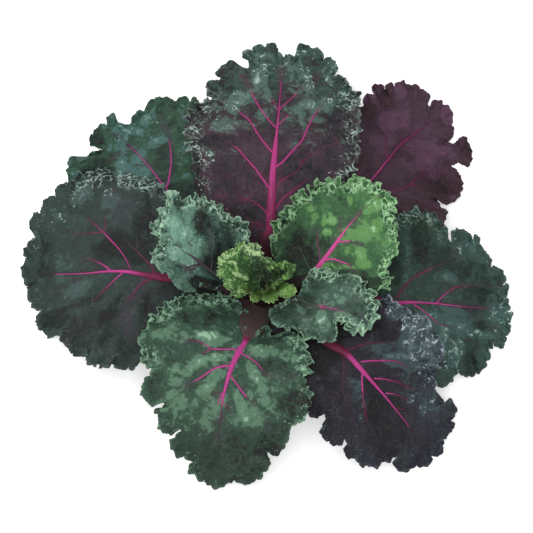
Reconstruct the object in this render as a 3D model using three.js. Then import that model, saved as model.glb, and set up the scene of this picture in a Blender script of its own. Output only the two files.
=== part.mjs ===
// Purple kale bunch: an open head of curly purple kale, as cut from the
// ground with a short piece of stem.  Seven large outer leaves arch over and
// droop to the surface, three younger leaves lie over them, and the small
// pale heart leaves stand in the middle.
//
// Millimetres, +Z up.  The origin is at the centre of the head's footprint,
// on the surface that it rests on.  +X runs along the widest way across.
//
// Every leaf is one closed solid: petiole, midrib and blade together.  Its
// plan outline (lobes meeting in sharp notches) is a table of points seen
// from above, and its height over each plan point comes from an arch that
// rises from the stem and falls away to the tip.

import * as THREE from 'three';

// ---------------------------------------------------------------- sizes
const BLADE = 1.8;            // blade thickness
const STEM_R0 = 13.0;         // stem radius at the cut end
const STEM_R1 = 8.4;          // stem radius at the top
const STEM_H = 60.0;          // stem length
const GAP = 0.45;             // clearance between a petiole and the stem
const PETIOLE_HALF = 4.8;     // petiole half width at the stem
const PETIOLE_DEEP = 6.5;     // petiole depth under the blade at the stem
const RIB_TIP_HALF = 0.9;     // midrib half width at the tip
const COLUMN = 12.5;          // spacing of the columns along a margin
const FLOOR = 0.95;           // lowest mid-surface height of a blade

// the arch shared by the outer leaves: [distance from stem axis, height]
const ARCH = [[0, 6], [12, 14], [25, 29], [45, 46], [65, 55], [85, 56],
  [105, 50], [125, 38], [145, 23], [160, 12], [175, 5.5], [190, 2.5], [215, 1]];

// ---------------------------------------------------------------- leaves
// outline: plan points [x, y, code] from the petiole's left side round the tip
// to its right side.  code 1 adds a sharp notch at the point; code 2 marks a
// margin lying under another leaf, and 4 one lying over another leaf.
// rib: plan points of the petiole and midrib.
const LEAVES = {
  leaf_upper_left: {
    color: 0x47705c, seed: 1.0, lift: 0, profile: ARCH,
    tilt: null, droop: [[110,165,7.0,146,28]], even: 9,
    outline:
      [[-19.1,14.3,0],[-29.2,22.3,2],[-45.0,31.6,2],[-63.0,40.9,2],[-77.6,48.8,3],
      [-88.8,50.3,2],[-99.4,55.5,3],[-108.8,58.8,2],[-118.6,65.9,3],[-126.8,70.4,2],
      [-133.7,78.0,3],[-140.3,81.6,2],[-144.4,86.9,2],[-146.0,91.6,1],[-146.9,96.3,0],
      [-147.7,101.0,0],[-146.3,104.2,1],[-147.1,107.3,0],[-145.6,110.4,0],[-142.6,112.0,0],
      [-141.1,108.9,1],[-138.7,106.5,0],[-135.0,108.0,0],[-132.7,110.4,1],[-129.0,114.3,0],
      [-125.2,115.0,0],[-122.2,117.3,1],[-123.0,119.7,0],[-126.1,119.0,0],[-129.9,120.6,0],
      [-131.5,123.8,0],[-130.8,126.9,0],[-129.3,130.1,1],[-127.1,134.0,0],[-122.6,137.2,0],
      [-118.8,137.9,1],[-118.1,139.5,0],[-117.4,142.7,0],[-114.3,144.3,0],[-111.3,144.2,0],
      [-110.5,141.1,0],[-109.6,136.2,1],[-108.1,137.0,0],[-102.7,136.8,0],[-99.7,139.9,0],
      [-95.8,139.6,1],[-96.6,140.5,0],[-97.5,144.0,0],[-95.3,147.2,0],[-92.2,147.8,0],
      [-89.1,146.8,1],[-87.7,151.0,0],[-85.5,155.0,0],[-82.4,157.4,0],[-77.8,158.0,0],
      [-73.3,159.5,0],[-70.2,158.4,0],[-68.6,155.7,0],[-65.4,152.8,1],[-64.0,156.3,0],
      [-61.7,157.9,0],[-57.9,156.8,0],[-54.8,154.8,1],[-50.9,154.5,0],[-47.0,150.4,0],
      [-43.9,148.2,1],[-39.3,145.7,2],[-36.0,137.4,3],[-31.3,128.1,2],[-28.9,118.4,3],
      [-29.4,104.7,2],[-27.8,91.9,3],[-29.1,81.5,2],[-33.4,72.3,3],[-31.9,59.0,2],
      [-26.2,45.3,2],[-19.0,31.3,2],[-13.2,21.5,0]],
    rib:
      [[-7.6,11.3],[-16.2,23.8],[-36.3,39.2],[-52.2,51.4],[-70.9,76.0],[-84.5,97.0],
      [-97.9,115.6],[-111.0,131.4]],
  },
  leaf_upper_right: {
    color: 0x523a50, seed: 2.3, lift: 0, profile: ARCH,
    tilt: null, droop: [[110,165,6.0,30,24]], even: 9,
    outline:
      [[13.2,24.1,2],[21.9,32.3,2],[30.6,42.4,2],[40.7,53.1,2],[49.5,64.8,3],[51.0,74.1,2],
      [54.8,83.9,3],[57.3,94.2,2],[60.5,105.3,3],[62.4,116.7,2],[65.1,128.6,3],[66.2,138.5,2],
      [71.9,148.4,3],[77.3,150.6,0],[76.7,155.8,0],[78.3,158.4,0],[81.4,160.3,0],[86.7,158.0,1],
      [85.3,162.1,0],[83.0,164.5,0],[84.6,167.0,0],[87.7,168.6,0],[90.7,167.9,0],[93.0,165.5,1],
      [95.3,167.9,0],[97.6,169.5,0],[100.6,167.1,1],[103.7,169.6,0],[107.6,171.2,0],
      [111.4,169.6,0],[114.4,167.2,1],[118.2,168.0,0],[122.8,165.7,0],[125.8,162.5,0],
      [127.3,158.5,0],[125.7,154.5,0],[127.9,150.6,1],[130.2,153.0,0],[129.5,155.3,0],
      [132.6,156.9,0],[136.4,156.2,0],[138.6,153.8,1],[141.6,152.2,0],[143.9,148.2,0],
      [145.3,142.7,0],[143.6,136.4,1],[145.1,132.4,0],[144.2,128.5,0],[143.4,125.4,0],
      [140.4,123.8,0],[139.5,120.6,1],[144.1,119.8,0],[149.5,123.8,0],[151.1,127.7,0],
      [154.8,125.4,0],[157.8,120.7,0],[159.1,112.0,0],[157.5,106.5,0],[155.1,103.4,0],
      [151.4,106.5,0],[146.9,107.3,0],[145.3,104.1,1],[148.2,100.2,0],[150.4,95.6,0],
      [151.8,91.6,0],[149.5,89.3,1],[151.0,86.1,0],[149.3,81.4,0],[146.9,78.0,0],[142.0,74.1,0],
      [138.0,73.5,1],[135.5,72.1,0],[134.2,76.1,0],[131.5,71.3,0],[130.4,65.9,1],[134.5,68.5,0],
      [137.6,66.6,0],[137.3,61.4,0],[135.4,55.9,0],[132.8,51.2,1],[130.0,43.2,2],[123.5,37.8,3],
      [115.5,32.5,2],[107.8,29.8,3],[98.7,25.7,2],[89.8,25.1,3],[81.0,23.2,2],[70.9,24.6,3],
      [56.5,22.2,2],[40.7,19.4,2],[27.8,15.7,2],[19.1,11.7,0]],
    rib:
      [[9.0,10.2],[17.6,19.8],[40.7,37.6],[60.3,57.4],[78.5,81.0],[85.6,90.8],[95.6,106.3],
      [105.7,121.0],[120.0,133.1],[132.3,142.7]],
  },
  leaf_left: {
    color: 0x3c4c4c, seed: 3.1, lift: 8, profile: ARCH,
    tilt: null, droop: [[115,168,17,186,24]], even: 9,
    outline:
      [[-17.6,-1.5,0],[-29.0,-10.2,2],[-40.3,-16.7,2],[-52.9,-20.2,2],[-62.8,-19.3,3],
      [-64.2,-26.7,2],[-70.5,-31.2,3],[-72.6,-38.4,2],[-78.3,-42.5,3],[-80.4,-48.1,2],
      [-84.8,-53.5,1],[-88.4,-56.8,0],[-91.3,-59.4,0],[-95.0,-58.4,1],[-99.5,-59.5,0],
      [-104.0,-57.7,0],[-107.7,-55.9,1],[-110.8,-57.7,0],[-114.6,-57.2,0],[-118.4,-55.4,1],
      [-121.6,-54.9,0],[-125.5,-52.9,0],[-127.8,-49.1,0],[-126.2,-46.5,1],[-130.2,-46.6,0],
      [-134.2,-45.8,0],[-138.3,-43.0,1],[-141.6,-40.2,0],[-144.9,-36.7,0],[-147.4,-32.6,0],
      [-147.4,-28.9,1],[-152.4,-27.9,0],[-156.6,-28.0,0],[-160.6,-25.2,0],[-163.8,-22.0,1],
      [-167.6,-17.4,0],[-169.2,-12.9,0],[-167.0,-10.6,0],[-163.2,-11.5,1],[-163.3,-7.7,0],
      [-167.1,-6.9,0],[-170.9,-4.5,0],[-172.5,-1.5,1],[-174.8,2.3,0],[-175.0,7.6,0],
      [-175.8,11.4,1],[-179.0,18.3,0],[-179.8,24.4,0],[-178.5,30.5,0],[-177.0,34.2,1],
      [-178.6,39.5,0],[-177.9,42.5,1],[-174.8,44.6,0],[-171.8,47.4,0],[-168.6,46.4,0],
      [-165.5,48.4,1],[-167.9,52.4,0],[-171.0,52.6,0],[-174.2,55.8,0],[-173.5,61.1,0],
      [-171.2,65.5,0],[-167.4,67.6,1],[-165.2,72.8,0],[-163.0,76.5,0],[-159.2,78.6,0],
      [-155.3,79.1,1],[-153.9,83.7,0],[-150.9,85.8,0],[-147.8,87.9,0],[-142.4,87.4,5],
      [-138.6,91.0,4],[-132.5,92.7,4],[-127.0,92.7,5],[-120.8,94.2,4],[-112.8,91.9,4],
      [-106.3,86.3,5],[-98.6,84.9,4],[-90.8,81.2,4],[-84.0,80.2,5],[-78.7,77.9,4],
      [-74.1,74.9,4],[-69.6,69.7,5],[-65.1,63.2,4],[-64.9,54.0,3],[-60.5,48.0,2],[-59.7,39.2,3],
      [-53.3,27.9,2],[-41.9,17.7,2],[-29.1,12.6,2],[-17.6,8.5,0]],
    rib:
      [[-13.4,2.3],[-19.1,3.3],[-41.2,4.2],[-69.5,6.1],[-81.7,7.5],[-98.5,11.2],[-111.2,12.5],
      [-129.1,14.0],[-152.2,18.7],[-169.2,21.9]],
  },
  leaf_right: {
    color: 0x3e5650, seed: 4.7, lift: 8, profile: ARCH,
    tilt: null, droop: [[115,172,14,-8,22]], even: 9,
    outline:
      [[26.3,4.6,0],[42.0,4.1,2],[59.7,6.6,2],[74.0,11.8,2],[83.4,17.1,3],[86.4,26.1,2],
      [90.9,33.9,3],[91.1,41.6,2],[94.2,48.1,5],[97.4,53.2,4],[100.4,53.6,4],[102.5,49.1,5],
      [104.9,54.2,4],[108.8,57.3,4],[112.7,57.9,4],[116.5,56.1,5],[121.1,56.1,4],[125.8,56.2,4],
      [129.6,53.7,4],[131.8,48.5,5],[135.0,49.1,0],[136.4,46.2,0],[135.5,42.1,0],[139.4,40.5,1],
      [143.5,43.7,0],[140.4,47.0,0],[143.0,49.9,0],[147.8,50.9,0],[151.7,50.0,0],[154.8,47.3,0],
      [156.4,45.2,1],[158.8,47.1,0],[161.9,44.4,0],[163.4,40.7,0],[163.3,35.4,1],[167.2,36.6,0],
      [169.5,33.8,0],[171.0,30.1,0],[171.0,27.2,1],[174.8,25.2,0],[179.4,22.5,0],[181.7,18.1,0],
      [180.9,13.6,1],[183.1,12.1,0],[183.8,8.3,0],[181.4,3.8,0],[179.9,0.7,1],[182.9,1.5,0],
      [184.3,-3.0,0],[184.2,-8.3,1],[186.4,-9.8,0],[185.5,-13.6,0],[183.2,-17.4,1],
      [184.7,-18.9,0],[183.8,-22.7,0],[180.0,-26.5,1],[180.7,-28.8,0],[179.8,-33.3,0],
      [176.8,-36.3,0],[174.6,-34.1,0],[172.4,-31.8,0],[170.8,-35.6,1],[167.0,-37.2,0],
      [169.2,-40.1,0],[168.4,-43.2,0],[165.3,-45.5,1],[166.0,-48.5,0],[162.8,-52.4,0],
      [157.3,-55.9,1],[153.3,-58.4,0],[149.4,-58.9,0],[146.2,-57.8,0],[147.8,-54.0,1],
      [143.8,-53.8,0],[141.4,-59.9,0],[137.4,-63.3,0],[133.5,-68.1,1],[126.4,-67.6,0],
      [120.2,-65.6,3],[114.0,-63.5,2],[106.4,-58.8,3],[100.3,-53.9,2],[94.4,-47.4,3],
      [90.1,-40.6,2],[84.3,-33.8,3],[71.4,-29.7,2],[54.5,-20.3,2],[37.6,-11.7,2],[26.2,-5.0,0]],
    rib:
      [[13.6,-0.0],[27.7,-0.0],[56.0,-7.8],[93.2,-11.8],[106.4,-10.8],[125.5,-9.1],[145.6,-7.2],
      [166.0,-5.1],[179.0,-6.1]],
  },
  leaf_lower_right: {
    color: 0x363640, seed: 6.4, lift: 16, profile: ARCH,
    tilt: null, droop: [[115,178,26,-46,21]], even: 9,
    outline:
      [[20.4,-10.2,0],[28.9,-11.9,2],[40.2,-16.7,2],[54.2,-21.1,2],[68.3,-21.7,3],
      [78.3,-18.2,2],[84.0,-13.7,5],[88.4,-10.7,4],[92.7,-12.7,4],[97.0,-16.0,5],
      [101.4,-17.1,4],[106.5,-20.3,4],[111.7,-22.6,5],[117.7,-24.7,4],[121.5,-29.2,4],
      [126.1,-35.0,5],[130.7,-40.0,4],[131.5,-44.7,5],[130.9,-51.7,4],[125.6,-57.8,5],
      [123.4,-63.4,4],[125.9,-67.1,4],[125.3,-70.5,1],[127.0,-73.6,0],[130.1,-74.5,0],
      [132.6,-77.6,0],[131.2,-81.0,1],[135.0,-78.7,0],[137.3,-76.4,0],[140.5,-78.9,0],
      [142.2,-83.5,0],[141.6,-86.9,0],[140.2,-90.4,1],[140.4,-95.1,0],[138.2,-99.3,0],
      [135.3,-101.5,0],[133.8,-103.6,1],[133.1,-110.1,0],[132.3,-113.0,0],[129.3,-115.2,0],
      [126.4,-116.0,1],[123.4,-121.1,0],[119.7,-123.3,0],[116.0,-123.4,0],[113.8,-121.2,1],
      [111.5,-123.4,0],[107.8,-126.4,0],[104.0,-127.3,0],[99.4,-126.3,0],[96.2,-123.2,0],
      [99.1,-119.6,1],[97.5,-117.8,0],[93.8,-120.8,0],[90.7,-121.7,0],[88.4,-120.7,1],
      [87.7,-123.3,0],[84.0,-125.7,0],[79.5,-126.7,0],[75.0,-125.8,0],[70.5,-125.5,0],
      [68.2,-123.0,0],[71.1,-120.8,1],[67.4,-121.8,0],[63.8,-122.0,0],[60.8,-120.3,0],
      [58.5,-117.8,0],[59.2,-115.8,0],[62.8,-114.3,1],[59.1,-110.6,0],[56.3,-113.4,0],
      [52.7,-114.2,0],[49.1,-113.7,0],[46.2,-111.8,0],[42.6,-108.0,1],[41.1,-104.7,0],
      [43.9,-102.6,0],[43.2,-100.0,0],[46.0,-97.9,1],[44.6,-93.9,0],[41.8,-94.6,0],
      [38.9,-96.1,0],[35.4,-95.5,0],[31.8,-92.8,3],[28.3,-88.1,2],[28.3,-82.6,3],[25.5,-75.6,2],
      [24.1,-68.4,3],[22.0,-59.6,2],[17.1,-51.1,2],[10.1,-41.3,2],[4.4,-30.0,0],[4.4,-18.2,0],
      [9.5,-11.3,0]],
    rib:
      [[10.1,-8.0],[20.3,-16.0],[44.8,-40.8],[58.8,-49.9],[70.9,-62.3],[87.6,-79.2],
      [105.6,-96.2],[115.5,-106.2]],
  },
  leaf_lower: {
    color: 0x507a5c, seed: 7.7, lift: 20, profile: ARCH,
    tilt: [-120,-60,4.5], droop: [[88,150,31,-98,25]], even: 9,
    outline:
      [[-4.9,-40.2,0],[0.1,-36.9,0],[7.2,-37.2,0],[12.2,-38.4,5],[16.5,-36.2,4],[20.7,-35.0,2],
      [25.0,-37.1,4],[28.4,-42.2,5],[31.2,-47.1,4],[32.5,-53.1,4],[31.8,-56.7,5],[33.9,-59.7,4],
      [33.8,-65.4,4],[31.0,-69.6,5],[31.0,-74.6,4],[34.5,-80.1,4],[34.5,-86.3,4],[33.1,-90.3,5],
      [31.7,-93.6,0],[30.4,-98.2,0],[26.9,-100.8,0],[23.3,-101.4,0],[19.8,-100.8,1],
      [19.9,-104.6,0],[19.2,-109.1,0],[17.1,-113.4,1],[15.7,-116.5,0],[12.9,-119.0,0],
      [10.1,-120.1,0],[6.5,-118.2,0],[4.4,-116.9,1],[3.7,-120.0,0],[5.8,-124.4,0],
      [4.4,-129.3,0],[1.5,-132.4,1],[-1.4,-134.9,0],[-5.7,-136.6,0],[-10.8,-137.8,0],
      [-15.2,-138.3,0],[-18.1,-136.3,0],[-19.5,-133.7,1],[-21.7,-136.2,0],[-24.6,-137.5,0],
      [-29.0,-139.4,0],[-34.9,-139.9,0],[-39.2,-138.6,0],[-42.8,-135.3,1],[-45.6,-134.6,0],
      [-48.5,-132.7,0],[-52.1,-130.7,0],[-53.4,-126.8,0],[-51.9,-124.9,0],[-48.2,-123.1,1],
      [-51.8,-123.0,0],[-54.6,-121.1,0],[-55.3,-119.1,0],[-53.7,-116.7,1],[-57.4,-119.1,0],
      [-60.4,-119.7,0],[-63.9,-117.0,0],[-65.2,-112.5,0],[-65.8,-109.3,0],[-62.8,-107.5,0],
      [-58.3,-103.2,1],[-61.9,-101.8,0],[-64.9,-105.5,0],[-68.5,-105.4,0],[-72.8,-101.9,0],
      [-74.1,-98.0,0],[-74.7,-91.4,1],[-75.4,-90.1,0],[-72.5,-89.6,0],[-70.2,-86.4,1],
      [-68.7,-81.8,0],[-71.6,-83.7,0],[-74.6,-85.5,0],[-77.5,-86.6,0],[-81.8,-83.7,0],
      [-84.7,-79.5,0],[-86.1,-74.7,0],[-85.3,-70.0,0],[-83.1,-66.8,0],[-79.4,-66.3,1],
      [-78.7,-61.5,0],[-81.6,-60.0,0],[-83.8,-57.8,0],[-84.5,-52.9,5],[-85.2,-47.3,4],
      [-88.1,-41.5,4],[-86.7,-36.0,4],[-81.7,-31.9,5],[-80.3,-27.6,4],[-73.9,-21.9,5],
      [-68.3,-15.3,4],[-61.3,-12.1,5],[-54.3,-10.1,4],[-47.2,-9.6,5],[-40.9,-6.8,4],
      [-34.5,-7.6,5],[-28.8,-4.6,4],[-21.7,-6.5,1],[-16.7,-8.6,0],[-13.0,-13.8,1],
      [-9.4,-18.7,0],[-10.0,-25.8,1],[-12.1,-31.0,0],[-11.4,-36.1,0]],
    rib:
      [[-2.9,-12.1],[-5.7,-23.8],[-12.0,-41.0],[-15.5,-47.4],[-21.1,-59.8],[-25.2,-73.6],
      [-28.0,-86.2],[-30.3,-103.6],[-31.4,-119.1],[-33.2,-129.7]],
  },
  leaf_top: {
    color: 0x3e5648, seed: 5.9, lift: 11, profile: ARCH,
    tilt: null, droop: [[125,180,-13,88,22]], even: 9,
    outline:
      [[-2.2,19.2,0],[-8.7,25.5,0],[-14.5,34.6,2],[-18.8,46.1,1],[-27.4,52.5,0],[-34.6,56.4,5],
      [-41.8,57.7,4],[-46.1,65.0,5],[-49.1,71.2,4],[-47.7,78.9,5],[-50.8,85.5,4],[-49.5,93.7,5],
      [-54.1,101.1,4],[-52.8,110.0,5],[-57.6,117.8,4],[-54.9,126.9,5],[-55.1,134.4,4],
      [-49.2,139.5,5],[-44.1,145.5,4],[-38.1,146.8,0],[-31.3,143.6,0],[-27.6,146.1,1],
      [-35.1,145.7,0],[-40.5,150.7,0],[-42.1,157.9,0],[-39.9,163.7,0],[-33.2,167.4,1],
      [-34.0,171.6,0],[-30.2,175.6,0],[-25.7,177.8,0],[-20.4,177.5,0],[-18.1,174.9,0],
      [-18.9,171.6,1],[-14.4,173.9,0],[-9.9,176.2,0],[-9.9,180.4,1],[-13.6,181.4,0],
      [-14.4,184.8,0],[-12.2,188.0,0],[-7.6,188.7,1],[-5.4,191.1,0],[-1.6,192.7,0],
      [2.2,189.4,1],[4.4,192.6,0],[8.2,193.4,0],[12.0,190.2,0],[11.2,185.2,1],[14.2,182.8,0],
      [17.2,182.0,0],[20.2,184.6,0],[24.0,183.1,1],[26.3,180.7,0],[28.5,183.2,0],[27.8,187.3,0],
      [26.3,188.9,1],[27.8,191.4,0],[31.6,192.3,0],[36.1,190.9,0],[38.4,188.6,1],[41.4,189.6,0],
      [44.5,187.3,0],[45.9,183.3,0],[47.4,181.0,1],[51.2,182.0,0],[55.0,179.0,0],[56.5,174.2,0],
      [56.5,171.7,0],[51.9,168.1,1],[54.1,164.9,0],[59.4,166.1,0],[63.2,163.9,0],[66.9,158.4,1],
      [69.1,155.2,0],[72.9,153.0,0],[74.3,149.7,0],[71.2,145.1,5],[73.3,140.1,4],[73.1,132.7,4],
      [70.6,126.8,5],[72.6,119.6,4],[69.9,108.2,5],[71.9,101.2,4],[67.9,91.9,5],[65.4,83.2,4],
      [60.2,77.9,5],[55.0,69.8,2],[47.7,65.1,3],[41.9,57.7,2],[34.0,53.6,3],[27.5,47.0,2],
      [19.6,44.7,3],[16.0,35.8,2],[11.7,27.2,2],[7.3,18.9,0]],
    rib:
      [[2.2,13.2],[2.9,18.0],[4.4,30.1],[5.8,41.3],[6.6,55.7],[7.3,69.6],[8.0,84.5],[9.5,100.7],
      [11.0,118.5],[12.6,137.2],[13.4,150.7],[14.2,161.9],[14.9,175.3]],
  },
  inner_leaf_left: {
    color: 0x5a8773, seed: 8.2, lift: 0, profile: [[0, 36], [12, 46], [25, 61], [45, 82], [60, 92], [72, 95], [85, 92], [100, 84]],
    tilt: null, droop: [], even: 5,
    outline:
      [[-27.2,0.3,4],[-34.1,-4.9,4],[-39.6,-4.6,5],[-43.8,-2.5,4],[-46.5,-7.4,4],
      [-50.6,-10.2,5],[-54.7,-10.0,4],[-59.6,-7.6,4],[-63.1,-2.9,5],[-67.3,1.2,4],[-71.5,4.0,4],
      [-75.1,9.0,5],[-77.2,13.5,4],[-75.9,18.5,4],[-71.7,21.3,5],[-73.1,24.2,4],[-70.3,27.0,4],
      [-67.5,28.4,5],[-73.2,28.6,4],[-77.6,32.7,4],[-77.0,37.9,4],[-72.0,41.3,5],[-72.1,47.4,4],
      [-68.6,51.0,4],[-65.8,54.6,5],[-67.4,58.7,4],[-63.8,62.3,4],[-59.4,58.8,5],[-55.8,55.5,4],
      [-49.4,54.6,5],[-45.2,56.0,4],[-40.2,54.6,4],[-36.7,51.3,5],[-31.8,50.9,4],[-27.6,46.6,5],
      [-23.3,43.7,0],[-18.4,44.0,0],[-14.9,42.4,5],[-10.6,39.6,4],[-8.5,36.1,4],[-12.1,32.3,5],
      [-10.0,29.5,4],[-15.7,25.4,5],[-18.6,20.1,4],[-22.9,14.3,0]],
    rib:
      [[-11.0,2.5],[-15.9,3.7],[-27.2,5.3],[-35.5,8.4],[-41.8,11.4],[-48.7,15.8],[-56.3,19.8],
      [-63.3,26.3]],
  },
  inner_leaf_right: {
    color: 0x5c985c, seed: 9.5, lift: 0, profile: [[0, 34], [12, 44], [30, 62], [50, 78], [70, 87], [90, 90], [110, 86], [130, 78], [150, 68]],
    tilt: null, droop: [[20,60,4,-5,22]], even: 5,
    outline:
      [[22.4,12.5,0],[15.9,18.6,4],[10.2,21.7,1],[6.5,25.6,4],[6.5,31.8,4],[8.0,37.3,5],
      [9.4,41.6,4],[12.2,44.0,4],[15.8,45.1,5],[13.7,49.0,4],[16.5,51.5,4],[20.1,53.4,4],
      [22.9,50.6,5],[21.5,56.0,4],[23.6,59.2,4],[27.9,61.1,4],[32.8,60.3,5],[34.3,62.3,4],
      [37.1,66.4,4],[41.4,67.7,4],[46.3,67.6,5],[48.5,70.4,4],[52.0,71.2,4],[56.3,70.4,4],
      [59.8,65.3,5],[62.0,69.0,4],[64.9,72.1,4],[68.5,73.0,4],[73.5,70.9,5],[77.0,69.5,4],
      [82.0,67.5,4],[87.0,64.0,4],[89.1,60.3,5],[92.0,59.7,4],[94.7,54.6,4],[93.9,49.3,4],
      [91.0,46.8,5],[92.3,41.0,4],[91.5,35.8,5],[95.8,36.1,4],[96.5,33.9,4],[93.6,30.8,5],
      [95.0,26.6,4],[96.4,20.9,4],[94.9,15.8,4],[89.9,10.7,5],[89.1,6.4,4],[87.0,1.5,5],
      [89.8,-1.4,4],[89.0,-6.4,4],[83.3,-8.5,5],[76.3,-9.8,2],[70.8,-5.9,3],[63.8,-8.3,2],
      [56.9,-4.1,3],[49.9,-4.1,2],[42.9,-0.4,2]],
    rib:
      [[11.1,2.9],[16.0,4.1],[27.4,4.1],[37.3,8.8],[45.0,17.4],[52.7,26.9],[59.7,36.2],
      [66.8,44.3],[73.9,51.4],[81.8,58.4]],
  },
  inner_leaf_lower_right: {
    color: 0x608c70, seed: 10.1, lift: 0, profile: [[0, 40], [12, 52], [30, 72], [50, 87], [65, 92], [80, 90], [100, 82]],
    tilt: null, droop: [], even: 5,
    outline:
      [[28.6,-6.4,4],[30.0,-0.7,4],[32.8,3.8,5],[34.9,7.0,4],[39.8,7.6,4],[45.4,6.2,5],
      [49.6,5.7,4],[53.7,1.6,5],[59.3,2.7,4],[64.1,1.0,5],[69.0,-1.9,4],[73.2,-7.5,5],
      [76.7,-9.5,4],[79.5,-15.0,5],[80.9,-19.9,4],[80.2,-25.6,5],[80.9,-29.7,4],[76.6,-34.8,5],
      [73.0,-39.2,4],[67.3,-40.8,4],[61.7,-39.6,5],[58.2,-36.2,4],[56.1,-31.9,4],[52.0,-32.5,5],
      [50.5,-36.8,4],[53.3,-39.7,4],[51.2,-44.0,4],[46.2,-46.8,4],[39.3,-45.2,5],[35.1,-45.1,4],
      [29.6,-43.3,4],[26.1,-37.7,5],[22.0,-35.8,4],[15.6,-35.3,4],[10.0,-32.5,4],[5.8,-26.2,4],
      [5.1,-19.7,4],[8.7,-16.4,5],[13.7,-15.4,4],[15.8,-11.5,4],[20.8,-11.0,4],[25.7,-13.6,4]],
    rib:
      [[10.4,-2.2],[24.4,-9.3],[32.7,-15.5],[41.7,-19.1],[49.3,-21.3],[56.9,-24.0],[66.0,-26.9],
      [74.5,-29.4]],
  },
};

// ---------------------------------------------------------------- helpers
const clamp = (x, a, b) => Math.min(Math.max(x, a), b);
const step = (a, b, x) => { const t = clamp((x - a) / (b - a), 0, 1); return t * t * (3 - 2 * t); };

// smooth curve through [x, y] pairs, read at x
function curveAt(pts, x) {
  const n = pts.length;
  const X = clamp(x, pts[0][0], pts[n - 1][0]);
  const sl = [];
  for (let i = 0; i < n - 1; i++) sl.push((pts[i + 1][1] - pts[i][1]) / (pts[i + 1][0] - pts[i][0]));
  const m = [sl[0]];
  for (let i = 1; i < n - 1; i++) m.push((sl[i - 1] + sl[i]) / 2);
  m.push(sl[n - 2]);
  let i = 0;
  while (i < n - 2 && X > pts[i + 1][0]) i++;
  const h = pts[i + 1][0] - pts[i][0], t = (X - pts[i][0]) / h;
  return (2 * t ** 3 - 3 * t * t + 1) * pts[i][1] + (t ** 3 - 2 * t * t + t) * h * m[i]
    + (-2 * t ** 3 + 3 * t * t) * pts[i + 1][1] + (t ** 3 - t * t) * h * m[i + 1];
}

// height of a leaf's arch over a plan point, before its waves
function archHeight(leaf, x, y) {
  const rho = Math.hypot(x, y), th = Math.atan2(y, x) * 180 / Math.PI;
  let z = curveAt(leaf.profile, rho) + leaf.lift;
  if (leaf.tilt) {
    const [a, b, k] = leaf.tilt;
    z += k * (clamp((th - a) / (b - a), -0.3, 1.3) * 2 - 1) * step(15, 60, rho);
  }
  for (const [r1, r2, dz, az, w] of leaf.droop) {
    const d = ((th - az + 540) % 360) - 180;
    z -= dz * step(r1, r2, rho) * Math.exp(-((d / w) ** 2));
  }
  return z;
}

const ground = (z) => (z > 3 ? z : FLOOR + (3 - FLOOR) * Math.exp((z - 3) / (3 - FLOOR)));

// points along a polyline of [x, y, code] smoothed between its notches
function denseOutline(pts, spacing) {
  const out = [];
  const n = pts.length;
  const corner = (i) => i === 0 || i === n - 1 || (pts[i][2] & 1) === 1;
  for (let i = 0; i < n - 1; i++) {
    const p1 = pts[i], p2 = pts[i + 1];
    const p0 = corner(i) ? [2 * p1[0] - p2[0], 2 * p1[1] - p2[1]] : pts[i - 1];
    const p3 = corner(i + 1) ? [2 * p2[0] - p1[0], 2 * p2[1] - p1[1]] : pts[i + 2];
    const len = Math.hypot(p2[0] - p1[0], p2[1] - p1[1]);
    const m = Math.max(1, Math.round(len / spacing));
    for (let k = 0; k < m; k++) {
      const t = k / m;
      const f = (a, b, c, d) => 0.5 * (2 * b + (c - a) * t + (2 * a - 5 * b + 4 * c - d) * t * t
        + (3 * b - a - 3 * c + d) * t ** 3);
      out.push({ x: f(p0[0], p1[0], p2[0], p3[0]), y: f(p0[1], p1[1], p2[1], p3[1]),
        notch: k === 0 && corner(i), code: p1[2] >> 1 });
    }
  }
  const last = pts[n - 1];
  out.push({ x: last[0], y: last[1], notch: true, code: last[2] >> 1 });
  let s = 0;
  out.forEach((p, i) => { if (i) s += Math.hypot(p.x - out[i - 1].x, p.y - out[i - 1].y); p.s = s; });
  return out;
}

// a polyline that can be read by its length
function lengthCurve(pts) {
  const c = new THREE.CatmullRomCurve3(pts.map((p) => new THREE.Vector3(p[0], p[1], 0)), false, 'centripetal');
  const P = c.getSpacedPoints(160).map((v) => [v.x, v.y]);
  const L = [0];
  for (let i = 1; i < P.length; i++) L.push(L[i - 1] + Math.hypot(P[i][0] - P[i - 1][0], P[i][1] - P[i - 1][1]));
  const total = L[L.length - 1];
  const at = (a) => {
    const q = clamp(a / total, 0, 1) * (P.length - 1), i = Math.min(Math.floor(q), P.length - 2), f = q - i;
    return [P[i][0] + (P[i + 1][0] - P[i][0]) * f, P[i][1] + (P[i + 1][1] - P[i][1]) * f];
  };
  const dir = (a) => {
    const p = at(a - 1), q = at(a + 1), l = Math.hypot(q[0] - p[0], q[1] - p[1]) || 1;
    return [(q[0] - p[0]) / l, (q[1] - p[1]) / l];
  };
  const nearest = (x, y) => {
    let best = 1e9, bi = 0;
    P.forEach((p, i) => { const d = Math.hypot(p[0] - x, p[1] - y); if (d < best) { best = d; bi = i; } });
    return [L[bi], best];
  };
  return { total, at, dir, nearest };
}

const ribHalf = (u) => PETIOLE_HALF + (RIB_TIP_HALF - PETIOLE_HALF) * u ** 0.8;
const ribDeep = (u) => 0.7 + (PETIOLE_DEEP - 0.7) * (1 - u) ** 1.6;

// triangles between two rows where row b's index rises with row a's
function closedGeometry(verts, tris) {
  const g = new THREE.BufferGeometry();
  g.setAttribute('position', new THREE.Float32BufferAttribute(verts.flat(), 3));
  g.setIndex(tris.flat());
  g.computeVertexNormals();
  return g;
}

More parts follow.
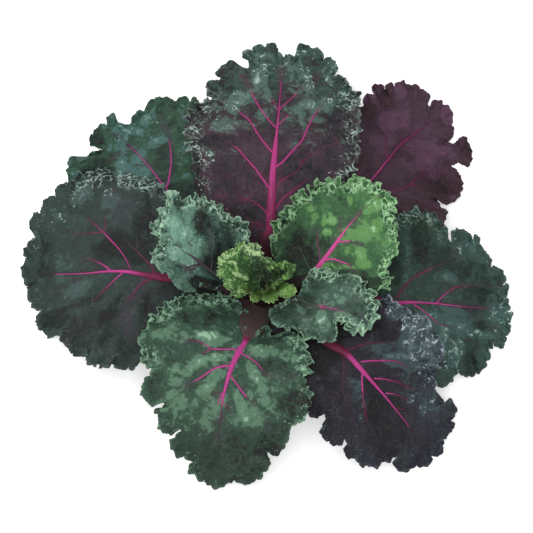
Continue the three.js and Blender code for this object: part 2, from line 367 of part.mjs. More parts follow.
function outerLeaf(leaf) {
  const rib = lengthCurve(leaf.rib);
  // petiole sides, from the stem to where the blade starts
  const first = leaf.outline[0], last = leaf.outline[leaf.outline.length - 1];
  const a1 = Math.max(3, Math.min(rib.nearest(first[0], first[1])[0], rib.nearest(last[0], last[1])[0]) - 2);
  const J = Math.max(1, Math.round(a1 / 13));
  const side = (sgn) => {
    const pts = [];
    for (let k = 0; k <= J; k++) {
      const a = a1 * k / J, p = rib.at(a), d = rib.dir(a), w = ribHalf(a / rib.total) * 1.25 + 0.4;
      pts.push([p[0] - sgn * d[1] * w, p[1] + sgn * d[0] * w, 3]);
    }
    return pts;
  };
  const left = side(1), right = side(-1).reverse();
  const dense = denseOutline([...left, ...leaf.outline, ...right], 1.5);
  const total = dense[dense.length - 1].s;
  // where the petiole's sides end and the blade's margin starts
  const joins = [left[left.length - 1], right[0]].map((q) => {
    let best = dense[0];
    for (const p of dense) if (Math.hypot(p.x - q[0], p.y - q[1]) < Math.hypot(best.x - q[0], best.y - q[1])) best = p;
    return best.s;
  });

  // the outline with its lobes evened out, which the inner rows follow
  const smoothAt = (s, sigma) => {
    let X = 0, Y = 0, W = 0;
    const cut = Math.min(s, total - s, Math.abs(s - joins[0]), Math.abs(s - joins[1]));
    const sg = Math.min(sigma, cut / 2.5 + 0.01);
    for (const p of dense) {
      const d = (p.s - s) / sg;
      if (Math.abs(d) > 3) continue;
      const w = Math.exp(-d * d / 2);
      X += p.x * w; Y += p.y * w; W += w;
    }
    return [X / W, Y / W];
  };

  // columns: every notch, and evenly between notches
  const marks = dense.map((p, i) => (p.notch ? i : -1)).filter((i) => i >= 0);
  const cols = [];
  marks.forEach((i0, k) => {
    if (k === marks.length - 1) { cols.push({ i: i0, q: 0, lobe: k }); return; }
    const i1 = marks[k + 1], len = dense[i1].s - dense[i0].s;
    const m = k < J || k >= marks.length - 1 - J ? 1 : Math.max(1, Math.round(len / COLUMN));
    for (let j = 0; j < m; j++) {
      const target = dense[i0].s + len * j / m;
      let i = i0;
      while (i < i1 && dense[i].s < target - 1e-6) i++;
      cols.push({ i, q: j / m, lobe: k });
    }
  });
  const N = cols.length - 1;
  // where on the midrib each column starts: veins lean towards the tip
  const raw = cols.map((c) => {
    const [ex, ey] = smoothAt(dense[c.i].s, leaf.even);
    const [a, d] = rib.nearest(ex, ey);
    return clamp(a - 0.45 * Math.max(d - 5, 0), 0, rib.total);
  });
  let tip = 0;
  cols.forEach((c, i) => {
    const [a] = rib.nearest(dense[c.i].x, dense[c.i].y);
    const [b] = rib.nearest(dense[cols[tip].i].x, dense[cols[tip].i].y);
    const e = rib.at(rib.total);
    const score = (p) => Math.hypot(p.x - e[0], p.y - e[1]);
    if (a > 0.9 * rib.total && (b <= 0.9 * rib.total || score(dense[c.i]) < score(dense[cols[tip].i]))) tip = i;
  });
  for (let i = 1; i <= tip; i++) raw[i] = Math.max(raw[i], raw[i - 1]);
  for (let i = N - 1; i >= tip; i--) raw[i] = Math.max(raw[i], raw[i + 1]);
  const tipEnd = 0.87 * rib.total;
  const KB = Math.max(6, Math.round((tipEnd - a1) / 11));
  const nodes = [];                  // rib nodes, by length along the rib
  for (let k = 0; k < J; k++) nodes.push(a1 * k / J);
  for (let k = 0; k <= KB; k++) nodes.push(a1 + (tipEnd - a1) * k / KB);
  const K = nodes.length;
  const idx = raw.map((a) => J + clamp(Math.round((Math.min(a, tipEnd) - a1) / (tipEnd - a1) * KB), 0, KB));
  for (let k = 0; k <= J; k++) { idx[k] = k; idx[N - k] = k; }
  idx[tip] = K - 1;
  for (let i = 1; i <= tip; i++) idx[i] = Math.max(idx[i], idx[i - 1]);
  for (let i = N - 1; i >= tip; i--) idx[i] = Math.max(idx[i], idx[i + 1]);

  const mid = (x, y, c, r) => {
    let z = archHeight(leaf, x, y);
    const code = dense[c.i].code;
    const amp = code === 1 ? 1.2 : 4.2;
    let wave = amp * (0.45 + 0.55 * Math.sin(c.lobe * 2.4 + leaf.seed * 1.7));
    if (code === 1) wave = 0;
    if (code === 2) wave = Math.abs(wave);
    z += wave * Math.sin(Math.PI * c.q) * step(0.55, 1, r);
    const calm = code === 1 ? 0.35 : 1;
    z += calm * step(0.1, 0.6, r) * (1.6 * Math.sin(x * 0.11 + leaf.seed * 5.1) * Math.cos(y * 0.09 + leaf.seed * 3.3)
      + 1.0 * Math.sin((x + y) * 0.17 + leaf.seed * 2.2));
    return ground(z);
  };

  const verts = [], tris = [];
  const top = [], bot = [];          // rib nodes
  for (let k = 0; k < K; k++) {
    const a = nodes[k], u = a / rib.total, p = rib.at(a);
    const z = ground(archHeight(leaf, p[0], p[1]) - 1.2 * step(0.1, 0.3, u));
    top.push(verts.push([p[0], p[1], z + BLADE / 2 + 0.5 * (1 - u)]) - 1);
    bot.push(verts.push([p[0], p[1], Math.max(z - BLADE / 2 - ribDeep(u), Math.min(0.05 + u, z - 0.9))]) - 1);
  }
  const rows = [];                   // rib edge, half way, near the margin, margin
  for (let i = 0; i <= N; i++) {
    const c = cols[i], a = nodes[idx[i]], S = rib.at(a);
    const s = dense[c.i].s;
    const E = smoothAt(s, leaf.even), M = [dense[c.i].x, dense[c.i].y];
    const dist = Math.hypot(E[0] - S[0], E[1] - S[1]);
    const r1 = clamp(ribHalf(a / rib.total) / Math.max(dist, 0.1), 0.08, 0.6);
    const list = [];
    // the inner rows stay inside a notch that cuts in deeper than they run
    const most = Math.hypot(M[0] - S[0], M[1] - S[1]) / Math.max(dist, 0.1);
    const r3 = Math.min(0.8, most * 0.82);
    for (const r of [Math.min(r1, most * 0.5), Math.min(r1, most * 0.5) + (r3 - Math.min(r1, most * 0.5)) * 0.6, 1]) {
      const w = step(0.55, 1, r);
      const q = r === 1 ? M : [S[0] + (E[0] - S[0]) * r, S[1] + (E[1] - S[1]) * r];
      const z = mid(q[0], q[1], c, r) - 1.2 * step(0.1, 0.3, a / rib.total) * (1 - step(0, 0.5, r));
      const thick = r === 1 ? BLADE * 0.8 : BLADE;
      const deep = a / rib.total < 0.2 && r === r1 ? ribDeep(a / rib.total) * 0.55 * step(0.2, 0.02, a / rib.total) : 0;
      list.push([verts.push([q[0], q[1], z + thick / 2]) - 1,
        verts.push([q[0], q[1], Math.max(z - thick / 2 - Math.abs(deep), 0)]) - 1]);
    }
    rows.push(list);
  }
  const M = rows[0].length;
  const quad = (a, b, c, d) => { tris.push([a, b, c], [a, c, d]); };
  for (let i = 0; i < N; i++) {
    for (let m = 0; m < M - 1; m++) {
      const A = rows[i][m], B = rows[i + 1][m], C = rows[i + 1][m + 1], D = rows[i][m + 1];
      quad(A[0], D[0], C[0], B[0]);
      quad(A[1], B[1], C[1], D[1]);
    }
    const A = rows[i][M - 1], B = rows[i + 1][M - 1];
    quad(A[0], A[1], B[1], B[0]);
    // rib strip
    const p = rows[i][0], q = rows[i + 1][0];
    let k = idx[i];
    const k1 = idx[i + 1];
    while (k !== k1) {
      const n = k + Math.sign(k1 - k);
      tris.push([top[k], p[0], top[n]], [bot[k], bot[n], p[1]]);
      k = n;
    }
    tris.push([top[k], p[0], q[0]], [bot[k], q[1], p[1]]);
  }
  // end of the petiole, facing the stem
  const cap = [...rows[N].slice().reverse(), [top[0], bot[0]], ...rows[0]];
  for (let i = 0; i < cap.length - 1; i++) quad(cap[i][0], cap[i][1], cap[i + 1][1], cap[i + 1][0]);
  return closedGeometry(verts, tris.map((t) => [t[0], t[2], t[1]]));
}

// ---------------------------------------------------------------- heart
// A young leaf that stands up from the top of the stem.  Its rib leaves the
// axis at distance rho0 and height z0 towards azimuth az, climbing at lean0
// degrees at the base and lean1 at the tip; roll is how far the blade wraps
// round its own rib at the widest place, in degrees.
const HEART = {
  heart_leaf_left: { color: 0x8cbe5a, az: 172, rho0: 5.5, z0: 62.5, long: 47, half: 19, lean0: 66, lean1: 22, roll: 100, lobes: 4, wave: 1.6 },
  heart_leaf_back: { color: 0x5f9a4a, az: 112, rho0: 5.5, z0: 62.5, long: 38, half: 10.5, lean0: 74, lean1: 48, roll: 110, lobes: 3, wave: 1.1 },
  heart_leaf_right: { color: 0x586e3a, az: 14, rho0: 7.5, z0: 62.5, long: 42, half: 14, lean0: 70, lean1: 66, roll: 225, lobes: 3, wave: 1.0 },
  heart_leaf_front: { color: 0x96c35a, az: -88, rho0: 6.0, z0: 62.5, long: 42, half: 18, lean0: 76, lean1: 44, roll: 100, lobes: 4, wave: 1.6 },
  growing_tip: { color: 0x4c6a34, az: 110, rho0: 0.0, z0: 61.0, long: 30, half: 9, lean0: 88, lean1: 84, roll: 250, lobes: 1, wave: 0.3 },
};
const HEART_THICK = 1.4;

function heartLeaf(h) {
  const NU = 10, NV = 10;
  const rad = Math.PI / 180, ca = Math.cos(h.az * rad), sa = Math.sin(h.az * rad);
  // rib in its upright plane
  const R = [[h.rho0, h.z0]];
  const ang = [];
  for (let i = 0; i <= NU; i++) ang.push((h.lean0 + (h.lean1 - h.lean0) * (i / NU)) * rad);
  for (let i = 1; i <= NU; i++) {
    const a = (ang[i - 1] + ang[i]) / 2, d = h.long / NU;
    R.push([R[i - 1][0] + d * Math.cos(a), R[i - 1][1] + d * Math.sin(a)]);
  }
  const verts = [], tris = [];
  const T = [], B = [];
  for (let i = 0; i <= NU; i++) {
    const u = i / NU;
    const base = 0.16 + 0.84 * step(0.05, 0.55, u);
    const end = Math.sqrt(Math.max(1 - ((u - 0.55) / 0.45) ** 2 * (u > 0.55 ? 0.86 : 0), 0.05));
    const w = h.half * base * end;
    const lobe = 1 + 0.1 * Math.sin(Math.PI * 2 * h.lobes * u) * step(0.4, 0.7, u);
    const arc = h.roll * rad * step(0.0, 0.55, u) * 0.5 + 0.02;
    const rr = w / arc;
    // directions: along the rib, sideways, and the upper face's normal
    const tx = Math.cos(ang[i]), tz = Math.sin(ang[i]);
    const nx = -tz, nz = tx;
    const rowT = [], rowB = [];
    for (let j = 0; j <= NV; j++) {
      const v = (j / NV) * 2 - 1, f = v * arc * lobe;
      const edge = step(0.6, 1, Math.abs(v));
      const curl = h.wave * edge * Math.sin(u * Math.PI * 2 * h.lobes + (v > 0 ? 0 : 1.6)) * step(0.25, 0.6, u);
      const side = rr * Math.sin(f), up = rr * (1 - Math.cos(f)) + curl * 0.5;
      const nS = -Math.sin(f), nN = Math.cos(f);
      for (const [row, o] of [[rowT, HEART_THICK / 2], [rowB, -HEART_THICK / 2 - (j === NV / 2 ? 1.2 * (1 - u) : 0)]]) {
        const s = side + nS * o, n = up + nN * o;
        const pr = R[i][0] + nx * n, pz = R[i][1] + nz * n;
        row.push(verts.push([pr * ca - s * sa, pr * sa + s * ca, pz]) - 1);
      }
    }
    T.push(rowT); B.push(rowB);
  }
  const quad = (a, b, c, d) => { tris.push([a, b, c], [a, c, d]); };
  for (let i = 0; i < NU; i++) {
    for (let j = 0; j < NV; j++) {
      quad(T[i][j], T[i + 1][j], T[i + 1][j + 1], T[i][j + 1]);
      quad(B[i][j], B[i][j + 1], B[i + 1][j + 1], B[i + 1][j]);
    }
    quad(T[i][0], B[i][0], B[i + 1][0], T[i + 1][0]);
    quad(T[i][NV], T[i + 1][NV], B[i + 1][NV], B[i][NV]);
  }
  for (let j = 0; j < NV; j++) {
    quad(T[0][j], T[0][j + 1], B[0][j + 1], B[0][j]);
    quad(T[NU][j], B[NU][j], B[NU][j + 1], T[NU][j + 1]);
  }
  // flip when the faces point in
  let vol = 0;
  for (const [a, b, c] of tris) {
    const [p, q, r] = [verts[a], verts[b], verts[c]];
    vol += p[0] * (q[1] * r[2] - q[2] * r[1]) - p[1] * (q[0] * r[2] - q[2] * r[0]) + p[2] * (q[0] * r[1] - q[1] * r[0]);
  }
  if (vol < 0) tris.forEach((t) => t.reverse());
  return closedGeometry(verts, tris);
}

// ---------------------------------------------------------------- stem
// a short thick stalk: flat cut end, a slow taper and a slightly angular
// round section
function stemGeometry() {
  const SIDES = 18;
  const rings = [[0, STEM_R0 - 0.6], [1.2, STEM_R0], [14, STEM_R0], [26, 12.0], [40, 10.4], [52, 9.0], [STEM_H - 1, STEM_R1 - 0.2], [STEM_H, STEM_R1 - 1.4]];
  const verts = [], tris = [];
  const idx = rings.map(([z, r], k) => {
    const row = [];
    for (let i = 0; i < SIDES; i++) {
      const a = i / SIDES * Math.PI * 2;
      const rr = r - 0.25 + 0.25 * Math.cos(a * 5 + z * 0.05);
      row.push(verts.push([rr * Math.cos(a), rr * Math.sin(a), z]) - 1);
    }
    return row;
  });
  const c0 = verts.push([0, 0, 0]) - 1, c1 = verts.push([0, 0, STEM_H]) - 1;
  for (let i = 0; i < SIDES; i++) {
    const j = (i + 1) % SIDES;
    tris.push([c0, idx[0][j], idx[0][i]]);
    tris.push([c1, idx[rings.length - 1][i], idx[rings.length - 1][j]]);
    for (let k = 0; k < rings.length - 1; k++) {
      tris.push([idx[k][i], idx[k][j], idx[k + 1][j]], [idx[k][i], idx[k + 1][j], idx[k + 1][i]]);
    }
  }
  return closedGeometry(verts, tris);
}

// ---------------------------------------------------------------- assembly
const kale = new THREE.Group();
const OFFSET = [2.2, 24.77, 0];     // from the stem axis to the middle of the footprint
function add(name, geometry, color, roughness) {
  const mesh = new THREE.Mesh(geometry, new THREE.MeshStandardMaterial({ color, roughness, metalness: 0, flatShading: false }));
  mesh.name = name;
  mesh.position.set(-OFFSET[0], -OFFSET[1], -OFFSET[2]);
  kale.add(mesh);
}
add('stem', stemGeometry(), 0x9aa27a, 0.6);
for (const [name, leaf] of Object.entries(LEAVES)) add(name, outerLeaf(leaf), leaf.color, 0.55);
for (const [name, h] of Object.entries(HEART)) add(name, heartLeaf(h), h.color, 0.5);

export default kale;
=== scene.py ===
import math

import bpy
import numpy as np
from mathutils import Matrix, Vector, bvhtree


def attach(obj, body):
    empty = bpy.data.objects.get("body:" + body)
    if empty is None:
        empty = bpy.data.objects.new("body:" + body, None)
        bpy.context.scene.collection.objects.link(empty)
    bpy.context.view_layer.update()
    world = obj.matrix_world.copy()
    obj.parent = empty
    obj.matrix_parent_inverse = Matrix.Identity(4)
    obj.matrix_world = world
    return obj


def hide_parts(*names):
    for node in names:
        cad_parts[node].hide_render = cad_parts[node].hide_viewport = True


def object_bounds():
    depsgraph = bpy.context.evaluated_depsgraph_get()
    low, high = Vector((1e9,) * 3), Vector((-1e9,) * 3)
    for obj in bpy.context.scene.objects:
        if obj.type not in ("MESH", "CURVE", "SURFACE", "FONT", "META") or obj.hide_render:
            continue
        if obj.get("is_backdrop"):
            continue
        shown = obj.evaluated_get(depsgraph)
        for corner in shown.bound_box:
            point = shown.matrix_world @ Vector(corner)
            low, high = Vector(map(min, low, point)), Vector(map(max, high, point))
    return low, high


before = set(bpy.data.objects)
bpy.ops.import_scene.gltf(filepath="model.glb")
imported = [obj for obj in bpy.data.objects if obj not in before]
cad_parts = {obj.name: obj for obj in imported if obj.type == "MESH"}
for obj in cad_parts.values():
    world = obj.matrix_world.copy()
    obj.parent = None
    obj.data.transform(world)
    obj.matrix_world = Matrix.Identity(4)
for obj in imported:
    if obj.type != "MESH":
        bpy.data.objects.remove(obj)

CAD_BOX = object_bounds()

# Purple kale bunch.  All lengths below are millimetres measured from the stem
# axis, and become metres in the shared frame when a mesh is made.
OFFSET = np.array([2.2, 24.77, 0.0])
FLOOR = 0.95
ARCH = [[0, 6], [12, 14], [25, 29], [45, 46], [65, 55], [85, 56], [105, 50],
        [125, 38], [145, 23], [160, 12], [175, 5.5], [190, 2.5], [215, 1]]

# outline: plan points [x, y, code] from the petiole's left side round the tip
# (code 1 notch, 2 under another leaf, 4 over another leaf)
# rib: plan curve of petiole and midrib; midrib: [x, y, half width, brightness,
# fading] along it, low brightness painting the petiole foot dark as shade near
# the stem; veins: plan curve, half widths and brightness at its ends
# roll: [x, y, radius, amount] where the margin rolls over the blade
# areas: [x, y, half length, half width, angle, amount] of paler (+) blisters
# and painted highlights, and darker (-) hollows and painted shade, the darkest
# painted as shadow in the gaps between leaves; a leaf with a scale is described
# 1 / scale times larger
LEAVES = {
    "leaf_upper_left": dict(
        seed=1.0, scale=1.0, lift=0, profile=ARCH,
        tilt=None, droop=[(110, 165, 7.0, 146, 28)],
        outline=[[-19.1,14.3,0],[-29.2,22.3,2],[-45.0,31.6,2],[-63.0,40.9,2],[-77.6,48.8,3],[-88.8,50.3,2],
            [-99.4,55.5,3],[-108.8,58.8,2],[-118.6,65.9,3],[-126.8,70.4,2],[-133.7,78.0,3],[-140.3,81.6,2],
            [-144.4,86.9,2],[-146.0,91.6,1],[-146.9,96.3,0],[-147.7,101.0,0],[-146.3,104.2,1],
            [-147.1,107.3,0],[-145.6,110.4,0],[-142.6,112.0,0],[-141.1,108.9,1],[-138.7,106.5,0],
            [-135.0,108.0,0],[-132.7,110.4,1],[-129.0,114.3,0],[-125.2,115.0,0],[-122.2,117.3,1],
            [-123.0,119.7,0],[-126.1,119.0,0],[-129.9,120.6,0],[-131.5,123.8,0],[-130.8,126.9,0],
            [-129.3,130.1,1],[-127.1,134.0,0],[-122.6,137.2,0],[-118.8,137.9,1],[-118.1,139.5,0],
            [-117.4,142.7,0],[-114.3,144.3,0],[-111.3,144.2,0],[-110.5,141.1,0],[-109.6,136.2,1],
            [-108.1,137.0,0],[-102.7,136.8,0],[-99.7,139.9,0],[-95.8,139.6,1],[-96.6,140.5,0],[-97.5,144.0,0],
            [-95.3,147.2,0],[-92.2,147.8,0],[-89.1,146.8,1],[-87.7,151.0,0],[-85.5,155.0,0],[-82.4,157.4,0],
            [-77.8,158.0,0],[-73.3,159.5,0],[-70.2,158.4,0],[-68.6,155.7,0],[-65.4,152.8,1],[-64.0,156.3,0],
            [-61.7,157.9,0],[-57.9,156.8,0],[-54.8,154.8,1],[-50.9,154.5,0],[-47.0,150.4,0],[-43.9,148.2,1],
            [-39.3,145.7,2],[-36.0,137.4,3],[-31.3,128.1,2],[-28.9,118.4,3],[-29.4,104.7,2],[-27.8,91.9,3],
            [-29.1,81.5,2],[-33.4,72.3,3],[-31.9,59.0,2],[-26.2,45.3,2],[-19.0,31.3,2],[-13.2,21.5,0]],
        rib=[[-7.6,11.3],[-16.2,23.8],[-36.3,39.2],[-52.2,51.4],[-70.9,76.0],[-84.5,97.0],[-97.9,115.6],
            [-111.0,131.4]],
        midrib=[[-0.0,3.2,4.41,0.0,0.0],[-36.3,39.2,3.67,0.2,0.0],[-52.2,53.6,2.35,0.4,0.0],
            [-67.1,71.7,1.25,0.9,0.0],[-71.6,76.1,1.1,1.0,0.0],[-78.7,87.1,0.88,1.0,0.0],
            [-87.0,101.2,0.73,1.0,0.0],[-96.2,113.4,0.66,0.95,0.0],[-98.8,116.8,0.51,0.9,0.3],
            [-103.0,123.0,0.29,0.5,0.8],[-111.0,131.4,0.22,0.3,1.0]],
        veins=[{"line":[[-71.6,75.3],[-69.4,76.7],[-68.1,83.3],[-67.0,94.4],[-67.3,103.5],
            [-69.5,119.9]],"w":[0.81,0.44],"b":[0.95,0.7]},{"line":[[-69.5,119.9],[-72.4,132.0],
            [-77.4,142.2]],"w":[0.26,0.15],"b":[0.15,0.0]},{"line":[[-62.5,62.0],[-69.9,63.9],[-80.3,67.9],
            [-92.5,72.8]],"w":[0.29,0.15],"b":[0.12,0.0]},{"line":[[-97.1,114.5],[-104.1,113.2],
            [-113.3,109.5],[-122.5,103.9]],"w":[0.26,0.15],"b":[0.12,0.0]},{"line":[[-84.5,97.0],[-92.2,97.6],
            [-101.4,94.1]],"w":[0.26,0.15],"b":[0.12,0.0]},{"line":[[-52.2,51.4],[-46.5,64.8],[-42.3,80.2],
            [-41.1,98.3]],"w":[0.29,0.15],"b":[0.12,0.0]}],
        roll=[[-126.0,117.4,4.2,0.3],[-145.5,103.4,4.2,0.3],[-133.7,78.0,6.8,0.4]],
        areas=[[-98.7,132.1,10.3,3.7,-30.0,1.0],[-88.9,139.8,3.7,5.9,-20.0,1.0],
            [-109.3,124.6,8.8,10.3,-30.0,0.6],[-94.3,92.5,14.7,5.9,-10.0,0.6],[-104.9,101.3,5.9,7.3,-0.0,0.6],
            [-77.1,118.3,6.6,2.9,-0.0,1.0],[-99.0,107.4,11.8,8.8,-0.0,0.6],[-115.7,137.1,7.3,5.9,30.0,0.4],
            [-58.5,110.7,4.4,5.9,-0.0,0.35],[-66.1,128.1,5.9,7.3,-0.0,-0.35],[-126.9,125.3,7.3,8.8,-0.0,-0.8],
            [-126.3,102.7,14.7,7.3,-0.0,-0.5],[-71.5,95.0,8.8,16.2,-0.0,-0.6],
            [-77.6,147.6,13.2,7.3,-0.0,-0.1],[-104.4,142.6,5.9,2.9,-0.0,-0.2],
            [-122.2,98.6,14.7,3.7,-0.0,-1.0],[-58.2,71.2,11.8,8.8,-0.0,-0.8],[-50.0,146.8,5.9,4.4,-0.0,-0.5]],
    ),
    "leaf_upper_right": dict(
        bend=[(153.3, 126.5, 10.3, 149.8, 103.4)],
        seed=2.3, scale=1.0, lift=0, profile=ARCH,
        tilt=None, droop=[(110, 165, 6.0, 30, 24)],
        outline=[[13.2,24.1,2],[21.9,32.3,2],[30.6,42.4,2],[40.7,53.1,2],[49.5,64.8,3],[51.0,74.1,2],
            [54.8,83.9,3],[57.3,94.2,2],[60.5,105.3,3],[62.4,116.7,2],[65.1,128.6,3],[66.2,138.5,2],
            [71.9,148.4,3],[77.3,150.6,0],[76.7,155.8,0],[78.3,158.4,0],[81.4,160.3,0],[86.7,158.0,1],
            [85.3,162.1,0],[83.0,164.5,0],[84.6,167.0,0],[87.7,168.6,0],[90.7,167.9,0],[93.0,165.5,1],
            [95.3,167.9,0],[97.6,169.5,0],[100.6,167.1,1],[103.7,169.6,0],[107.6,171.2,0],[111.4,169.6,0],
            [114.4,167.2,1],[118.2,168.0,0],[122.8,165.7,0],[125.8,162.5,0],[127.3,158.5,0],[125.7,154.5,0],
            [127.9,150.6,1],[130.2,153.0,0],[129.5,155.3,0],[132.6,156.9,0],[136.4,156.2,0],[138.6,153.8,1],
            [141.6,152.2,0],[143.9,148.2,0],[145.3,142.7,0],[143.6,136.4,1],[145.1,132.4,0],[144.6,128.5,0],
            [143.8,125.4,0],[140.7,124.2,0],[138.8,121.8,1],[141.0,119.4,0],[145.2,120.2,0],[148.3,123.4,0],
            [149.9,126.9,0],[152.2,128.1,0],[155.6,125.0,0],[158.1,119.9,0],[159.1,113.6,0],[158.3,108.1,0],
            [155.5,103.8,0],[152.5,106.1,0],[149.5,108.1,0],[146.5,107.3,0],[144.9,104.5,1],[148.2,100.2,0],
            [150.4,95.6,0],[151.8,91.6,0],[149.5,89.3,1],[151.0,86.1,0],[149.3,81.4,0],[146.9,78.0,0],
            [142.0,74.1,0],[136.8,73.7,0],[135.3,75.1,0],[133.8,76.5,0],[132.1,74.8,0],[131.9,71.3,0],
            [130.1,67.9,1],[134.5,68.5,0],[137.6,66.6,0],[137.3,61.4,0],[135.4,55.9,0],[132.8,51.2,1],
            [130.0,43.2,2],[123.5,37.8,3],[115.5,32.5,2],[107.8,29.8,3],[98.7,25.7,2],[89.8,25.1,3],
            [81.0,23.2,2],[70.9,24.6,3],[56.5,22.2,2],[40.7,19.4,2],[27.8,15.7,2],[19.1,11.7,0]],
        rib=[[9.0,10.2],[17.6,19.8],[40.7,37.6],[60.3,57.4],[78.5,81.0],[85.6,90.8],[95.6,106.3],
            [105.7,121.0],[120.0,133.1],[132.3,142.7]],
        midrib=[[-0.0,3.2,4.41,0.0,0.0],[40.7,37.6,3.67,0.2,0.0],[64.0,61.3,1.91,0.6,0.0],
            [77.0,80.0,0.88,0.85,0.0],[85.7,91.7,1.1,0.95,0.0],[93.9,104.1,0.88,1.0,0.0],
            [102.4,116.8,0.73,1.0,0.0],[110.5,125.4,0.66,0.95,0.0],[120.0,133.1,0.44,0.85,0.3],
            [124.6,136.3,0.29,0.5,0.8],[132.3,142.7,0.22,0.3,1.0]],
        veins=[{"line":[[69.5,80.1],[70.5,88.6],[71.4,94.0]],"w":[0.59,0.37],"b":[0.7,0.4]},
            {"line":[[71.4,94.0],[73.5,108.8],[76.4,124.4]],"w":[0.29,0.18],"b":[0.2,0.0]},
            {"line":[[93.3,105.8],[92.9,114.1],[93.5,126.3]],"w":[0.44,0.29],"b":[0.6,0.3]},
            {"line":[[93.5,126.3],[93.9,139.7],[94.2,150.0]],"w":[0.26,0.15],"b":[0.12,0.0]},
            {"line":[[83.4,69.8],[91.8,75.2],[100.4,77.6],[106.8,81.5],[110.0,84.0],[113.5,89.2],[118.5,93.9],
            [125.0,96.9]],"w":[0.51,0.33],"b":[0.5,0.5]},{"line":[[125.0,96.9],[132.9,99.7],
            [140.6,100.1]],"w":[0.22,0.15],"b":[0.2,0.0]},{"line":[[110.8,84.2],[114.8,84.2],
            [119.5,84.3]],"w":[0.37,0.26],"b":[0.45,0.2]},{"line":[[104.9,120.0],[105.0,123.5],
            [105.1,127.0]],"w":[0.37,0.22],"b":[0.5,0.2]},{"line":[[102.4,116.8],[111.8,117.4],
            [122.7,120.3]],"w":[0.26,0.15],"b":[0.12,0.0]},{"line":[[71.3,62.4],[81.6,56.8],
            [94.9,54.9]],"w":[0.29,0.15],"b":[0.12,0.0]}],
        roll=[[79.8,158.5,5.1,0.6],[87.6,167.0,5.1,0.6],[100.7,167.9,5.1,0.4],[144.5,141.1,5.1,0.3],
            [139.5,121.4,4.2,0.3]],
        areas=[[98.5,138.4,11.8,8.8,20.0,1.0],[123.4,115.4,14.7,8.8,-0.0,0.65],[134.8,113.5,13.2,7.3,-0.0,0.4],
            [111.0,102.1,10.3,5.9,-0.0,0.5],[108.7,142.4,4.4,11.8,-0.0,0.35],[92.2,116.8,7.3,7.3,-0.0,0.4],
            [103.6,160.8,5.9,5.9,-0.0,0.6],[85.2,156.2,11.8,3.7,-0.0,0.5],[141.5,145.1,4.4,10.3,-0.0,0.95],
            [154.6,116.7,5.9,12.5,-0.0,-0.7],[143.5,93.9,11.8,13.2,-0.0,-0.45],
            [95.9,156.6,7.3,5.9,-30.0,-0.9],[81.7,143.0,5.9,16.2,-0.0,-0.7],
            [124.0,149.0,11.8,10.3,-0.0,-0.35],[125.8,83.1,19.1,11.8,-0.0,-0.5],
            [105.2,65.6,19.1,7.3,-0.0,-0.7],[76.2,100.0,5.1,17.6,-0.0,-0.4],
            [101.7,104.8,10.3,10.3,-0.0,-0.15],[100.3,122.9,4.4,7.3,-0.0,0.3]],
    ),
    "leaf_left": dict(
        seed=3.1, scale=1.0, lift=8, profile=ARCH,
        tilt=None, droop=[(115, 168, 17, 186, 24)],
        outline=[[-17.6,-1.5,0],[-29.0,-10.2,2],[-40.3,-16.7,2],[-52.9,-20.2,2],[-62.8,-19.3,3],[-64.2,-26.7,2],
            [-70.5,-31.2,3],[-72.6,-38.4,2],[-78.3,-42.5,3],[-80.4,-48.1,2],[-84.8,-53.5,1],[-88.4,-56.8,0],
            [-91.3,-59.4,0],[-95.0,-58.4,1],[-99.5,-59.5,0],[-104.0,-57.7,0],[-107.7,-55.9,1],
            [-110.8,-57.7,0],[-114.6,-57.2,0],[-118.4,-55.4,1],[-121.6,-54.9,0],[-125.5,-52.9,0],
            [-127.8,-49.1,0],[-126.2,-46.5,1],[-130.2,-46.6,0],[-134.2,-45.8,0],[-138.3,-43.0,1],
            [-141.6,-40.2,0],[-144.9,-36.7,0],[-147.4,-32.6,0],[-147.4,-28.9,1],[-152.4,-27.9,0],
            [-156.6,-28.0,0],[-160.6,-25.2,0],[-163.8,-22.0,1],[-167.6,-17.4,0],[-169.2,-12.9,0],
            [-167.0,-10.6,0],[-163.2,-11.5,1],[-163.3,-7.7,0],[-167.1,-6.9,0],[-170.9,-4.5,0],[-172.5,-1.5,1],
            [-174.8,2.3,0],[-175.0,7.6,0],[-175.8,11.4,1],[-179.0,18.3,0],[-179.8,24.4,0],[-178.5,30.5,0],
            [-177.0,34.2,1],[-178.6,39.5,0],[-177.9,42.5,1],[-174.8,44.6,0],[-171.8,47.4,0],[-168.6,46.4,0],
            [-165.5,48.4,1],[-167.9,52.4,0],[-171.0,52.6,0],[-174.2,55.8,0],[-173.5,61.1,0],[-171.2,65.5,0],
            [-167.4,67.6,1],[-165.2,72.8,0],[-163.0,76.5,0],[-159.2,78.6,0],[-155.3,79.1,1],[-153.9,83.7,0],
            [-150.9,85.8,0],[-147.8,87.9,0],[-142.4,87.4,5],[-138.6,91.0,4],[-132.5,92.7,4],[-127.0,92.7,5],
            [-120.8,94.2,4],[-112.8,91.9,4],[-106.3,86.3,5],[-98.6,84.9,4],[-90.8,81.2,4],[-84.0,80.2,5],
            [-78.7,77.9,4],[-74.1,74.9,4],[-69.6,69.7,5],[-65.1,63.2,4],[-64.9,54.0,3],[-60.5,48.0,2],
            [-59.7,39.2,3],[-53.3,27.9,2],[-41.9,17.7,2],[-29.1,12.6,2],[-17.6,8.5,0]],
        rib=[[-13.4,2.3],[-19.1,3.3],[-41.2,4.2],[-69.5,6.1],[-81.7,7.5],[-98.5,11.2],[-111.2,12.5],
            [-129.1,14.0],[-152.2,18.7],[-169.2,21.9]],
        midrib=[[-3.0,4.4,10.29,0.0,0.0],[-16.2,4.0,10.29,0.0,0.0],[-30.5,5.3,4.78,0.0,0.0],
            [-55.3,5.5,4.04,0.15,0.0],[-68.8,5.4,3.67,0.38,0.0],[-74.5,6.0,3.38,0.4,0.0],
            [-81.7,7.8,2.35,0.45,0.0],[-89.0,9.9,1.91,0.65,0.0],[-96.3,11.1,1.62,0.85,0.0],
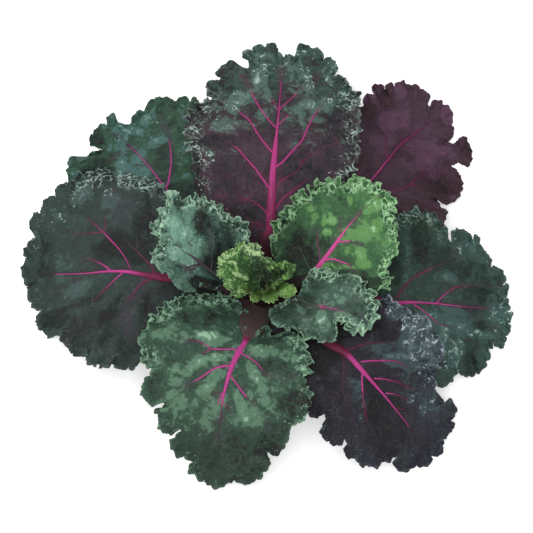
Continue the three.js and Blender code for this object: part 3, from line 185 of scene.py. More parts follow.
            [-109.7,12.7,1.18,1.0,0.0],[-125.1,13.2,0.81,1.0,0.0],[-141.4,16.4,0.66,0.95,0.0],
            [-152.2,18.7,0.73,0.9,0.1],[-154.7,19.2,0.37,0.6,0.6],[-169.2,21.9,0.22,0.3,1.0]],
        veins=[{"line":[[-75.2,6.0],[-79.6,14.1],[-85.5,20.9],[-90.7,26.4]],"w":[0.81,0.51],"b":[0.35,0.3]},
            {"line":[[-90.7,26.4],[-95.2,31.2],[-101.3,36.4]],"w":[0.37,0.22],"b":[0.3,0.05]},
            {"line":[[-90.7,26.4],[-90.1,31.6],[-90.9,38.5]],"w":[0.37,0.22],"b":[0.3,0.05]},
            {"line":[[-94.1,10.9],[-97.2,18.6],[-102.5,27.3],[-108.8,35.0],
            [-116.0,43.2]],"w":[0.44,0.51],"b":[0.6,0.95]},{"line":[[-116.0,43.2],[-120.8,48.9],
            [-128.3,57.0]],"w":[0.44,0.29],"b":[0.7,0.3]},{"line":[[-116.0,43.2],[-113.9,49.2],
            [-115.8,57.7]],"w":[0.37,0.22],"b":[0.6,0.2]},{"line":[[-116.0,43.2],[-126.2,44.4],[-136.6,45.9],
            [-144.1,51.5]],"w":[0.44,0.22],"b":[0.6,0.12]},{"line":[[-116.0,43.2],[-112.8,41.9],
            [-109.7,40.6]],"w":[0.37,0.22],"b":[0.5,0.2]},{"line":[[-109.7,13.1],[-114.4,17.4],[-119.0,20.4],
            [-127.0,25.0],[-131.8,25.3]],"w":[0.66,0.29],"b":[1,0.15]},{"line":[[-100.0,10.6],[-105.1,6.6],
            [-111.0,1.3],[-117.0,-3.8],[-120.8,-6.9],[-123.9,-6.3]],"w":[0.59,0.29],"b":[0.95,0.3]},
            {"line":[[-78.8,5.2],[-85.2,2.4],[-89.5,-1.8],[-92.4,-6.8],
            [-96.7,-11.6]],"w":[1.03,0.37],"b":[0.35,0.35]},{"line":[[-68.8,2.5],[-74.4,-0.6],[-77.9,-5.0],
            [-79.3,-9.4]],"w":[0.44,0.22],"b":[0.2,0.05]},{"line":[[-128.3,13.8],[-137.9,9.3],[-149.5,6.1],
            [-161.1,4.7]],"w":[0.22,0.15],"b":[0.08,0.0]},{"line":[[-96.7,-11.6],[-103.2,-22.7],
            [-109.1,-32.1],[-113.7,-41.4]],"w":[0.29,0.15],"b":[0.12,0.0]},{"line":[[-79.3,-9.4],
            [-81.4,-19.5],[-87.0,-32.2]],"w":[0.29,0.15],"b":[0.1,0.0]}],
        roll=[[-144.6,84.4,5.1,0.5],[-139.4,90.3,7.6,1.0],[-128.6,93.0,7.6,1.0],[-115.2,93.2,7.6,1.0],
            [-105.6,86.2,6.8,1.0],[-94.7,82.6,7.6,1.0],[-83.2,79.3,6.8,0.9],[-74.1,73.3,6.8,0.9],
            [-171.7,46.7,5.1,0.45],[-157.6,77.7,4.2,0.3]],
        areas=[[-80.0,-12.3,7.3,8.8,-0.0,-0.7],[-137.0,3.1,14.7,6.6,15.0,0.38],[-149.6,10.6,10.3,5.9,10.0,0.25],
            [-134.0,76.3,8.8,6.6,-0.0,0.8],[-111.6,68.5,7.3,8.8,-0.0,0.55],[-101.9,54.6,11.8,10.3,-0.0,0.45],
            [-90.9,-10.5,5.9,13.2,-25.0,0.35],[-107.8,-9.3,5.9,8.8,-30.0,0.3],[-150.0,32.6,11.8,7.3,-0.0,0.3],
            [-95.8,-28.2,10.3,10.3,-0.0,0.3],[-98.9,30.8,19.1,10.3,-25.0,-1.0],
            [-84.5,44.9,8.8,16.2,-0.0,-0.9],[-111.6,28.5,13.2,7.3,-0.0,-0.7],
            [-107.8,-15.1,3.7,11.8,-35.0,-0.9],[-124.5,-28.5,22.1,14.7,-0.0,-0.7],
            [-153.4,-15.2,13.2,7.3,-0.0,-0.8],[-94.3,-42.5,8.8,8.8,-0.0,-0.6],
            [-151.0,66.1,16.2,8.8,-0.0,0.15],[-83.5,-25.2,5.1,13.2,-0.0,-0.8],[-128.7,-7.6,14.7,2.9,8.0,-0.6],
            [-164.5,29.6,8.8,11.8,-0.0,-0.3],[-65.9,-3.3,8.8,10.3,-0.0,-0.8]],
    ),
    "leaf_right": dict(
        seed=4.7, scale=1.0, lift=8, profile=ARCH,
        tilt=None, droop=[(115, 172, 14, -8, 22)],
        outline=[[26.3,4.6,0],[42.0,4.1,2],[59.7,6.6,2],[74.0,11.8,2],[83.4,17.1,3],[86.4,26.1,2],[90.9,33.9,3],
            [91.1,41.6,2],[94.2,48.1,5],[97.4,53.2,4],[100.4,53.6,4],[102.5,49.1,5],[104.9,54.2,4],
            [108.8,57.3,4],[112.7,57.9,4],[116.5,56.1,5],[121.1,56.1,4],[125.8,56.2,4],[129.6,53.7,4],
            [131.8,48.5,5],[135.0,49.1,0],[136.4,46.2,0],[135.5,42.1,0],[139.4,40.5,1],[143.5,43.7,0],
            [140.4,47.0,0],[143.0,49.9,0],[147.8,50.9,0],[151.7,50.0,0],[154.8,47.3,0],[156.4,45.2,1],
            [158.8,47.1,0],[161.9,44.4,0],[163.4,40.7,0],[163.3,35.4,1],[167.2,36.6,0],[169.5,33.8,0],
            [171.0,30.1,0],[171.0,27.2,1],[174.8,25.2,0],[179.4,22.5,0],[181.7,18.1,0],[180.9,13.6,1],
            [183.1,12.1,0],[183.8,8.3,0],[181.4,3.8,0],[179.9,0.7,1],[182.9,1.5,0],[184.3,-3.0,0],
            [184.2,-8.3,1],[186.4,-9.8,0],[185.5,-13.6,0],[183.2,-17.4,1],[184.7,-18.9,0],[183.8,-22.7,0],
            [180.0,-26.5,1],[180.7,-28.8,0],[179.8,-33.3,0],[176.8,-36.3,0],[174.6,-34.1,0],[172.4,-31.8,0],
            [170.8,-35.6,1],[167.0,-37.2,0],[169.2,-40.1,0],[168.4,-43.2,0],[165.3,-45.5,1],[166.0,-48.5,0],
            [162.8,-52.4,0],[157.3,-55.9,1],[153.3,-58.4,0],[149.4,-58.9,0],[146.2,-57.8,0],[147.8,-54.0,1],
            [143.8,-53.8,0],[141.4,-59.9,0],[137.4,-63.3,0],[133.5,-68.1,1],[126.4,-67.6,0],[120.2,-65.6,3],
            [114.0,-63.5,2],[106.4,-58.8,3],[100.3,-53.9,2],[94.4,-47.4,3],[90.1,-40.6,2],[84.3,-33.8,3],
            [71.4,-29.7,2],[54.5,-20.3,2],[37.6,-11.7,2],[26.2,-5.0,0]],
        rib=[[13.6,-0.0],[27.7,-0.0],[56.0,-7.8],[93.2,-11.8],[106.4,-10.8],[125.5,-9.1],[145.6,-7.2],
            [166.0,-5.1],[179.0,-6.1]],
        midrib=[[1.5,4.5,5.14,0.0,0.0],[27.7,-0.0,4.78,0.0,0.0],[56.0,-7.8,4.04,0.3,0.0],
            [84.5,-11.5,3.09,0.6,0.0],[93.9,-11.8,1.91,0.9,0.0],[106.4,-10.8,1.62,0.95,0.0],
            [112.4,-11.3,1.03,0.95,0.0],[125.5,-9.1,1.03,0.95,0.0],[145.6,-7.6,0.73,0.9,0.0],
            [158.8,-6.1,0.51,0.85,0.15],[166.0,-5.9,0.44,0.8,0.4],[179.0,-6.1,0.22,0.5,1.0]],
        veins=[{"line":[[96.1,-9.5],[98.4,-6.4],[101.4,-1.1],[108.2,6.2],[117.4,12.6],
            [125.2,17.6]],"w":[0.51,0.37],"b":[0.35,0.7]},{"line":[[125.2,17.6],[136.5,25.2],
            [144.0,33.7]],"w":[0.33,0.22],"b":[0.4,0.08]},{"line":[[126.3,-8.9],[132.7,-1.8],[139.2,4.0],
            [145.8,7.6],[162.2,11.0]],"w":[0.59,0.29],"b":[0.95,0.25]},{"line":[[162.2,11.0],[171.6,12.4],
            [177.8,12.7]],"w":[0.22,0.15],"b":[0.12,0.0]},{"line":[[109.4,-12.0],[117.7,-16.8],[123.8,-20.9],
            [128.5,-23.7]],"w":[0.66,0.44],"b":[0.95,0.75]},{"line":[[128.5,-23.7],[134.9,-23.9],
            [139.0,-24.5]],"w":[0.37,0.29],"b":[0.5,0.25]},{"line":[[139.0,-24.5],[150.4,-27.4],
            [158.5,-33.4]],"w":[0.22,0.15],"b":[0.12,0.0]},{"line":[[145.6,-7.9],[155.5,-11.8],[165.1,-15.6],
            [174.2,-19.7]],"w":[0.22,0.15],"b":[0.15,0.0]},{"line":[[99.0,-12.9],[107.8,-23.7],[116.8,-35.4],
            [127.8,-46.4]],"w":[0.29,0.15],"b":[0.12,0.0]}],
        roll=[[97.2,48.4,6.8,1.0],[102.6,53.1,5.9,1.0],[108.8,57.3,6.8,1.0],[116.5,56.1,6.8,1.0],
            [125.8,55.4,6.8,1.0],[131.8,49.3,5.9,0.8],[142.1,47.4,5.9,0.4],[158.7,45.5,4.2,0.3],
            [180.9,13.6,5.1,0.4],[184.2,-7.6,5.1,0.4],[183.9,-19.7,5.1,0.4],[172.4,-33.3,5.1,0.5]],
        areas=[[129.8,10.9,6.6,3.7,-0.0,0.8],[137.8,11.9,5.9,3.7,-0.0,0.8],[149.7,-16.6,29.4,7.3,-5.0,0.52],
            [176.1,1.4,8.8,6.6,-0.0,0.3],[113.9,-17.3,10.3,7.3,-25.0,0.2],[121.5,-32.6,13.2,16.2,-0.0,1.0],
            [133.3,-44.8,10.3,13.2,-0.0,0.6],[103.5,31.3,5.9,14.7,-5.0,0.35],[167.3,-25.9,5.9,2.9,-0.0,1.0],
            [177.3,-12.1,7.3,8.8,-0.0,0.5],[145.5,-24.7,14.7,5.9,-0.0,0.5],[134.0,20.9,22.1,14.7,-0.0,-0.45],
            [115.0,36.7,6.6,19.1,-0.0,-0.85],[162.3,22.6,16.2,16.2,-0.0,-0.3],[151.9,-48.3,6.6,8.8,-0.0,-0.6],
            [144.6,-38.6,5.1,5.9,-0.0,0.7],[167.4,-18.4,11.8,3.7,-0.0,-0.9],[95.9,23.0,5.9,22.1,-0.0,-0.5],
            [162.1,3.3,17.6,5.9,-0.0,-0.5],[156.1,35.2,14.7,8.8,-0.0,0.4],[95.6,8.1,5.9,10.3,-0.0,-0.6]],
    ),
    "leaf_lower_right": dict(
        seed=6.4, scale=1.0, lift=16, profile=ARCH,
        tilt=None, droop=[(115, 178, 26, -46, 21)],
        outline=[[20.4,-10.2,0],[28.9,-11.9,2],[40.2,-16.7,2],[54.2,-21.1,2],[68.3,-21.7,3],[78.3,-18.2,2],
            [84.0,-13.7,5],[88.4,-10.7,4],[92.7,-12.7,4],[97.0,-16.0,5],[101.4,-17.1,4],[106.5,-20.3,4],
            [111.7,-22.6,5],[117.7,-24.7,4],[121.5,-29.2,4],[126.1,-35.0,5],[130.7,-40.0,4],[131.5,-44.7,5],
            [130.9,-51.7,4],[125.6,-57.8,5],[123.4,-63.4,4],[125.9,-67.1,4],[125.3,-70.5,1],[127.0,-73.6,0],
            [130.1,-74.5,0],[132.6,-77.6,0],[131.2,-81.0,1],[135.0,-78.7,0],[137.3,-76.4,0],[140.5,-78.9,0],
            [142.2,-83.5,0],[141.6,-86.9,0],[140.2,-90.4,1],[140.4,-95.1,0],[138.2,-99.3,0],[135.3,-101.5,0],
            [133.8,-103.6,1],[133.1,-110.1,0],[132.3,-113.0,0],[129.3,-115.2,0],[126.4,-116.0,1],
            [123.4,-121.1,0],[119.7,-123.3,0],[116.0,-123.4,0],[113.8,-121.2,1],[111.5,-123.4,0],
            [107.8,-126.4,0],[104.0,-127.3,0],[99.4,-126.3,0],[96.2,-123.2,0],[99.1,-119.6,1],[97.5,-117.8,0],
            [93.8,-120.8,0],[90.7,-121.7,0],[88.4,-120.7,1],[87.7,-123.3,0],[84.0,-125.7,0],[79.5,-126.7,0],
            [75.0,-125.8,0],[70.5,-125.5,0],[68.2,-123.0,0],[71.1,-120.8,1],[67.4,-121.8,0],[63.8,-122.0,0],
            [60.8,-120.3,0],[58.5,-117.8,0],[59.2,-115.8,0],[62.8,-114.3,1],[59.1,-110.6,0],[56.3,-113.4,0],
            [52.7,-114.2,0],[49.1,-113.7,0],[46.2,-111.8,0],[42.6,-108.0,1],[41.1,-104.7,0],[43.9,-102.6,0],
            [43.2,-100.0,0],[46.0,-97.9,1],[44.6,-93.9,0],[41.8,-94.6,0],[38.9,-96.1,0],[35.4,-95.5,0],
            [31.8,-92.8,3],[28.3,-88.1,2],[28.3,-82.6,3],[25.5,-75.6,2],[24.1,-68.4,3],[22.0,-59.6,2],
            [17.1,-51.1,2],[10.1,-41.3,2],[4.4,-30.0,0],[4.4,-18.2,0],[9.5,-11.3,0]],
        rib=[[10.1,-8.0],[20.3,-16.0],[44.8,-40.8],[58.8,-49.9],[70.9,-62.3],[87.6,-79.2],[105.6,-96.2],
            [115.5,-106.2]],
        midrib=[[-0.0,2.4,8.82,0.0,0.0],[16.0,-11.8,8.82,0.0,0.0],[26.0,-22.7,6.25,0.0,0.0],
            [35.8,-32.5,4.78,0.1,0.0],[44.8,-41.5,3.82,0.3,0.0],[52.5,-45.5,3.38,0.35,0.0],
            [59.5,-50.6,3.09,0.5,0.0],[63.8,-54.1,2.06,0.85,0.0],[68.0,-58.3,2.35,1.0,0.0],
            [70.9,-61.3,2.21,1.0,0.0],[76.6,-66.3,1.62,1.0,0.0],[83.9,-73.4,1.25,1.0,0.0],
            [91.3,-81.5,0.96,1.0,0.0],[99.1,-89.2,0.73,1.0,0.0],[105.6,-96.2,0.59,0.95,0.1],
            [108.1,-99.1,0.37,0.6,0.8],[115.5,-106.2,0.22,0.4,1.0]],
        veins=[{"line":[[58.8,-48.4],[63.8,-47.0],[70.9,-44.8],[76.6,-43.2],
            [88.9,-42.7]],"w":[0.59,0.44],"b":[0.35,0.3]},{"line":[[88.9,-42.7],[96.9,-43.6],
            [104.2,-42.3]],"w":[0.37,0.22],"b":[0.15,0.05]},{"line":[[70.1,-56.4],[78.0,-55.5],[91.0,-55.1],
            [98.3,-56.0],[105.0,-58.8]],"w":[0.66,0.37],"b":[1,0.5]},{"line":[[105.0,-58.8],[111.8,-60.1],
            [119.5,-61.2]],"w":[0.26,0.15],"b":[0.2,0.0]},{"line":[[79.5,-67.5],[88.2,-67.7],[96.3,-69.1],
            [102.3,-71.2],[108.3,-71.9]],"w":[0.59,0.29],"b":[0.9,0.3]},{"line":[[88.3,-77.1],[94.9,-77.2],
            [102.5,-79.1],[106.3,-80.0]],"w":[0.51,0.26],"b":[0.9,0.3]},{"line":[[96.7,-86.2],[102.8,-86.2],
            [108.9,-86.1]],"w":[0.37,0.22],"b":[0.5,0.1]},{"line":[[71.6,-62.3],[70.9,-69.3],
            [71.6,-78.8]],"w":[0.73,0.59],"b":[1,0.9]},{"line":[[71.6,-78.8],[72.4,-86.2],[73.9,-92.7],
            [75.5,-97.2]],"w":[0.44,0.37],"b":[0.6,0.4]},{"line":[[75.5,-97.2],[80.1,-103.3],
            [84.9,-110.6]],"w":[0.26,0.15],"b":[0.2,0.0]},{"line":[[58.1,-53.4],[58.0,-62.7],[57.3,-75.2],
            [59.5,-83.3],[62.4,-93.3],[64.7,-103.1],[66.4,-112.1]],"w":[0.51,0.22],"b":[0.3,0.05]},
            {"line":[[57.3,-75.2],[53.8,-76.7],[50.9,-80.8]],"w":[0.29,0.18],"b":[0.25,0.05]},
            {"line":[[103.1,-93.3],[108.9,-100.3],[118.5,-104.6]],"w":[0.22,0.15],"b":[0.15,0.0]}],
        roll=[[74.0,-19.6,5.1,0.5],[84.0,-13.7,5.9,0.7],[92.7,-12.7,5.9,0.8],[101.4,-17.1,5.9,0.6],
            [108.7,-21.5,5.9,0.6],[116.2,-24.2,5.9,0.6],[124.5,-32.4,5.9,0.6],[130.8,-43.4,5.9,0.6],
            [130.1,-53.1,5.1,0.6],[125.1,-65.9,5.1,0.6],[131.2,-79.7,3.4,0.3]],
        areas=[[111.7,-38.8,13.2,13.2,-0.0,0.65],[122.3,-45.9,8.8,11.8,-0.0,0.5],
            [102.0,-55.0,14.7,5.1,-5.0,0.7],[98.3,-47.0,19.1,5.9,-0.0,0.45],[119.2,-25.3,7.3,7.3,-0.0,0.6],
            [105.7,-28.9,5.9,10.3,-0.0,0.45],[94.8,-20.4,6.6,5.9,-0.0,0.7],[117.4,-68.8,19.1,14.7,-0.0,0.35],
            [69.5,-82.9,5.9,14.7,10.0,0.3],[73.9,-92.1,4.4,11.8,-0.0,0.4],[48.1,-83.6,11.8,17.6,-0.0,-0.2],
            [39.8,-49.5,17.6,14.7,-0.0,-1.4],[62.6,-30.4,19.1,8.8,-0.0,-1.1],[27.1,-47.6,8.8,17.6,-0.0,-1.5],
            [48.1,-64.2,5.9,5.9,-0.0,0.2],[88.1,-98.1,16.2,20.6,-0.0,-0.75],[55.4,-103.6,10.3,8.8,-0.0,-0.3],
            [87.5,-33.6,11.8,7.3,-0.0,-0.3],[78.1,-79.1,5.9,14.7,-0.0,-0.6],[130.4,-93.7,10.3,14.7,-0.0,0.1]],
    ),
    "leaf_lower": dict(
        seed=7.7, scale=1.0, lift=20, profile=ARCH,
        tilt=(-120, -60, 4.5), droop=[(88, 150, 31, -98, 25)],
        outline=[[-4.9,-40.2,0],[-1.4,-34.2,0],[-0.8,-30.0,0],[2.4,-27.6,0],[6.0,-29.2,0],[7.0,-33.6,0],
            [7.2,-37.2,0],[12.2,-38.4,5],[16.5,-36.2,4],[20.7,-35.0,2],[25.0,-37.1,4],[28.4,-42.2,5],
            [31.2,-47.1,4],[32.5,-53.1,4],[31.8,-56.7,5],[33.9,-59.7,4],[33.8,-65.4,4],[31.0,-69.6,5],
            [31.0,-74.6,4],[34.5,-80.1,4],[34.5,-86.3,4],[33.1,-90.3,5],[31.7,-93.6,0],[30.4,-98.2,0],
            [26.9,-100.8,0],[23.3,-101.4,0],[19.8,-100.8,1],[19.9,-104.6,0],[19.2,-109.1,0],[17.1,-113.4,1],
            [15.7,-116.5,0],[12.9,-119.0,0],[10.1,-120.1,0],[6.5,-118.2,0],[4.4,-116.9,1],[3.7,-120.0,0],
            [5.8,-124.4,0],[4.4,-129.3,0],[1.5,-132.4,1],[-1.4,-134.9,0],[-5.7,-136.6,0],[-10.8,-137.8,0],
            [-15.2,-138.3,0],[-18.1,-136.3,0],[-19.5,-133.7,1],[-21.7,-136.2,0],[-24.6,-137.5,0],
            [-29.0,-139.4,0],[-34.9,-139.9,0],[-39.2,-138.6,0],[-42.8,-135.3,1],[-45.6,-134.6,0],
            [-48.5,-132.7,0],[-52.1,-130.7,0],[-53.4,-126.8,0],[-51.9,-124.9,0],[-48.2,-123.1,1],
            [-51.8,-123.0,0],[-54.6,-121.1,0],[-55.3,-119.1,0],[-53.7,-116.7,1],[-57.4,-119.1,0],
            [-60.4,-119.7,0],[-63.9,-117.0,0],[-65.2,-112.5,0],[-65.8,-109.3,0],[-62.8,-107.5,0],
            [-58.3,-103.2,1],[-61.9,-101.8,0],[-64.9,-105.5,0],[-68.5,-105.4,0],[-72.8,-101.9,0],
            [-74.1,-98.0,0],[-74.7,-91.4,1],[-75.4,-90.1,0],[-72.5,-89.6,0],[-70.2,-86.4,1],[-68.7,-81.8,0],
            [-71.6,-83.7,0],[-74.6,-85.5,0],[-77.5,-86.6,0],[-81.8,-83.7,0],[-84.7,-79.5,0],[-86.1,-74.7,0],
            [-85.3,-70.0,0],[-83.1,-66.8,0],[-79.4,-66.3,1],[-78.7,-61.5,0],[-81.6,-60.0,0],[-83.8,-57.8,0],
            [-84.5,-52.9,5],[-85.2,-47.3,4],[-88.1,-41.5,4],[-86.7,-36.0,4],[-81.7,-31.9,5],[-80.3,-27.6,4],
            [-73.9,-21.9,5],[-68.3,-15.3,4],[-61.3,-12.1,5],[-54.3,-10.1,4],[-47.2,-9.6,5],[-40.9,-6.8,4],
            [-34.5,-7.6,5],[-28.8,-4.6,4],[-21.7,-6.5,1],[-16.7,-8.6,0],[-13.0,-13.8,1],[-9.4,-18.7,0],
            [-10.0,-25.8,1],[-12.1,-31.0,0],[-11.4,-36.1,0]],
        rib=[[-2.9,-12.1],[-5.7,-23.8],[-12.0,-41.0],[-15.5,-47.4],[-21.1,-59.8],[-25.2,-73.6],[-28.0,-86.2],
            [-30.3,-103.6],[-31.4,-119.1],[-33.2,-129.7]],
        midrib=[[0.0,-5.4,14.7,0.0,0.0],[-3.6,-20.0,11.76,0.0,0.0],[-7.1,-31.7,9.55,0.0,0.0],
            [-9.2,-36.9,4.04,0.02,0.0],[-11.7,-41.0,2.21,0.65,0.0],[-13.4,-42.6,2.06,0.95,0.0],
            [-15.5,-47.4,3.09,1.0,0.0],[-18.3,-52.9,2.5,1.0,0.0],[-22.5,-59.7,2.21,1.0,0.0],
            [-25.2,-70.0,1.62,1.0,0.0],[-27.3,-77.8,1.32,1.0,0.0],[-28.0,-84.1,0.96,1.0,0.05],
            [-28.7,-88.2,0.66,0.8,0.5],[-30.3,-100.5,0.51,0.6,0.65],[-31.4,-119.1,0.33,0.5,0.85],
            [-33.2,-129.7,0.22,0.3,1.0]],
        veins=[{"line":[[-17.0,-46.6],[-26.2,-46.7],[-36.1,-46.9]],"w":[0.66,0.59],"b":[1,1]},
            {"line":[[-36.1,-46.9],[-41.1,-43.1],[-46.8,-41.0],
            [-56.7,-40.6]],"w":[0.44,0.26],"b":[0.95,0.15]},{"line":[[-36.1,-46.9],[-39.6,-49.2],
            [-43.1,-50.8]],"w":[0.44,0.29],"b":[0.9,0.4]},{"line":[[-22.5,-59.0],[-31.0,-60.5],[-36.6,-63.4],
            [-43.7,-68.3],[-48.6,-71.0]],"w":[0.96,0.51],"b":[1,0.85]},{"line":[[-48.6,-71.0],[-55.0,-75.0],
            [-63.6,-78.7]],"w":[0.29,0.18],"b":[0.2,0.0]},{"line":[[-14.8,-49.8],[-8.4,-53.7],[-2.7,-58.5],
            [0.8,-63.8]],"w":[0.59,0.44],"b":[1,0.7]},{"line":[[0.8,-62.3],[5.8,-67.6],[13.5,-68.5],
            [21.2,-69.4]],"w":[0.29,0.18],"b":[0.25,0.05]},{"line":[[-21.7,-67.2],[-16.1,-75.2],
            [-10.4,-83.1]],"w":[0.59,0.51],"b":[1,0.9]},{"line":[[-10.4,-83.1],[-4.8,-88.7],[0.1,-96.1],
            [4.4,-103.2]],"w":[0.33,0.18],"b":[0.3,0.0]},{"line":[[-28.0,-78.5],[-29.4,-83.4],
            [-31.6,-87.4]],"w":[0.59,0.37],"b":[0.95,0.7]},{"line":[[-27.3,-85.5],[-25.2,-88.3],
            [-23.1,-90.4]],"w":[0.37,0.29],"b":[0.8,0.3]},{"line":[[-28.0,-78.5],[-33.7,-79.1],
            [-38.6,-82.5]],"w":[0.29,0.22],"b":[0.4,0.2]},{"line":[[-29.5,-90.8],[-33.1,-95.9],
            [-39.6,-102.0]],"w":[0.29,0.18],"b":[0.2,0.0]},{"line":[[-31.1,-107.3],[-34.9,-113.4],
            [-40.1,-119.5]],"w":[0.26,0.15],"b":[0.15,0.0]},{"line":[[-30.2,-97.3],[-24.0,-106.3],
            [-18.4,-116.3],[-15.7,-125.0]],"w":[0.26,0.15],"b":[0.15,0.0]}],
        roll=[[-75.3,-26.2,6.8,0.8],[-70.4,-17.5,7.6,1.0],[-62.0,-12.8,8.5,1.0],[-51.5,-9.9,7.6,1.0],
            [-40.9,-7.6,8.5,1.0],[-30.2,-5.6,8.5,1.0],[-21.0,-7.1,6.8,0.9],[-18.8,-11.5,5.1,0.6],
            [-80.2,-44.0,5.9,0.6],[-81.6,-53.1,6.8,0.9],[28.4,-43.8,5.9,1.0],[32.5,-55.3,6.8,1.0],
            [33.8,-64.7,5.9,0.9],[20.7,-35.8,5.9,0.5],[9.4,-37.3,5.1,0.3],[34.5,-82.2,5.9,0.6],
            [30.3,-93.6,5.9,0.7],[21.9,-100.8,4.2,0.5],[-72.3,-76.9,5.1,0.45],[-70.5,-98.2,3.4,0.4],
            [-53.8,-119.8,3.4,0.3]],
        areas=[[-34.8,-39.1,11.0,5.9,-15.0,1.0],[-39.8,-36.9,5.9,3.7,-0.0,0.6],[-45.2,-56.7,7.3,4.4,35.0,0.9],
            [-33.9,-53.7,6.6,2.9,-0.0,0.9],[-25.4,-50.6,3.7,2.2,-0.0,0.7],[-34.4,-68.5,8.1,5.1,40.0,0.8],
            [-40.8,-76.9,5.9,3.7,20.0,0.8],[-56.5,-62.3,8.8,4.4,-15.0,0.7],[-59.3,-70.7,6.6,2.9,-0.0,0.5],
            [-6.2,-64.4,3.7,9.6,15.0,1.0],[0.1,-74.8,4.4,6.6,-0.0,0.8],[-2.7,-83.2,5.9,2.9,-0.0,0.5],
            [-14.6,-87.2,3.7,12.5,20.0,0.9],[-4.1,-96.7,5.1,7.3,30.0,0.7],[5.8,-87.5,5.1,4.4,-0.0,0.6],
            [0.1,-47.6,10.3,4.4,-0.0,1.0],[19.9,-53.2,6.6,5.1,-0.0,0.6],[-62.2,-84.2,9.6,8.1,-0.0,0.9],
            [-37.3,-95.8,5.9,9.6,-10.0,0.6],[-68.1,-34.2,6.6,3.7,25.0,0.7],[-23.9,-100.1,7.3,8.8,-0.0,0.2],
            [-15.7,-122.6,29.4,19.1,-0.0,-0.8],[24.0,-86.3,11.0,9.6,-0.0,-1.1],
            [-58.5,-108.9,10.3,11.8,-0.0,-0.25],[9.3,-59.6,11.8,4.4,-0.0,-0.8],
            [-44.2,-23.6,16.2,5.1,-0.0,-0.6],[-72.2,-72.2,8.8,10.3,-0.0,-0.55],
            [14.9,-107.8,10.3,11.8,-0.0,-0.6],[-68.9,-92.4,5.9,7.3,-0.0,-0.5],[27.0,-45.2,5.9,6.6,-0.0,-0.3],
            [5.8,-40.5,8.8,2.9,-0.0,-0.5]],
    ),
    "leaf_top": dict(
        seed=5.9, scale=1.0, lift=11, profile=ARCH,
        tilt=None, droop=[(125, 180, -13, 88, 22)],
        outline=[[-2.2,19.2,0],[-8.7,25.5,0],[-14.5,34.6,2],[-18.8,46.1,1],[-27.4,52.5,0],[-34.6,56.4,5],
            [-41.8,57.7,4],[-46.1,65.0,5],[-49.1,71.2,4],[-47.7,78.9,5],[-50.8,85.5,4],[-49.5,93.7,5],
            [-54.1,101.1,4],[-52.8,110.0,5],[-57.6,117.8,4],[-54.9,126.9,5],[-55.1,134.4,4],[-49.2,139.5,5],
            [-44.1,145.5,4],[-38.1,146.8,0],[-31.3,143.6,0],[-27.6,146.1,1],[-35.1,145.7,0],[-40.5,150.7,0],
            [-42.1,157.9,0],[-39.9,163.7,0],[-33.2,167.4,1],[-34.0,171.6,0],[-30.2,175.6,0],[-25.7,177.8,0],
            [-20.4,177.5,0],[-18.1,174.9,0],[-18.9,171.6,1],[-14.4,173.9,0],[-9.9,176.2,0],[-9.9,180.4,1],
            [-13.6,181.4,0],[-14.4,184.8,0],[-12.2,188.0,0],[-7.6,188.7,1],[-5.4,191.1,0],[-1.6,192.7,0],
            [2.2,189.4,1],[4.4,192.6,0],[8.2,193.4,0],[12.0,190.2,0],[11.2,185.2,1],[14.2,182.8,0],
            [17.2,182.0,0],[20.2,184.6,0],[24.0,183.1,1],[26.3,180.7,0],[28.5,183.2,0],[27.8,187.3,0],
            [26.3,188.9,1],[27.8,191.4,0],[31.6,192.3,0],[36.1,190.9,0],[38.4,188.6,1],[41.4,189.6,0],
            [44.5,187.3,0],[45.9,183.3,0],[47.4,181.0,1],[51.2,182.0,0],[55.0,179.0,0],[56.5,174.2,0],
            [56.5,171.7,0],[51.9,168.1,1],[54.1,164.9,0],[59.4,166.1,0],[63.2,163.9,0],[66.9,158.4,1],
            [69.1,155.2,0],[72.9,153.0,0],[74.3,149.7,0],[71.2,145.1,5],[73.3,140.1,4],[73.1,132.7,4],
            [70.6,126.8,5],[72.6,119.6,4],[69.9,108.2,5],[71.9,101.2,4],[67.9,91.9,5],[65.4,83.2,4],
            [60.2,77.9,5],[55.0,69.8,2],[47.7,65.1,3],[41.9,57.7,2],[34.0,53.6,3],[27.5,47.0,2],[19.6,44.7,3],
            [16.0,35.8,2],[11.7,27.2,2],[7.3,18.9,0]],
        rib=[[2.2,13.2],[2.9,18.0],[4.4,30.1],[5.8,41.3],[6.6,55.7],[7.3,69.6],[8.0,84.5],[9.5,100.7],
            [11.0,118.5],[12.6,137.2],[13.4,150.7],[14.2,161.9],[14.9,175.3]],
        midrib=[[1.5,1.2,5.88,0.0,0.0],[2.9,18.0,8.08,0.0,0.0],[3.7,30.1,8.45,0.0,0.0],[4.4,36.3,7.35,0.02,0.0],
            [4.4,40.7,4.04,0.35,0.0],[4.4,43.9,3.09,0.55,0.0],[4.7,52.4,3.82,0.55,0.0],
            [5.8,62.6,3.53,0.6,0.0],[7.3,73.3,2.94,0.7,0.0],[8.4,86.1,2.57,0.85,0.0],[9.1,100.7,2.21,1.0,0.0],
            [10.3,113.9,1.4,0.95,0.0],[11.8,128.0,1.1,0.95,0.0],[12.9,139.1,0.88,0.95,0.0],
            [13.4,150.7,0.66,0.95,0.0],[14.2,161.9,0.59,0.95,0.1],[14.5,165.3,0.29,0.7,0.8],
            [14.9,175.3,0.22,0.4,1.0]],
        veins=[{"line":[[5.1,71.1],[2.9,74.7],[-1.4,80.7],[-5.0,86.1],[-12.3,94.9],[-17.4,101.7],
            [-21.9,105.3]],"w":[0.73,0.37],"b":[0.95,0.9]},{"line":[[-21.9,105.3],[-29.3,111.8],
            [-36.8,117.8]],"w":[0.26,0.15],"b":[0.25,0.0]},{"line":[[8.0,99.0],[4.4,103.2],[-2.9,114.7],
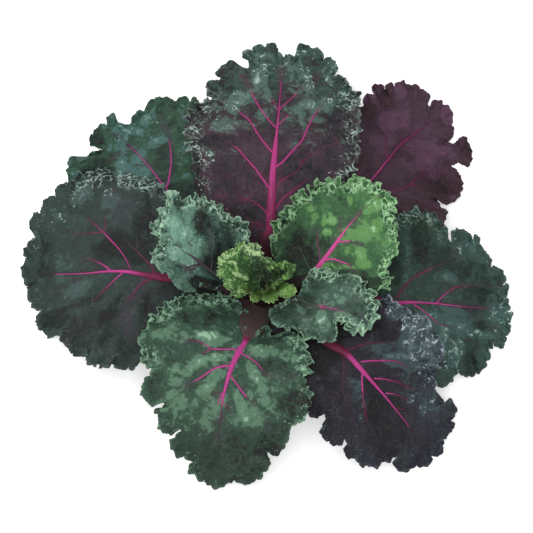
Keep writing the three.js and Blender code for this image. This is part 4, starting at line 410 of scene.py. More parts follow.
            [-7.4,124.1],[-10.4,128.9],[-17.1,135.6]],"w":[0.66,0.44],"b":[1,0.9]},{"line":[[-17.1,135.6],
            [-23.8,141.3],[-31.4,145.4]],"w":[0.26,0.15],"b":[0.25,0.0]},{"line":[[10.3,121.3],[5.9,126.9],
            [1.4,134.4],[-4.5,145.3],[-9.0,155.2]],"w":[0.59,0.44],"b":[1,0.9]},{"line":[[-9.0,155.2],
            [-12.1,163.8],[-16.6,170.6]],"w":[0.26,0.15],"b":[0.2,0.0]},{"line":[[11.8,138.1],[9.6,142.6],
            [5.9,148.8]],"w":[0.44,0.29],"b":[0.8,0.5]},{"line":[[13.3,139.1],[19.3,145.5],
            [26.8,153.8]],"w":[0.51,0.37],"b":[0.9,0.8]},{"line":[[26.8,153.8],[34.4,161.1],
            [42.0,168.2]],"w":[0.26,0.15],"b":[0.2,0.0]},{"line":[[12.5,124.2],[16.2,129.0],
            [20.0,133.8]],"w":[0.51,0.37],"b":[0.9,0.8]},{"line":[[9.5,86.9],[15.3,91.7],[21.9,100.1],
            [29.3,110.0],[33.9,122.3],[38.5,132.9],[43.2,141.4]],"w":[0.81,0.51],"b":[1,0.8]},
            {"line":[[43.2,141.4],[49.3,150.1],[55.5,155.8]],"w":[0.26,0.15],"b":[0.2,0.0]},
            {"line":[[10.2,71.1],[11.6,74.0],[17.4,79.2],[24.6,83.1],[29.1,90.3],[33.5,97.1],
            [38.6,99.9]],"w":[0.51,0.29],"b":[0.6,0.3]},{"line":[[38.6,99.9],[48.3,105.9],
            [57.4,112.2]],"w":[0.26,0.15],"b":[0.12,0.0]},{"line":[[8.7,54.4],[13.8,62.5],[21.0,68.1],
            [27.5,73.2],[33.3,77.8]],"w":[0.66,0.37],"b":[0.65,0.5]},{"line":[[33.3,77.8],[37.6,74.0],
            [43.4,71.1]],"w":[0.29,0.22],"b":[0.3,0.1]},{"line":[[3.7,53.7],[1.5,56.4],[-2.8,59.8],
            [-8.6,62.6],[-15.8,63.9]],"w":[0.59,0.33],"b":[0.65,0.5]},{"line":[[-15.8,63.9],[-24.5,65.2],
            [-33.1,66.5]],"w":[0.26,0.15],"b":[0.2,0.0]},{"line":[[1.5,45.2],[-1.4,45.9],[-7.2,48.4],
            [-12.2,50.9]],"w":[0.59,0.29],"b":[0.5,0.25]}],
        roll=[[-35.9,144.8,5.1,0.8],[-47.8,141.2,7.6,1.0],[-54.3,132.5,6.8,1.0],[-55.4,121.3,6.8,1.0],
            [-52.0,107.1,6.8,0.9],[-51.7,93.9,6.8,0.8],[-49.9,79.0,6.8,0.6],[-41.3,155.2,5.9,0.6],
            [-35.9,148.5,5.1,0.6],[-12.1,183.9,5.1,0.5],[-0.1,190.2,4.2,0.3],[42.2,185.5,5.1,0.4],
            [53.5,175.6,5.1,0.5],[60.9,163.8,5.1,0.5],[68.3,154.3,5.9,0.9],[72.7,147.0,5.9,0.9],
            [72.3,132.6,6.8,0.9],[72.5,115.9,6.8,0.9],[70.4,100.2,6.8,0.8],[64.0,84.8,6.8,0.7]],
        areas=[[-49.1,133.9,6.6,9.6,-0.0,-0.9],[-50.8,87.2,6.6,13.2,-0.0,-1.0],[-47.6,65.1,6.6,10.3,-0.0,-0.9],
            [-37.5,151.4,5.9,5.9,-0.0,-0.5],[69.2,161.9,5.9,8.8,-0.0,-0.3],[-16.2,120.5,6.6,6.6,-0.0,0.7],
            [-16.5,148.2,8.1,6.6,-40.0,1.0],[-22.3,139.5,4.4,7.3,20.0,0.8],[-0.1,165.2,5.1,11.8,-10.0,0.75],
            [-5.3,167.8,3.7,7.3,-0.0,0.7],[1.4,183.6,3.7,2.9,-0.0,0.5],[-0.0,132.5,4.4,4.4,-30.0,0.9],
            [4.4,150.6,2.2,5.9,-0.0,0.8],[32.7,142.5,5.9,4.4,30.0,1.0],[29.6,130.5,2.9,7.3,-5.0,0.9],
            [25.9,137.7,3.7,3.7,-0.0,0.8],[21.9,106.1,2.2,2.9,-0.0,0.8],[43.0,134.1,10.3,7.3,20.0,0.8],
            [28.4,165.8,8.8,14.7,-0.0,0.75],[50.7,144.0,7.3,5.9,-0.0,0.6],[-27.2,121.0,8.8,7.3,-0.0,0.5],
            [-32.4,121.3,8.8,4.4,-0.0,0.6],[-41.4,93.3,10.3,8.8,-0.0,0.4],[17.2,178.7,16.2,8.8,-0.0,0.15],
            [-8.7,105.0,5.1,7.3,-0.0,0.35],[0.0,92.4,8.8,14.7,-0.0,0.25],[-19.5,52.1,10.3,7.3,-0.0,0.1],
            [36.1,177.0,5.9,7.3,-0.0,-0.1],[54.3,135.1,11.8,7.3,-0.0,-0.8],[-24.1,164.3,17.6,10.3,-0.0,-0.3],
            [57.1,103.1,13.2,17.6,-0.0,-0.6],[-34.4,110.3,13.2,5.9,-0.0,-0.8],[31.2,80.9,14.7,8.8,-0.0,-0.7],
            [-8.6,54.4,13.2,7.3,-0.0,-0.8],[27.6,92.8,14.7,7.3,-0.0,-0.4],[-30.3,77.0,17.6,16.2,-0.0,-0.2],
            [62.3,158.0,7.3,5.9,-0.0,-0.3]],
    ),
    "inner_leaf_left": dict(
        seed=8.2, scale=1.0, lift=0, profile=[[0, 36], [12, 46], [25, 61], [45, 82], [60, 92], [72, 95], [85, 92], [100, 84]],
        tilt=None, droop=[],
        outline=[[-27.2,0.3,4],[-34.1,-4.9,4],[-39.6,-4.6,5],[-43.8,-2.5,4],[-46.5,-7.4,4],[-50.6,-10.2,5],
            [-54.7,-10.0,4],[-59.6,-7.6,4],[-63.1,-2.9,5],[-67.3,1.2,4],[-71.5,4.0,4],[-75.1,9.0,5],
            [-77.2,13.5,4],[-75.9,18.5,4],[-71.7,21.3,5],[-73.1,24.2,4],[-70.3,27.0,4],[-67.5,28.4,5],
            [-73.2,28.6,4],[-77.6,32.7,4],[-77.0,37.9,4],[-72.0,41.3,5],[-72.1,47.4,4],[-68.6,51.0,4],
            [-65.8,54.6,5],[-67.4,58.7,4],[-63.8,62.3,4],[-59.4,58.8,5],[-55.8,55.5,4],[-49.4,54.6,5],
            [-45.2,56.0,4],[-40.2,54.6,4],[-36.7,51.3,5],[-31.8,50.9,4],[-27.6,46.6,5],[-23.3,43.7,0],
            [-18.4,44.0,0],[-14.9,42.4,5],[-10.6,39.6,4],[-8.5,36.1,4],[-12.1,32.3,5],[-10.0,29.5,4],
            [-15.7,25.4,5],[-18.6,20.1,4],[-22.9,14.3,0]],
        rib=[[-11.0,2.5],[-15.9,3.7],[-27.2,5.3],[-35.5,8.4],[-41.8,11.4],[-48.7,15.8],[-56.3,19.8],
            [-63.3,26.3]],
        midrib=[[-2.2,1.0,3.31,0.0,0.2],[-15.9,3.7,2.94,0.1,0.3],[-27.2,5.3,2.5,0.2,0.5],
            [-35.5,7.7,1.62,0.3,0.55],[-41.8,10.0,1.76,0.4,0.5],[-45.2,12.8,2.06,0.4,0.45],
            [-48.7,15.8,1.18,0.5,0.4],[-52.8,17.7,0.73,0.6,0.2],[-57.7,18.2,0.44,0.6,0.3],
            [-63.3,26.3,0.22,0.3,1.0]],
        veins=[{"line":[[-36.2,8.3],[-35.5,18.6],[-36.1,29.0],[-37.5,38.0]],"w":[0.51,0.37],"b":[0.25,0.12]},
            {"line":[[-43.8,11.7],[-48.0,10.3],[-52.1,8.3],[-54.9,8.7]],"w":[0.73,0.37],"b":[0.55,0.5]},
            {"line":[[-44.5,13.0],[-47.3,9.0],[-50.0,6.5],[-52.8,5.4]],"w":[0.59,0.37],"b":[0.55,0.45]},
            {"line":[[-48.7,15.8],[-51.4,17.5],[-54.9,18.5]],"w":[0.44,0.29],"b":[0.5,0.4]},
            {"line":[[-48.7,15.8],[-50.8,23.1],[-53.5,31.1]],"w":[0.29,0.18],"b":[0.15,0.05]},
            {"line":[[-31.4,7.2],[-25.7,16.4],[-21.4,25.9]],"w":[0.29,0.15],"b":[0.1,0.0]}],
        roll=[[-66.5,55.4,6.8,1.0],[-71.4,46.6,6.8,1.0],[-75.5,35.5,6.8,1.0],[-71.7,26.4,5.9,1.0],
            [-73.1,22.0,5.9,1.0],[-76.6,14.9,5.9,0.9],[-71.5,4.7,5.1,0.5],[-59.4,58.8,5.1,0.6],
            [-49.4,54.6,6.8,1.0],[-40.9,53.9,6.8,1.0],[-33.9,50.1,6.8,1.0],[-26.9,44.1,6.8,1.0],
            [-17.0,43.5,6.8,1.0],[-9.9,39.0,5.9,1.0],[-11.4,30.6,5.9,0.7]],
        areas=[[-57.9,54.8,5.1,4.4,-0.0,-0.9],[-55.6,15.6,9.6,5.9,-15.0,0.72],[-60.5,22.2,6.6,5.9,-0.0,0.45],
            [-49.4,25.3,8.1,8.8,-30.0,0.5],[-53.5,36.0,4.4,7.3,-0.0,0.1],[-45.9,18.2,5.9,7.3,-0.0,0.3],
            [-59.1,32.2,5.9,5.9,-0.0,0.6],[-63.4,39.3,5.9,4.4,-0.0,0.4],[-61.0,-0.5,11.8,7.3,-0.0,0.25],
            [-35.5,22.5,7.3,13.2,-0.0,-0.6],[-40.3,37.7,8.8,8.8,-0.0,-0.5],[-32.7,15.1,8.8,11.8,-0.0,-0.9],
            [-41.6,42.9,5.1,10.3,-12.0,-0.6],[-26.3,30.2,5.9,10.3,-0.0,-0.4],[-39.0,-2.3,11.8,5.1,-0.0,-1.5],
            [-59.2,45.1,7.3,4.4,-0.0,-0.4],[-68.3,33.6,2.9,2.9,-0.0,-0.3],[-38.2,26.7,5.9,8.8,-0.0,0.8],
            [-64.6,10.6,6.6,5.9,-0.0,-0.15],[-22.7,40.0,7.3,4.4,-0.0,-0.3]],
    ),
    "inner_leaf_right": dict(
        seed=9.5, scale=1.0, lift=0, profile=[[0, 34], [12, 44], [30, 62], [50, 78], [70, 87], [90, 90], [110, 86], [130, 78], [150, 68]],
        tilt=None, droop=[(20, 60, 4, -5, 22)],
        outline=[[22.4,12.5,0],[15.9,18.6,4],[10.2,21.7,1],[6.5,25.6,4],[6.5,31.8,4],[8.0,37.3,5],[9.4,41.6,4],
            [12.2,44.0,4],[15.8,45.1,5],[13.7,49.0,4],[16.5,51.5,4],[20.1,53.4,4],[22.9,50.6,5],[21.5,56.0,4],
            [23.6,59.2,4],[27.9,61.1,4],[32.8,60.3,5],[34.3,62.3,4],[37.1,66.4,4],[41.4,67.7,4],[46.3,67.6,5],
            [48.5,70.4,4],[52.0,71.2,4],[56.3,70.4,4],[59.8,65.3,5],[62.0,69.0,4],[64.9,72.1,4],[68.5,73.0,4],
            [73.5,70.9,5],[77.0,69.5,4],[82.0,67.5,4],[87.0,64.0,4],[89.1,60.3,5],[92.0,59.7,4],[94.7,54.6,4],
            [93.9,49.3,4],[91.0,46.8,5],[92.3,41.0,4],[91.5,35.8,5],[95.8,36.1,4],[96.5,33.9,4],[93.6,30.8,5],
            [95.0,26.6,4],[96.4,20.9,4],[94.9,15.8,4],[89.9,10.7,5],[89.1,6.4,4],[87.0,1.5,5],[89.8,-1.4,4],
            [89.0,-6.4,4],[83.3,-8.5,5],[76.3,-9.8,2],[70.8,-5.9,3],[63.8,-8.3,2],[56.9,-4.1,3],[49.9,-4.1,2],
            [42.9,-0.4,2]],
        rib=[[11.1,2.9],[16.0,4.1],[27.4,4.1],[37.3,8.8],[45.0,17.4],[52.7,26.9],[59.7,36.2],[66.8,44.3],
            [73.9,51.4],[81.8,58.4]],
        midrib=[[1.5,2.2,3.67,0.0,0.0],[20.3,4.0,4.78,0.0,0.0],[28.8,5.2,4.41,0.0,0.0],[33.1,7.4,2.5,0.0,0.0],
            [35.2,8.4,2.5,0.35,0.0],[37.3,9.8,2.65,0.8,0.0],[39.4,11.3,2.65,0.95,0.0],
            [41.5,13.7,2.21,1.0,0.0],[46.4,18.6,1.91,1.0,0.0],[51.3,25.0,1.76,1.0,0.0],
            [53.4,27.6,1.76,1.0,0.0],[57.6,33.5,1.1,1.0,0.0],[62.5,39.5,0.81,1.0,0.0],
            [66.0,42.9,0.59,0.95,0.1],[70.3,47.1,0.44,0.7,0.4],[73.9,50.7,0.29,0.5,0.75],
            [81.8,58.4,0.22,0.3,1.0]],
        veins=[{"line":[[45.0,16.4],[51.3,16.1],[56.9,13.5],[61.1,11.8]],"w":[0.73,0.51],"b":[1,0.8]},
            {"line":[[61.1,11.8],[63.9,8.1],[67.4,5.8]],"w":[0.44,0.29],"b":[0.7,0.3]},{"line":[[53.4,27.6],
            [59.0,27.8],[63.2,27.6]],"w":[0.73,0.51],"b":[1,0.9]},{"line":[[63.2,27.6],[67.4,26.0],
            [70.9,24.4]],"w":[0.37,0.22],"b":[0.45,0.15]},{"line":[[53.4,27.6],[52.7,30.0],
            [52.0,31.1]],"w":[0.44,0.29],"b":[0.8,0.4]},{"line":[[40.8,15.2],[41.5,19.8],[40.0,26.8],
            [39.3,35.6]],"w":[0.59,0.37],"b":[0.5,0.4]},{"line":[[56.2,32.9],[56.2,37.0],
            [55.5,42.0]],"w":[0.37,0.22],"b":[0.4,0.15]},{"line":[[35.2,9.1],[30.2,20.7],
            [25.9,29.0]],"w":[0.29,0.22],"b":[0.1,0.0]},{"line":[[63.9,40.9],[71.0,38.5],
            [79.4,36.3]],"w":[0.26,0.15],"b":[0.15,0.0]},{"line":[[73.9,51.4],[78.2,55.2],
            [82.6,59.1]],"w":[0.29,0.18],"b":[0.1,0.0]}],
        roll=[[6.5,26.8,5.1,0.4],[8.7,37.9,5.9,1.0],[13.0,44.6,5.9,1.0],[15.8,50.9,5.9,1.0],
            [22.2,54.6,6.8,1.0],[27.9,60.5,6.8,1.0],[34.3,63.0,6.8,1.0],[41.4,67.0,6.8,1.0],
            [49.9,70.4,7.6,1.0],[59.8,66.8,6.8,1.0],[67.0,72.1,6.8,1.0],[75.6,70.2,6.8,1.0],
            [84.2,66.1,6.8,1.0],[89.8,60.3,6.8,1.0],[94.0,51.5,6.8,1.0],[91.6,41.0,6.8,1.0],
            [95.8,33.9,6.8,1.0],[95.0,22.2,6.8,0.5],[91.3,12.1,6.8,1.0],[87.7,2.9,6.8,1.0],
            [88.3,-6.4,6.8,1.0]],
        areas=[[49.8,42.3,3.7,2.9,-0.0,1.3],[46.3,35.0,2.9,2.2,-0.0,1.3],[69.5,19.6,4.4,3.7,-0.0,0.7],
            [44.2,42.0,2.2,3.7,-0.0,1.1],[49.1,46.5,1.5,1.5,-0.0,1.2],[80.3,53.0,8.8,4.4,35.0,0.9],
            [73.2,56.6,7.3,5.9,-0.0,0.0],[75.3,49.3,10.3,5.1,40.0,0.35],[66.0,33.7,13.2,5.9,10.0,0.5],
            [76.6,31.3,11.8,5.9,-0.0,0.4],[82.3,38.4,4.4,5.9,-0.0,0.9],[71.6,12.5,6.6,4.4,-20.0,0.8],
            [63.9,21.3,5.9,4.4,-0.0,0.5],[62.6,56.6,2.2,3.7,-0.0,0.8],[32.9,47.4,7.3,8.8,-0.0,0.3],
            [27.2,41.2,14.7,8.8,-0.0,-0.35],[27.3,21.7,13.2,8.8,-30.0,-1.0],[37.9,23.6,4.4,11.8,-0.0,-0.7],
            [27.3,28.9,8.8,8.8,-0.0,-0.6],[54.1,8.2,14.7,5.1,-10.0,0.5],[63.9,1.8,10.3,5.9,-0.0,-0.9],
            [77.8,-4.0,8.8,5.9,-0.0,-1.0],[45.0,26.2,3.7,7.3,-0.0,-0.5],[59.1,60.2,11.8,8.8,-0.0,0.0],
            [48.4,56.9,13.2,5.9,-0.0,-0.1],[22.3,30.0,6.6,6.6,-0.0,-0.6],[37.8,64.3,2.9,2.2,-0.0,-1.0]],
    ),
    "inner_leaf_lower_right": dict(
        seed=10.1, scale=1.0, lift=0, profile=[[0, 40], [12, 52], [30, 72], [50, 87], [65, 92], [80, 90], [100, 82]],
        tilt=None, droop=[],
        outline=[[28.6,-6.4,4],[30.0,-0.7,4],[32.8,3.8,5],[34.9,7.0,4],[39.8,7.6,4],[45.4,6.2,5],[49.6,5.7,4],
            [53.7,1.6,5],[59.3,2.7,4],[64.1,1.0,5],[69.0,-1.9,4],[73.2,-7.5,5],[76.7,-9.5,4],[79.5,-15.0,5],
            [80.9,-19.9,4],[80.2,-25.6,5],[80.9,-29.7,4],[76.6,-34.8,5],[73.0,-39.2,4],[67.3,-40.8,4],
            [61.7,-39.6,5],[58.2,-36.2,4],[56.1,-31.9,4],[52.0,-32.5,5],[50.5,-36.8,4],[53.3,-39.7,4],
            [51.2,-44.0,4],[46.2,-46.8,4],[39.3,-45.2,5],[35.1,-45.1,4],[29.6,-43.3,4],[26.1,-37.7,5],
            [22.0,-35.8,4],[15.6,-35.3,4],[10.0,-32.5,4],[5.8,-26.2,4],[5.1,-19.7,4],[8.7,-16.4,5],
            [13.7,-15.4,4],[15.8,-11.5,4],[20.8,-11.0,4],[25.7,-13.6,4]],
        rib=[[10.4,-2.2],[24.4,-9.3],[32.7,-15.5],[41.7,-19.1],[49.3,-21.3],[56.9,-24.0],[66.0,-26.9],
            [74.5,-29.4]],
        midrib=[[1.5,1.0,3.31,0.0,0.0],[13.0,-2.8,2.94,0.0,0.1],[24.4,-9.3,1.91,0.2,0.6],
            [32.7,-15.5,0.88,0.3,0.9],[39.6,-19.2,0.66,0.7,0.6],[41.7,-19.6,0.66,0.95,0.05],
            [46.6,-20.0,0.73,1.0,0.0],[52.1,-21.9,0.59,0.95,0.15],[56.9,-24.0,0.44,0.8,0.5],
            [61.1,-25.5,0.26,0.4,0.9],[74.5,-29.4,0.18,0.3,1.0]],
        veins=[{"line":[[41.0,-19.7],[43.8,-17.8],[44.5,-17.1]],"w":[0.37,0.29],"b":[0.85,0.6]},
            {"line":[[41.0,-19.7],[43.1,-21.5],[44.4,-23.1]],"w":[0.37,0.29],"b":[0.85,0.6]},
            {"line":[[52.8,-22.3],[59.1,-19.0],[66.1,-14.8]],"w":[0.26,0.15],"b":[0.12,0.0]},
            {"line":[[53.5,-23.1],[59.0,-28.3],[63.1,-33.3]],"w":[0.26,0.15],"b":[0.12,0.0]},
            {"line":[[32.7,-15.5],[29.8,-23.7],[31.1,-33.3]],"w":[0.26,0.15],"b":[0.12,0.0]}],
        roll=[[5.8,-20.7,5.1,0.4],[15.8,-12.4,6.8,1.0],[22.2,-11.3,7.6,1.0],[29.2,-11.8,5.1,0.6],
            [15.7,-34.5,4.2,0.3],[30.3,-41.0,5.1,0.6],[39.3,-46.0,5.1,0.5],[50.5,-40.4,5.1,0.5],
            [53.3,-33.3,6.8,1.0],[58.9,-37.6,5.1,0.7],[34.9,6.3,5.9,0.9],[42.6,7.2,5.9,0.9],
            [50.2,5.6,5.9,0.9],[63.4,1.0,5.1,0.5],[73.2,-6.1,6.8,1.0],[78.1,-11.6,6.8,1.0],
            [80.9,-19.9,6.8,1.0],[79.5,-28.4,6.8,1.0],[74.4,-37.0,6.8,0.9],[65.9,-40.9,5.9,0.8]],
        areas=[[61.9,-9.0,8.8,3.7,25.0,0.05],[69.0,-3.3,5.9,3.7,-0.0,0.2],[41.6,-27.4,3.7,5.1,-0.0,1.0],
            [59.7,-29.1,8.1,4.4,-25.0,0.95],[44.3,-33.6,4.4,5.9,-0.0,0.5],[48.0,-15.3,11.8,4.4,-0.0,0.3],
            [39.8,-1.7,7.3,4.4,-0.0,-0.7],[30.6,-12.9,5.9,4.4,-0.0,-0.6],[33.9,-32.0,7.3,5.9,-0.0,0.1],
            [58.4,-16.1,10.3,5.9,-0.0,0.05],[68.8,-23.3,7.3,5.9,-0.0,-0.35],[12.2,-24.9,5.9,5.9,-0.0,-0.45],
            [77.5,-8.8,4.4,4.4,-0.0,-0.3],[39.7,-10.5,4.4,7.3,-0.0,-0.3]],
    ),
    "heart_leaf_left": dict(
        seed=11.3, scale=0.42, lift=0, profile=[[0.0, 142.9], [14.3, 152.4], [28.6, 176.2], [45.2, 197.6], [69.0, 216.7], [92.9, 227.4]],
        tilt=None, droop=[],
        outline=[[10.4,-0.7,0],[18.9,11.7,0],[15.5,24.9,0],[5.3,33.9,0],[1.9,43.5,1],[-6.5,55.1,0],[-19.9,59.0,1],
            [-25.0,54.3,0],[-31.7,59.8,0],[-41.7,56.0,0],[-45.1,46.5,1],[-51.8,47.4,0],[-63.5,40.0,0],
            [-71.8,31.1,0],[-73.4,22.7,1],[-71.8,16.1,0],[-75.0,4.0,0],[-66.7,-1.9,0],[-56.8,3.2,1],
            [-63.4,-4.8,0],[-61.7,-16.8,0],[-51.7,-20.6,1],[-50.0,-29.6,0],[-40.0,-33.8,0],[-30.1,-26.2,1],
            [-25.1,-16.8,0],[-16.8,-9.9,1],[-6.6,-9.6,0],[1.9,-5.3,0]],
        rib=[[1.9,8.3],[-6.6,14.0],[-18.5,18.9],[-31.9,22.3],[-46.9,26.1],[-60.2,27.4]],
        midrib=[[1.9,8.3,4.2,0.0,0.3],[-10.0,14.9,2.45,0.1,0.7],[-23.5,19.4,1.4,0.2,0.9],
            [-40.2,23.8,0.7,0.2,1.0],[-60.2,27.4,0.35,0.2,1.0]],
        veins=[{"line":[[-16.8,19.3],[-25.1,29.3],[-31.8,41.8],[-35.1,52.0]],"w":[0.7,0.35],"b":[0.2,0.1]},
            {"line":[[-20.1,20.0],[-31.9,10.0],[-43.5,-4.8],[-51.8,-13.4]],"w":[0.7,0.35],"b":[0.2,0.1]},
            {"line":[[-31.9,22.3],[-43.5,29.7],[-55.1,36.0]],"w":[0.61,0.35],"b":[0.2,0.1]},
            {"line":[[-10.0,16.3],[-16.9,4.7],[-26.8,-13.3],[-35.1,-25.3]],"w":[0.7,0.35],"b":[0.2,0.1]},
            {"line":[[-10.0,16.3],[-6.6,28.4],[-8.2,42.0],[-13.2,51.9]],"w":[0.7,0.35],"b":[0.2,0.1]}],
        roll=[[-35.0,55.0,12.1,1.0],[-50.1,44.4,8.0,0.8],[-60.1,40.3,12.1,1.0],[-71.8,27.8,10.1,1.0],
            [-71.7,11.1,10.1,1.0],[-66.7,1.5,8.0,0.8],[-58.4,-11.0,12.1,1.0],[-43.4,-28.6,10.1,0.9],
            [-26.8,-15.3,12.1,1.0],[-9.8,53.5,12.1,0.9],[-23.3,57.4,8.0,0.7]],
        areas=[[-60.1,35.4,12.2,3.5,30.0,1.3],[-51.9,27.7,12.2,2.8,-0.0,1.4],[-43.5,21.7,3.1,10.5,12.0,1.3],
            [-50.2,14.3,7.0,2.6,-40.0,1.2],[-35.3,8.4,14.0,3.9,-8.0,1.5],[-26.9,8.0,5.2,3.5,-0.0,1.3],
            [-71.8,26.1,5.2,7.0,-0.0,1.0],[-68.4,9.7,5.2,7.0,-0.0,0.7],[-36.7,54.9,10.5,5.2,-0.0,1.1],
            [-43.5,45.2,7.0,2.8,30.0,1.0],[-28.5,-8.1,10.5,4.5,15.0,1.3],[-36.8,-17.8,3.5,6.0,-30.0,1.2],
            [-56.8,-8.9,8.8,7.0,-0.0,0.8],[-21.6,53.0,3.1,6.0,-0.0,1.2],[-18.3,44.3,8.8,2.8,-30.0,1.2],
            [-4.8,47.7,10.5,3.5,-0.0,1.4],[0.2,40.8,5.2,2.8,-0.0,1.2],[-25.1,37.8,7.0,2.4,10.0,0.7],
            [-61.8,19.0,8.8,5.2,-0.0,0.1],[-50.2,0.8,10.5,7.0,-0.0,0.25],[-40.2,20.6,5.2,10.5,-0.0,0.3],
            [-31.8,31.1,7.0,15.8,-0.0,-0.3],[0.2,18.3,8.8,14.0,-0.0,-1.5],[10.4,12.1,8.8,14.0,-0.0,-1.6],
            [-20.1,27.2,5.2,17.5,20.0,-0.2]],
    ),
    "heart_leaf_back": dict(
        seed=12.1, scale=0.4, lift=0, profile=[[0.0, 152.5], [12.5, 165.0], [22.5, 190.0], [35.0, 212.5], [55.0, 230.0], [75.0, 241.2]],
        tilt=None, droop=[],
        outline=[[0.2,6.3,0],[7.4,14.2,0],[19.8,19.6,0],[21.5,29.3,0],[16.2,37.5,1],[1.2,39.6,0],[0.3,47.2,0],
            [-6.8,50.1,1],[-3.2,55.5,0],[-12.0,60.2,0],[-20.8,57.5,1],[-27.9,55.6,0],[-34.9,52.0,0],
            [-27.9,42.8,1],[-20.9,31.0,0],[-14.0,18.0,0],[-7.0,8.9,0]],
        rib=[[2.0,9.3],[0.2,19.6],[-3.3,29.7],[-8.5,41.0],[-13.8,51.4]],
        midrib=[[2.0,9.3,3.31,0.0,0.5],[-1.5,22.0,2.02,0.1,0.8],[-5.0,32.3,1.29,0.2,0.9],
            [-10.3,44.0,0.73,0.2,1.0],[-13.8,49.9,0.37,0.2,1.0]],
        veins=[{"line":[[0.2,22.0],[7.4,28.2],[14.4,31.5]],"w":[0.73,0.37],"b":[0.2,0.1]},{"line":[[-3.3,29.7],
            [-15.6,32.9],[-22.7,37.1]],"w":[0.73,0.37],"b":[0.2,0.1]},{"line":[[-5.0,35.0],[0.3,42.6],
            [0.3,48.7]],"w":[0.64,0.37],"b":[0.2,0.1]}],
        roll=[[-10.3,56.2,12.7,1.0],[-27.9,52.4,10.6,1.0],[0.3,47.2,10.6,0.9],[14.4,34.6,8.5,0.6]],
        areas=[[-17.3,48.2,14.7,3.7,-15.0,1.37],[-6.8,44.1,9.2,2.9,-0.0,1.22],[-27.9,54.8,7.3,3.7,-0.0,1.3],
            [-10.3,57.9,9.2,4.8,-0.0,0.2],[7.4,26.9,11.0,12.9,-0.0,0.1],[-6.9,19.2,11.0,18.4,-0.0,-0.62],
            [0.2,10.8,11.0,9.2,-0.0,-0.99],[10.9,33.2,5.5,2.2,-0.0,0.94]],
    ),
    "heart_leaf_front": dict(
        seed=14.9, scale=0.4, lift=0, profile=[[0.0, 150.0], [15.0, 157.5], [25.0, 182.5], [37.5, 207.5], [52.5, 227.5], [67.5, 241.2]],
        tilt=None, droop=[],
        outline=[[18.1,6.3,1],[28.7,-1.9,0],[37.4,-7.5,0],[47.8,-12.3,0],[54.8,-17.7,1],[59.9,-26.3,0],
            [58.1,-33.7,0],[51.1,-37.5,1],[42.4,-38.2,0],[33.8,-33.3,1],[28.5,-26.6,1],[25.8,-38.4,0],
            [16.2,-45.1,0],[7.4,-40.7,0],[2.9,-29.4,1],[-0.7,-13.4,1],[-3.3,-32.4,0],[-12.0,-42.3,0],
            [-19.1,-34.9,0],[-18.4,-19.2,1],[-21.1,-10.6,1],[-26.2,-24.7,0],[-35.0,-22.8,0],[-39.4,-16.8,0],
            [-36.8,-10.2,0],[-28.2,-3.6,1],[-21.2,1.5,0],[-15.9,-1.3,1],[-10.6,5.1,0],[-3.4,8.9,0]],
        rib=[[5.6,12.2],[5.6,3.7],[3.8,-7.4],[0.2,-23.0],[-3.2,-35.3]],
        midrib=[[5.6,12.2,3.67,0.0,0.4],[5.6,3.7,2.21,0.1,0.7],[3.8,-7.4,1.1,0.2,0.9],[0.2,-23.0,0.55,0.2,1.0],
            [-3.2,-35.3,0.37,0.2,1.0]],
        veins=[{"line":[[5.6,2.0],[16.3,-10.2],[32.1,-24.2],[46.0,-25.7]],"w":[0.73,0.37],"b":[0.2,0.1]},
            {"line":[[5.6,-1.7],[14.5,-20.3],[21.5,-37.6]],"w":[0.64,0.37],"b":[0.2,0.1]},{"line":[[3.8,-1.5],
            [-8.8,-5.8],[-21.1,-10.6],[-29.9,-12.4]],"w":[0.73,0.37],"b":[0.2,0.1]},{"line":[[3.8,-9.4],
            [-6.9,-23.9],[-13.8,-36.5]],"w":[0.64,0.37],"b":[0.2,0.1]}],
        roll=[[33.8,-33.3,10.6,1.0],[53.0,-17.4,10.6,1.0],[58.1,-29.8,10.6,1.0],[21.4,-42.3,10.6,1.0],
            [7.4,-40.7,8.5,0.8],[-12.0,-38.7,10.6,1.0],[-19.2,-27.3,8.5,0.9],[-33.3,-18.2,12.7,1.0],
            [-31.6,-7.0,8.5,0.8],[42.4,-39.2,8.5,0.8]],
        areas=[[44.3,-23.3,14.7,7.3,12.0,1.25],[58.2,-27.9,3.7,7.3,-0.0,0.9],[39.0,-32.4,11.0,3.7,-0.0,0.6],
            [17.9,-40.6,12.9,3.7,-5.0,1.3],[10.9,-30.5,7.3,3.7,-0.0,0.6],[7.4,-17.3,3.7,5.5,-0.0,0.8],
            [-12.4,-6.1,4.4,7.3,-20.0,1.3],[-12.1,-27.9,6.2,7.3,-0.0,0.9],[-15.5,-37.9,7.3,2.6,-0.0,1.2],
            [-31.6,-10.1,9.2,3.7,12.0,1.3],[-35.0,-19.7,5.5,3.7,-0.0,1.0],[3.8,0.4,11.0,7.3,-0.0,-2.0],
            [16.3,-15.4,7.3,9.2,-0.0,-2.0],[27.7,-15.9,4.4,7.3,-0.0,-1.6],[-2.5,-16.0,2.9,9.2,-0.0,-1.8],
            [-22.0,-13.4,2.6,7.3,-0.0,-1.6]],
    ),
}

# ------------------------------------------------------------ small maths
def sst(a, b, x):
    t = np.clip((np.asarray(x, float) - a) / (b - a), 0, 1)
    return t * t * (3 - 2 * t)


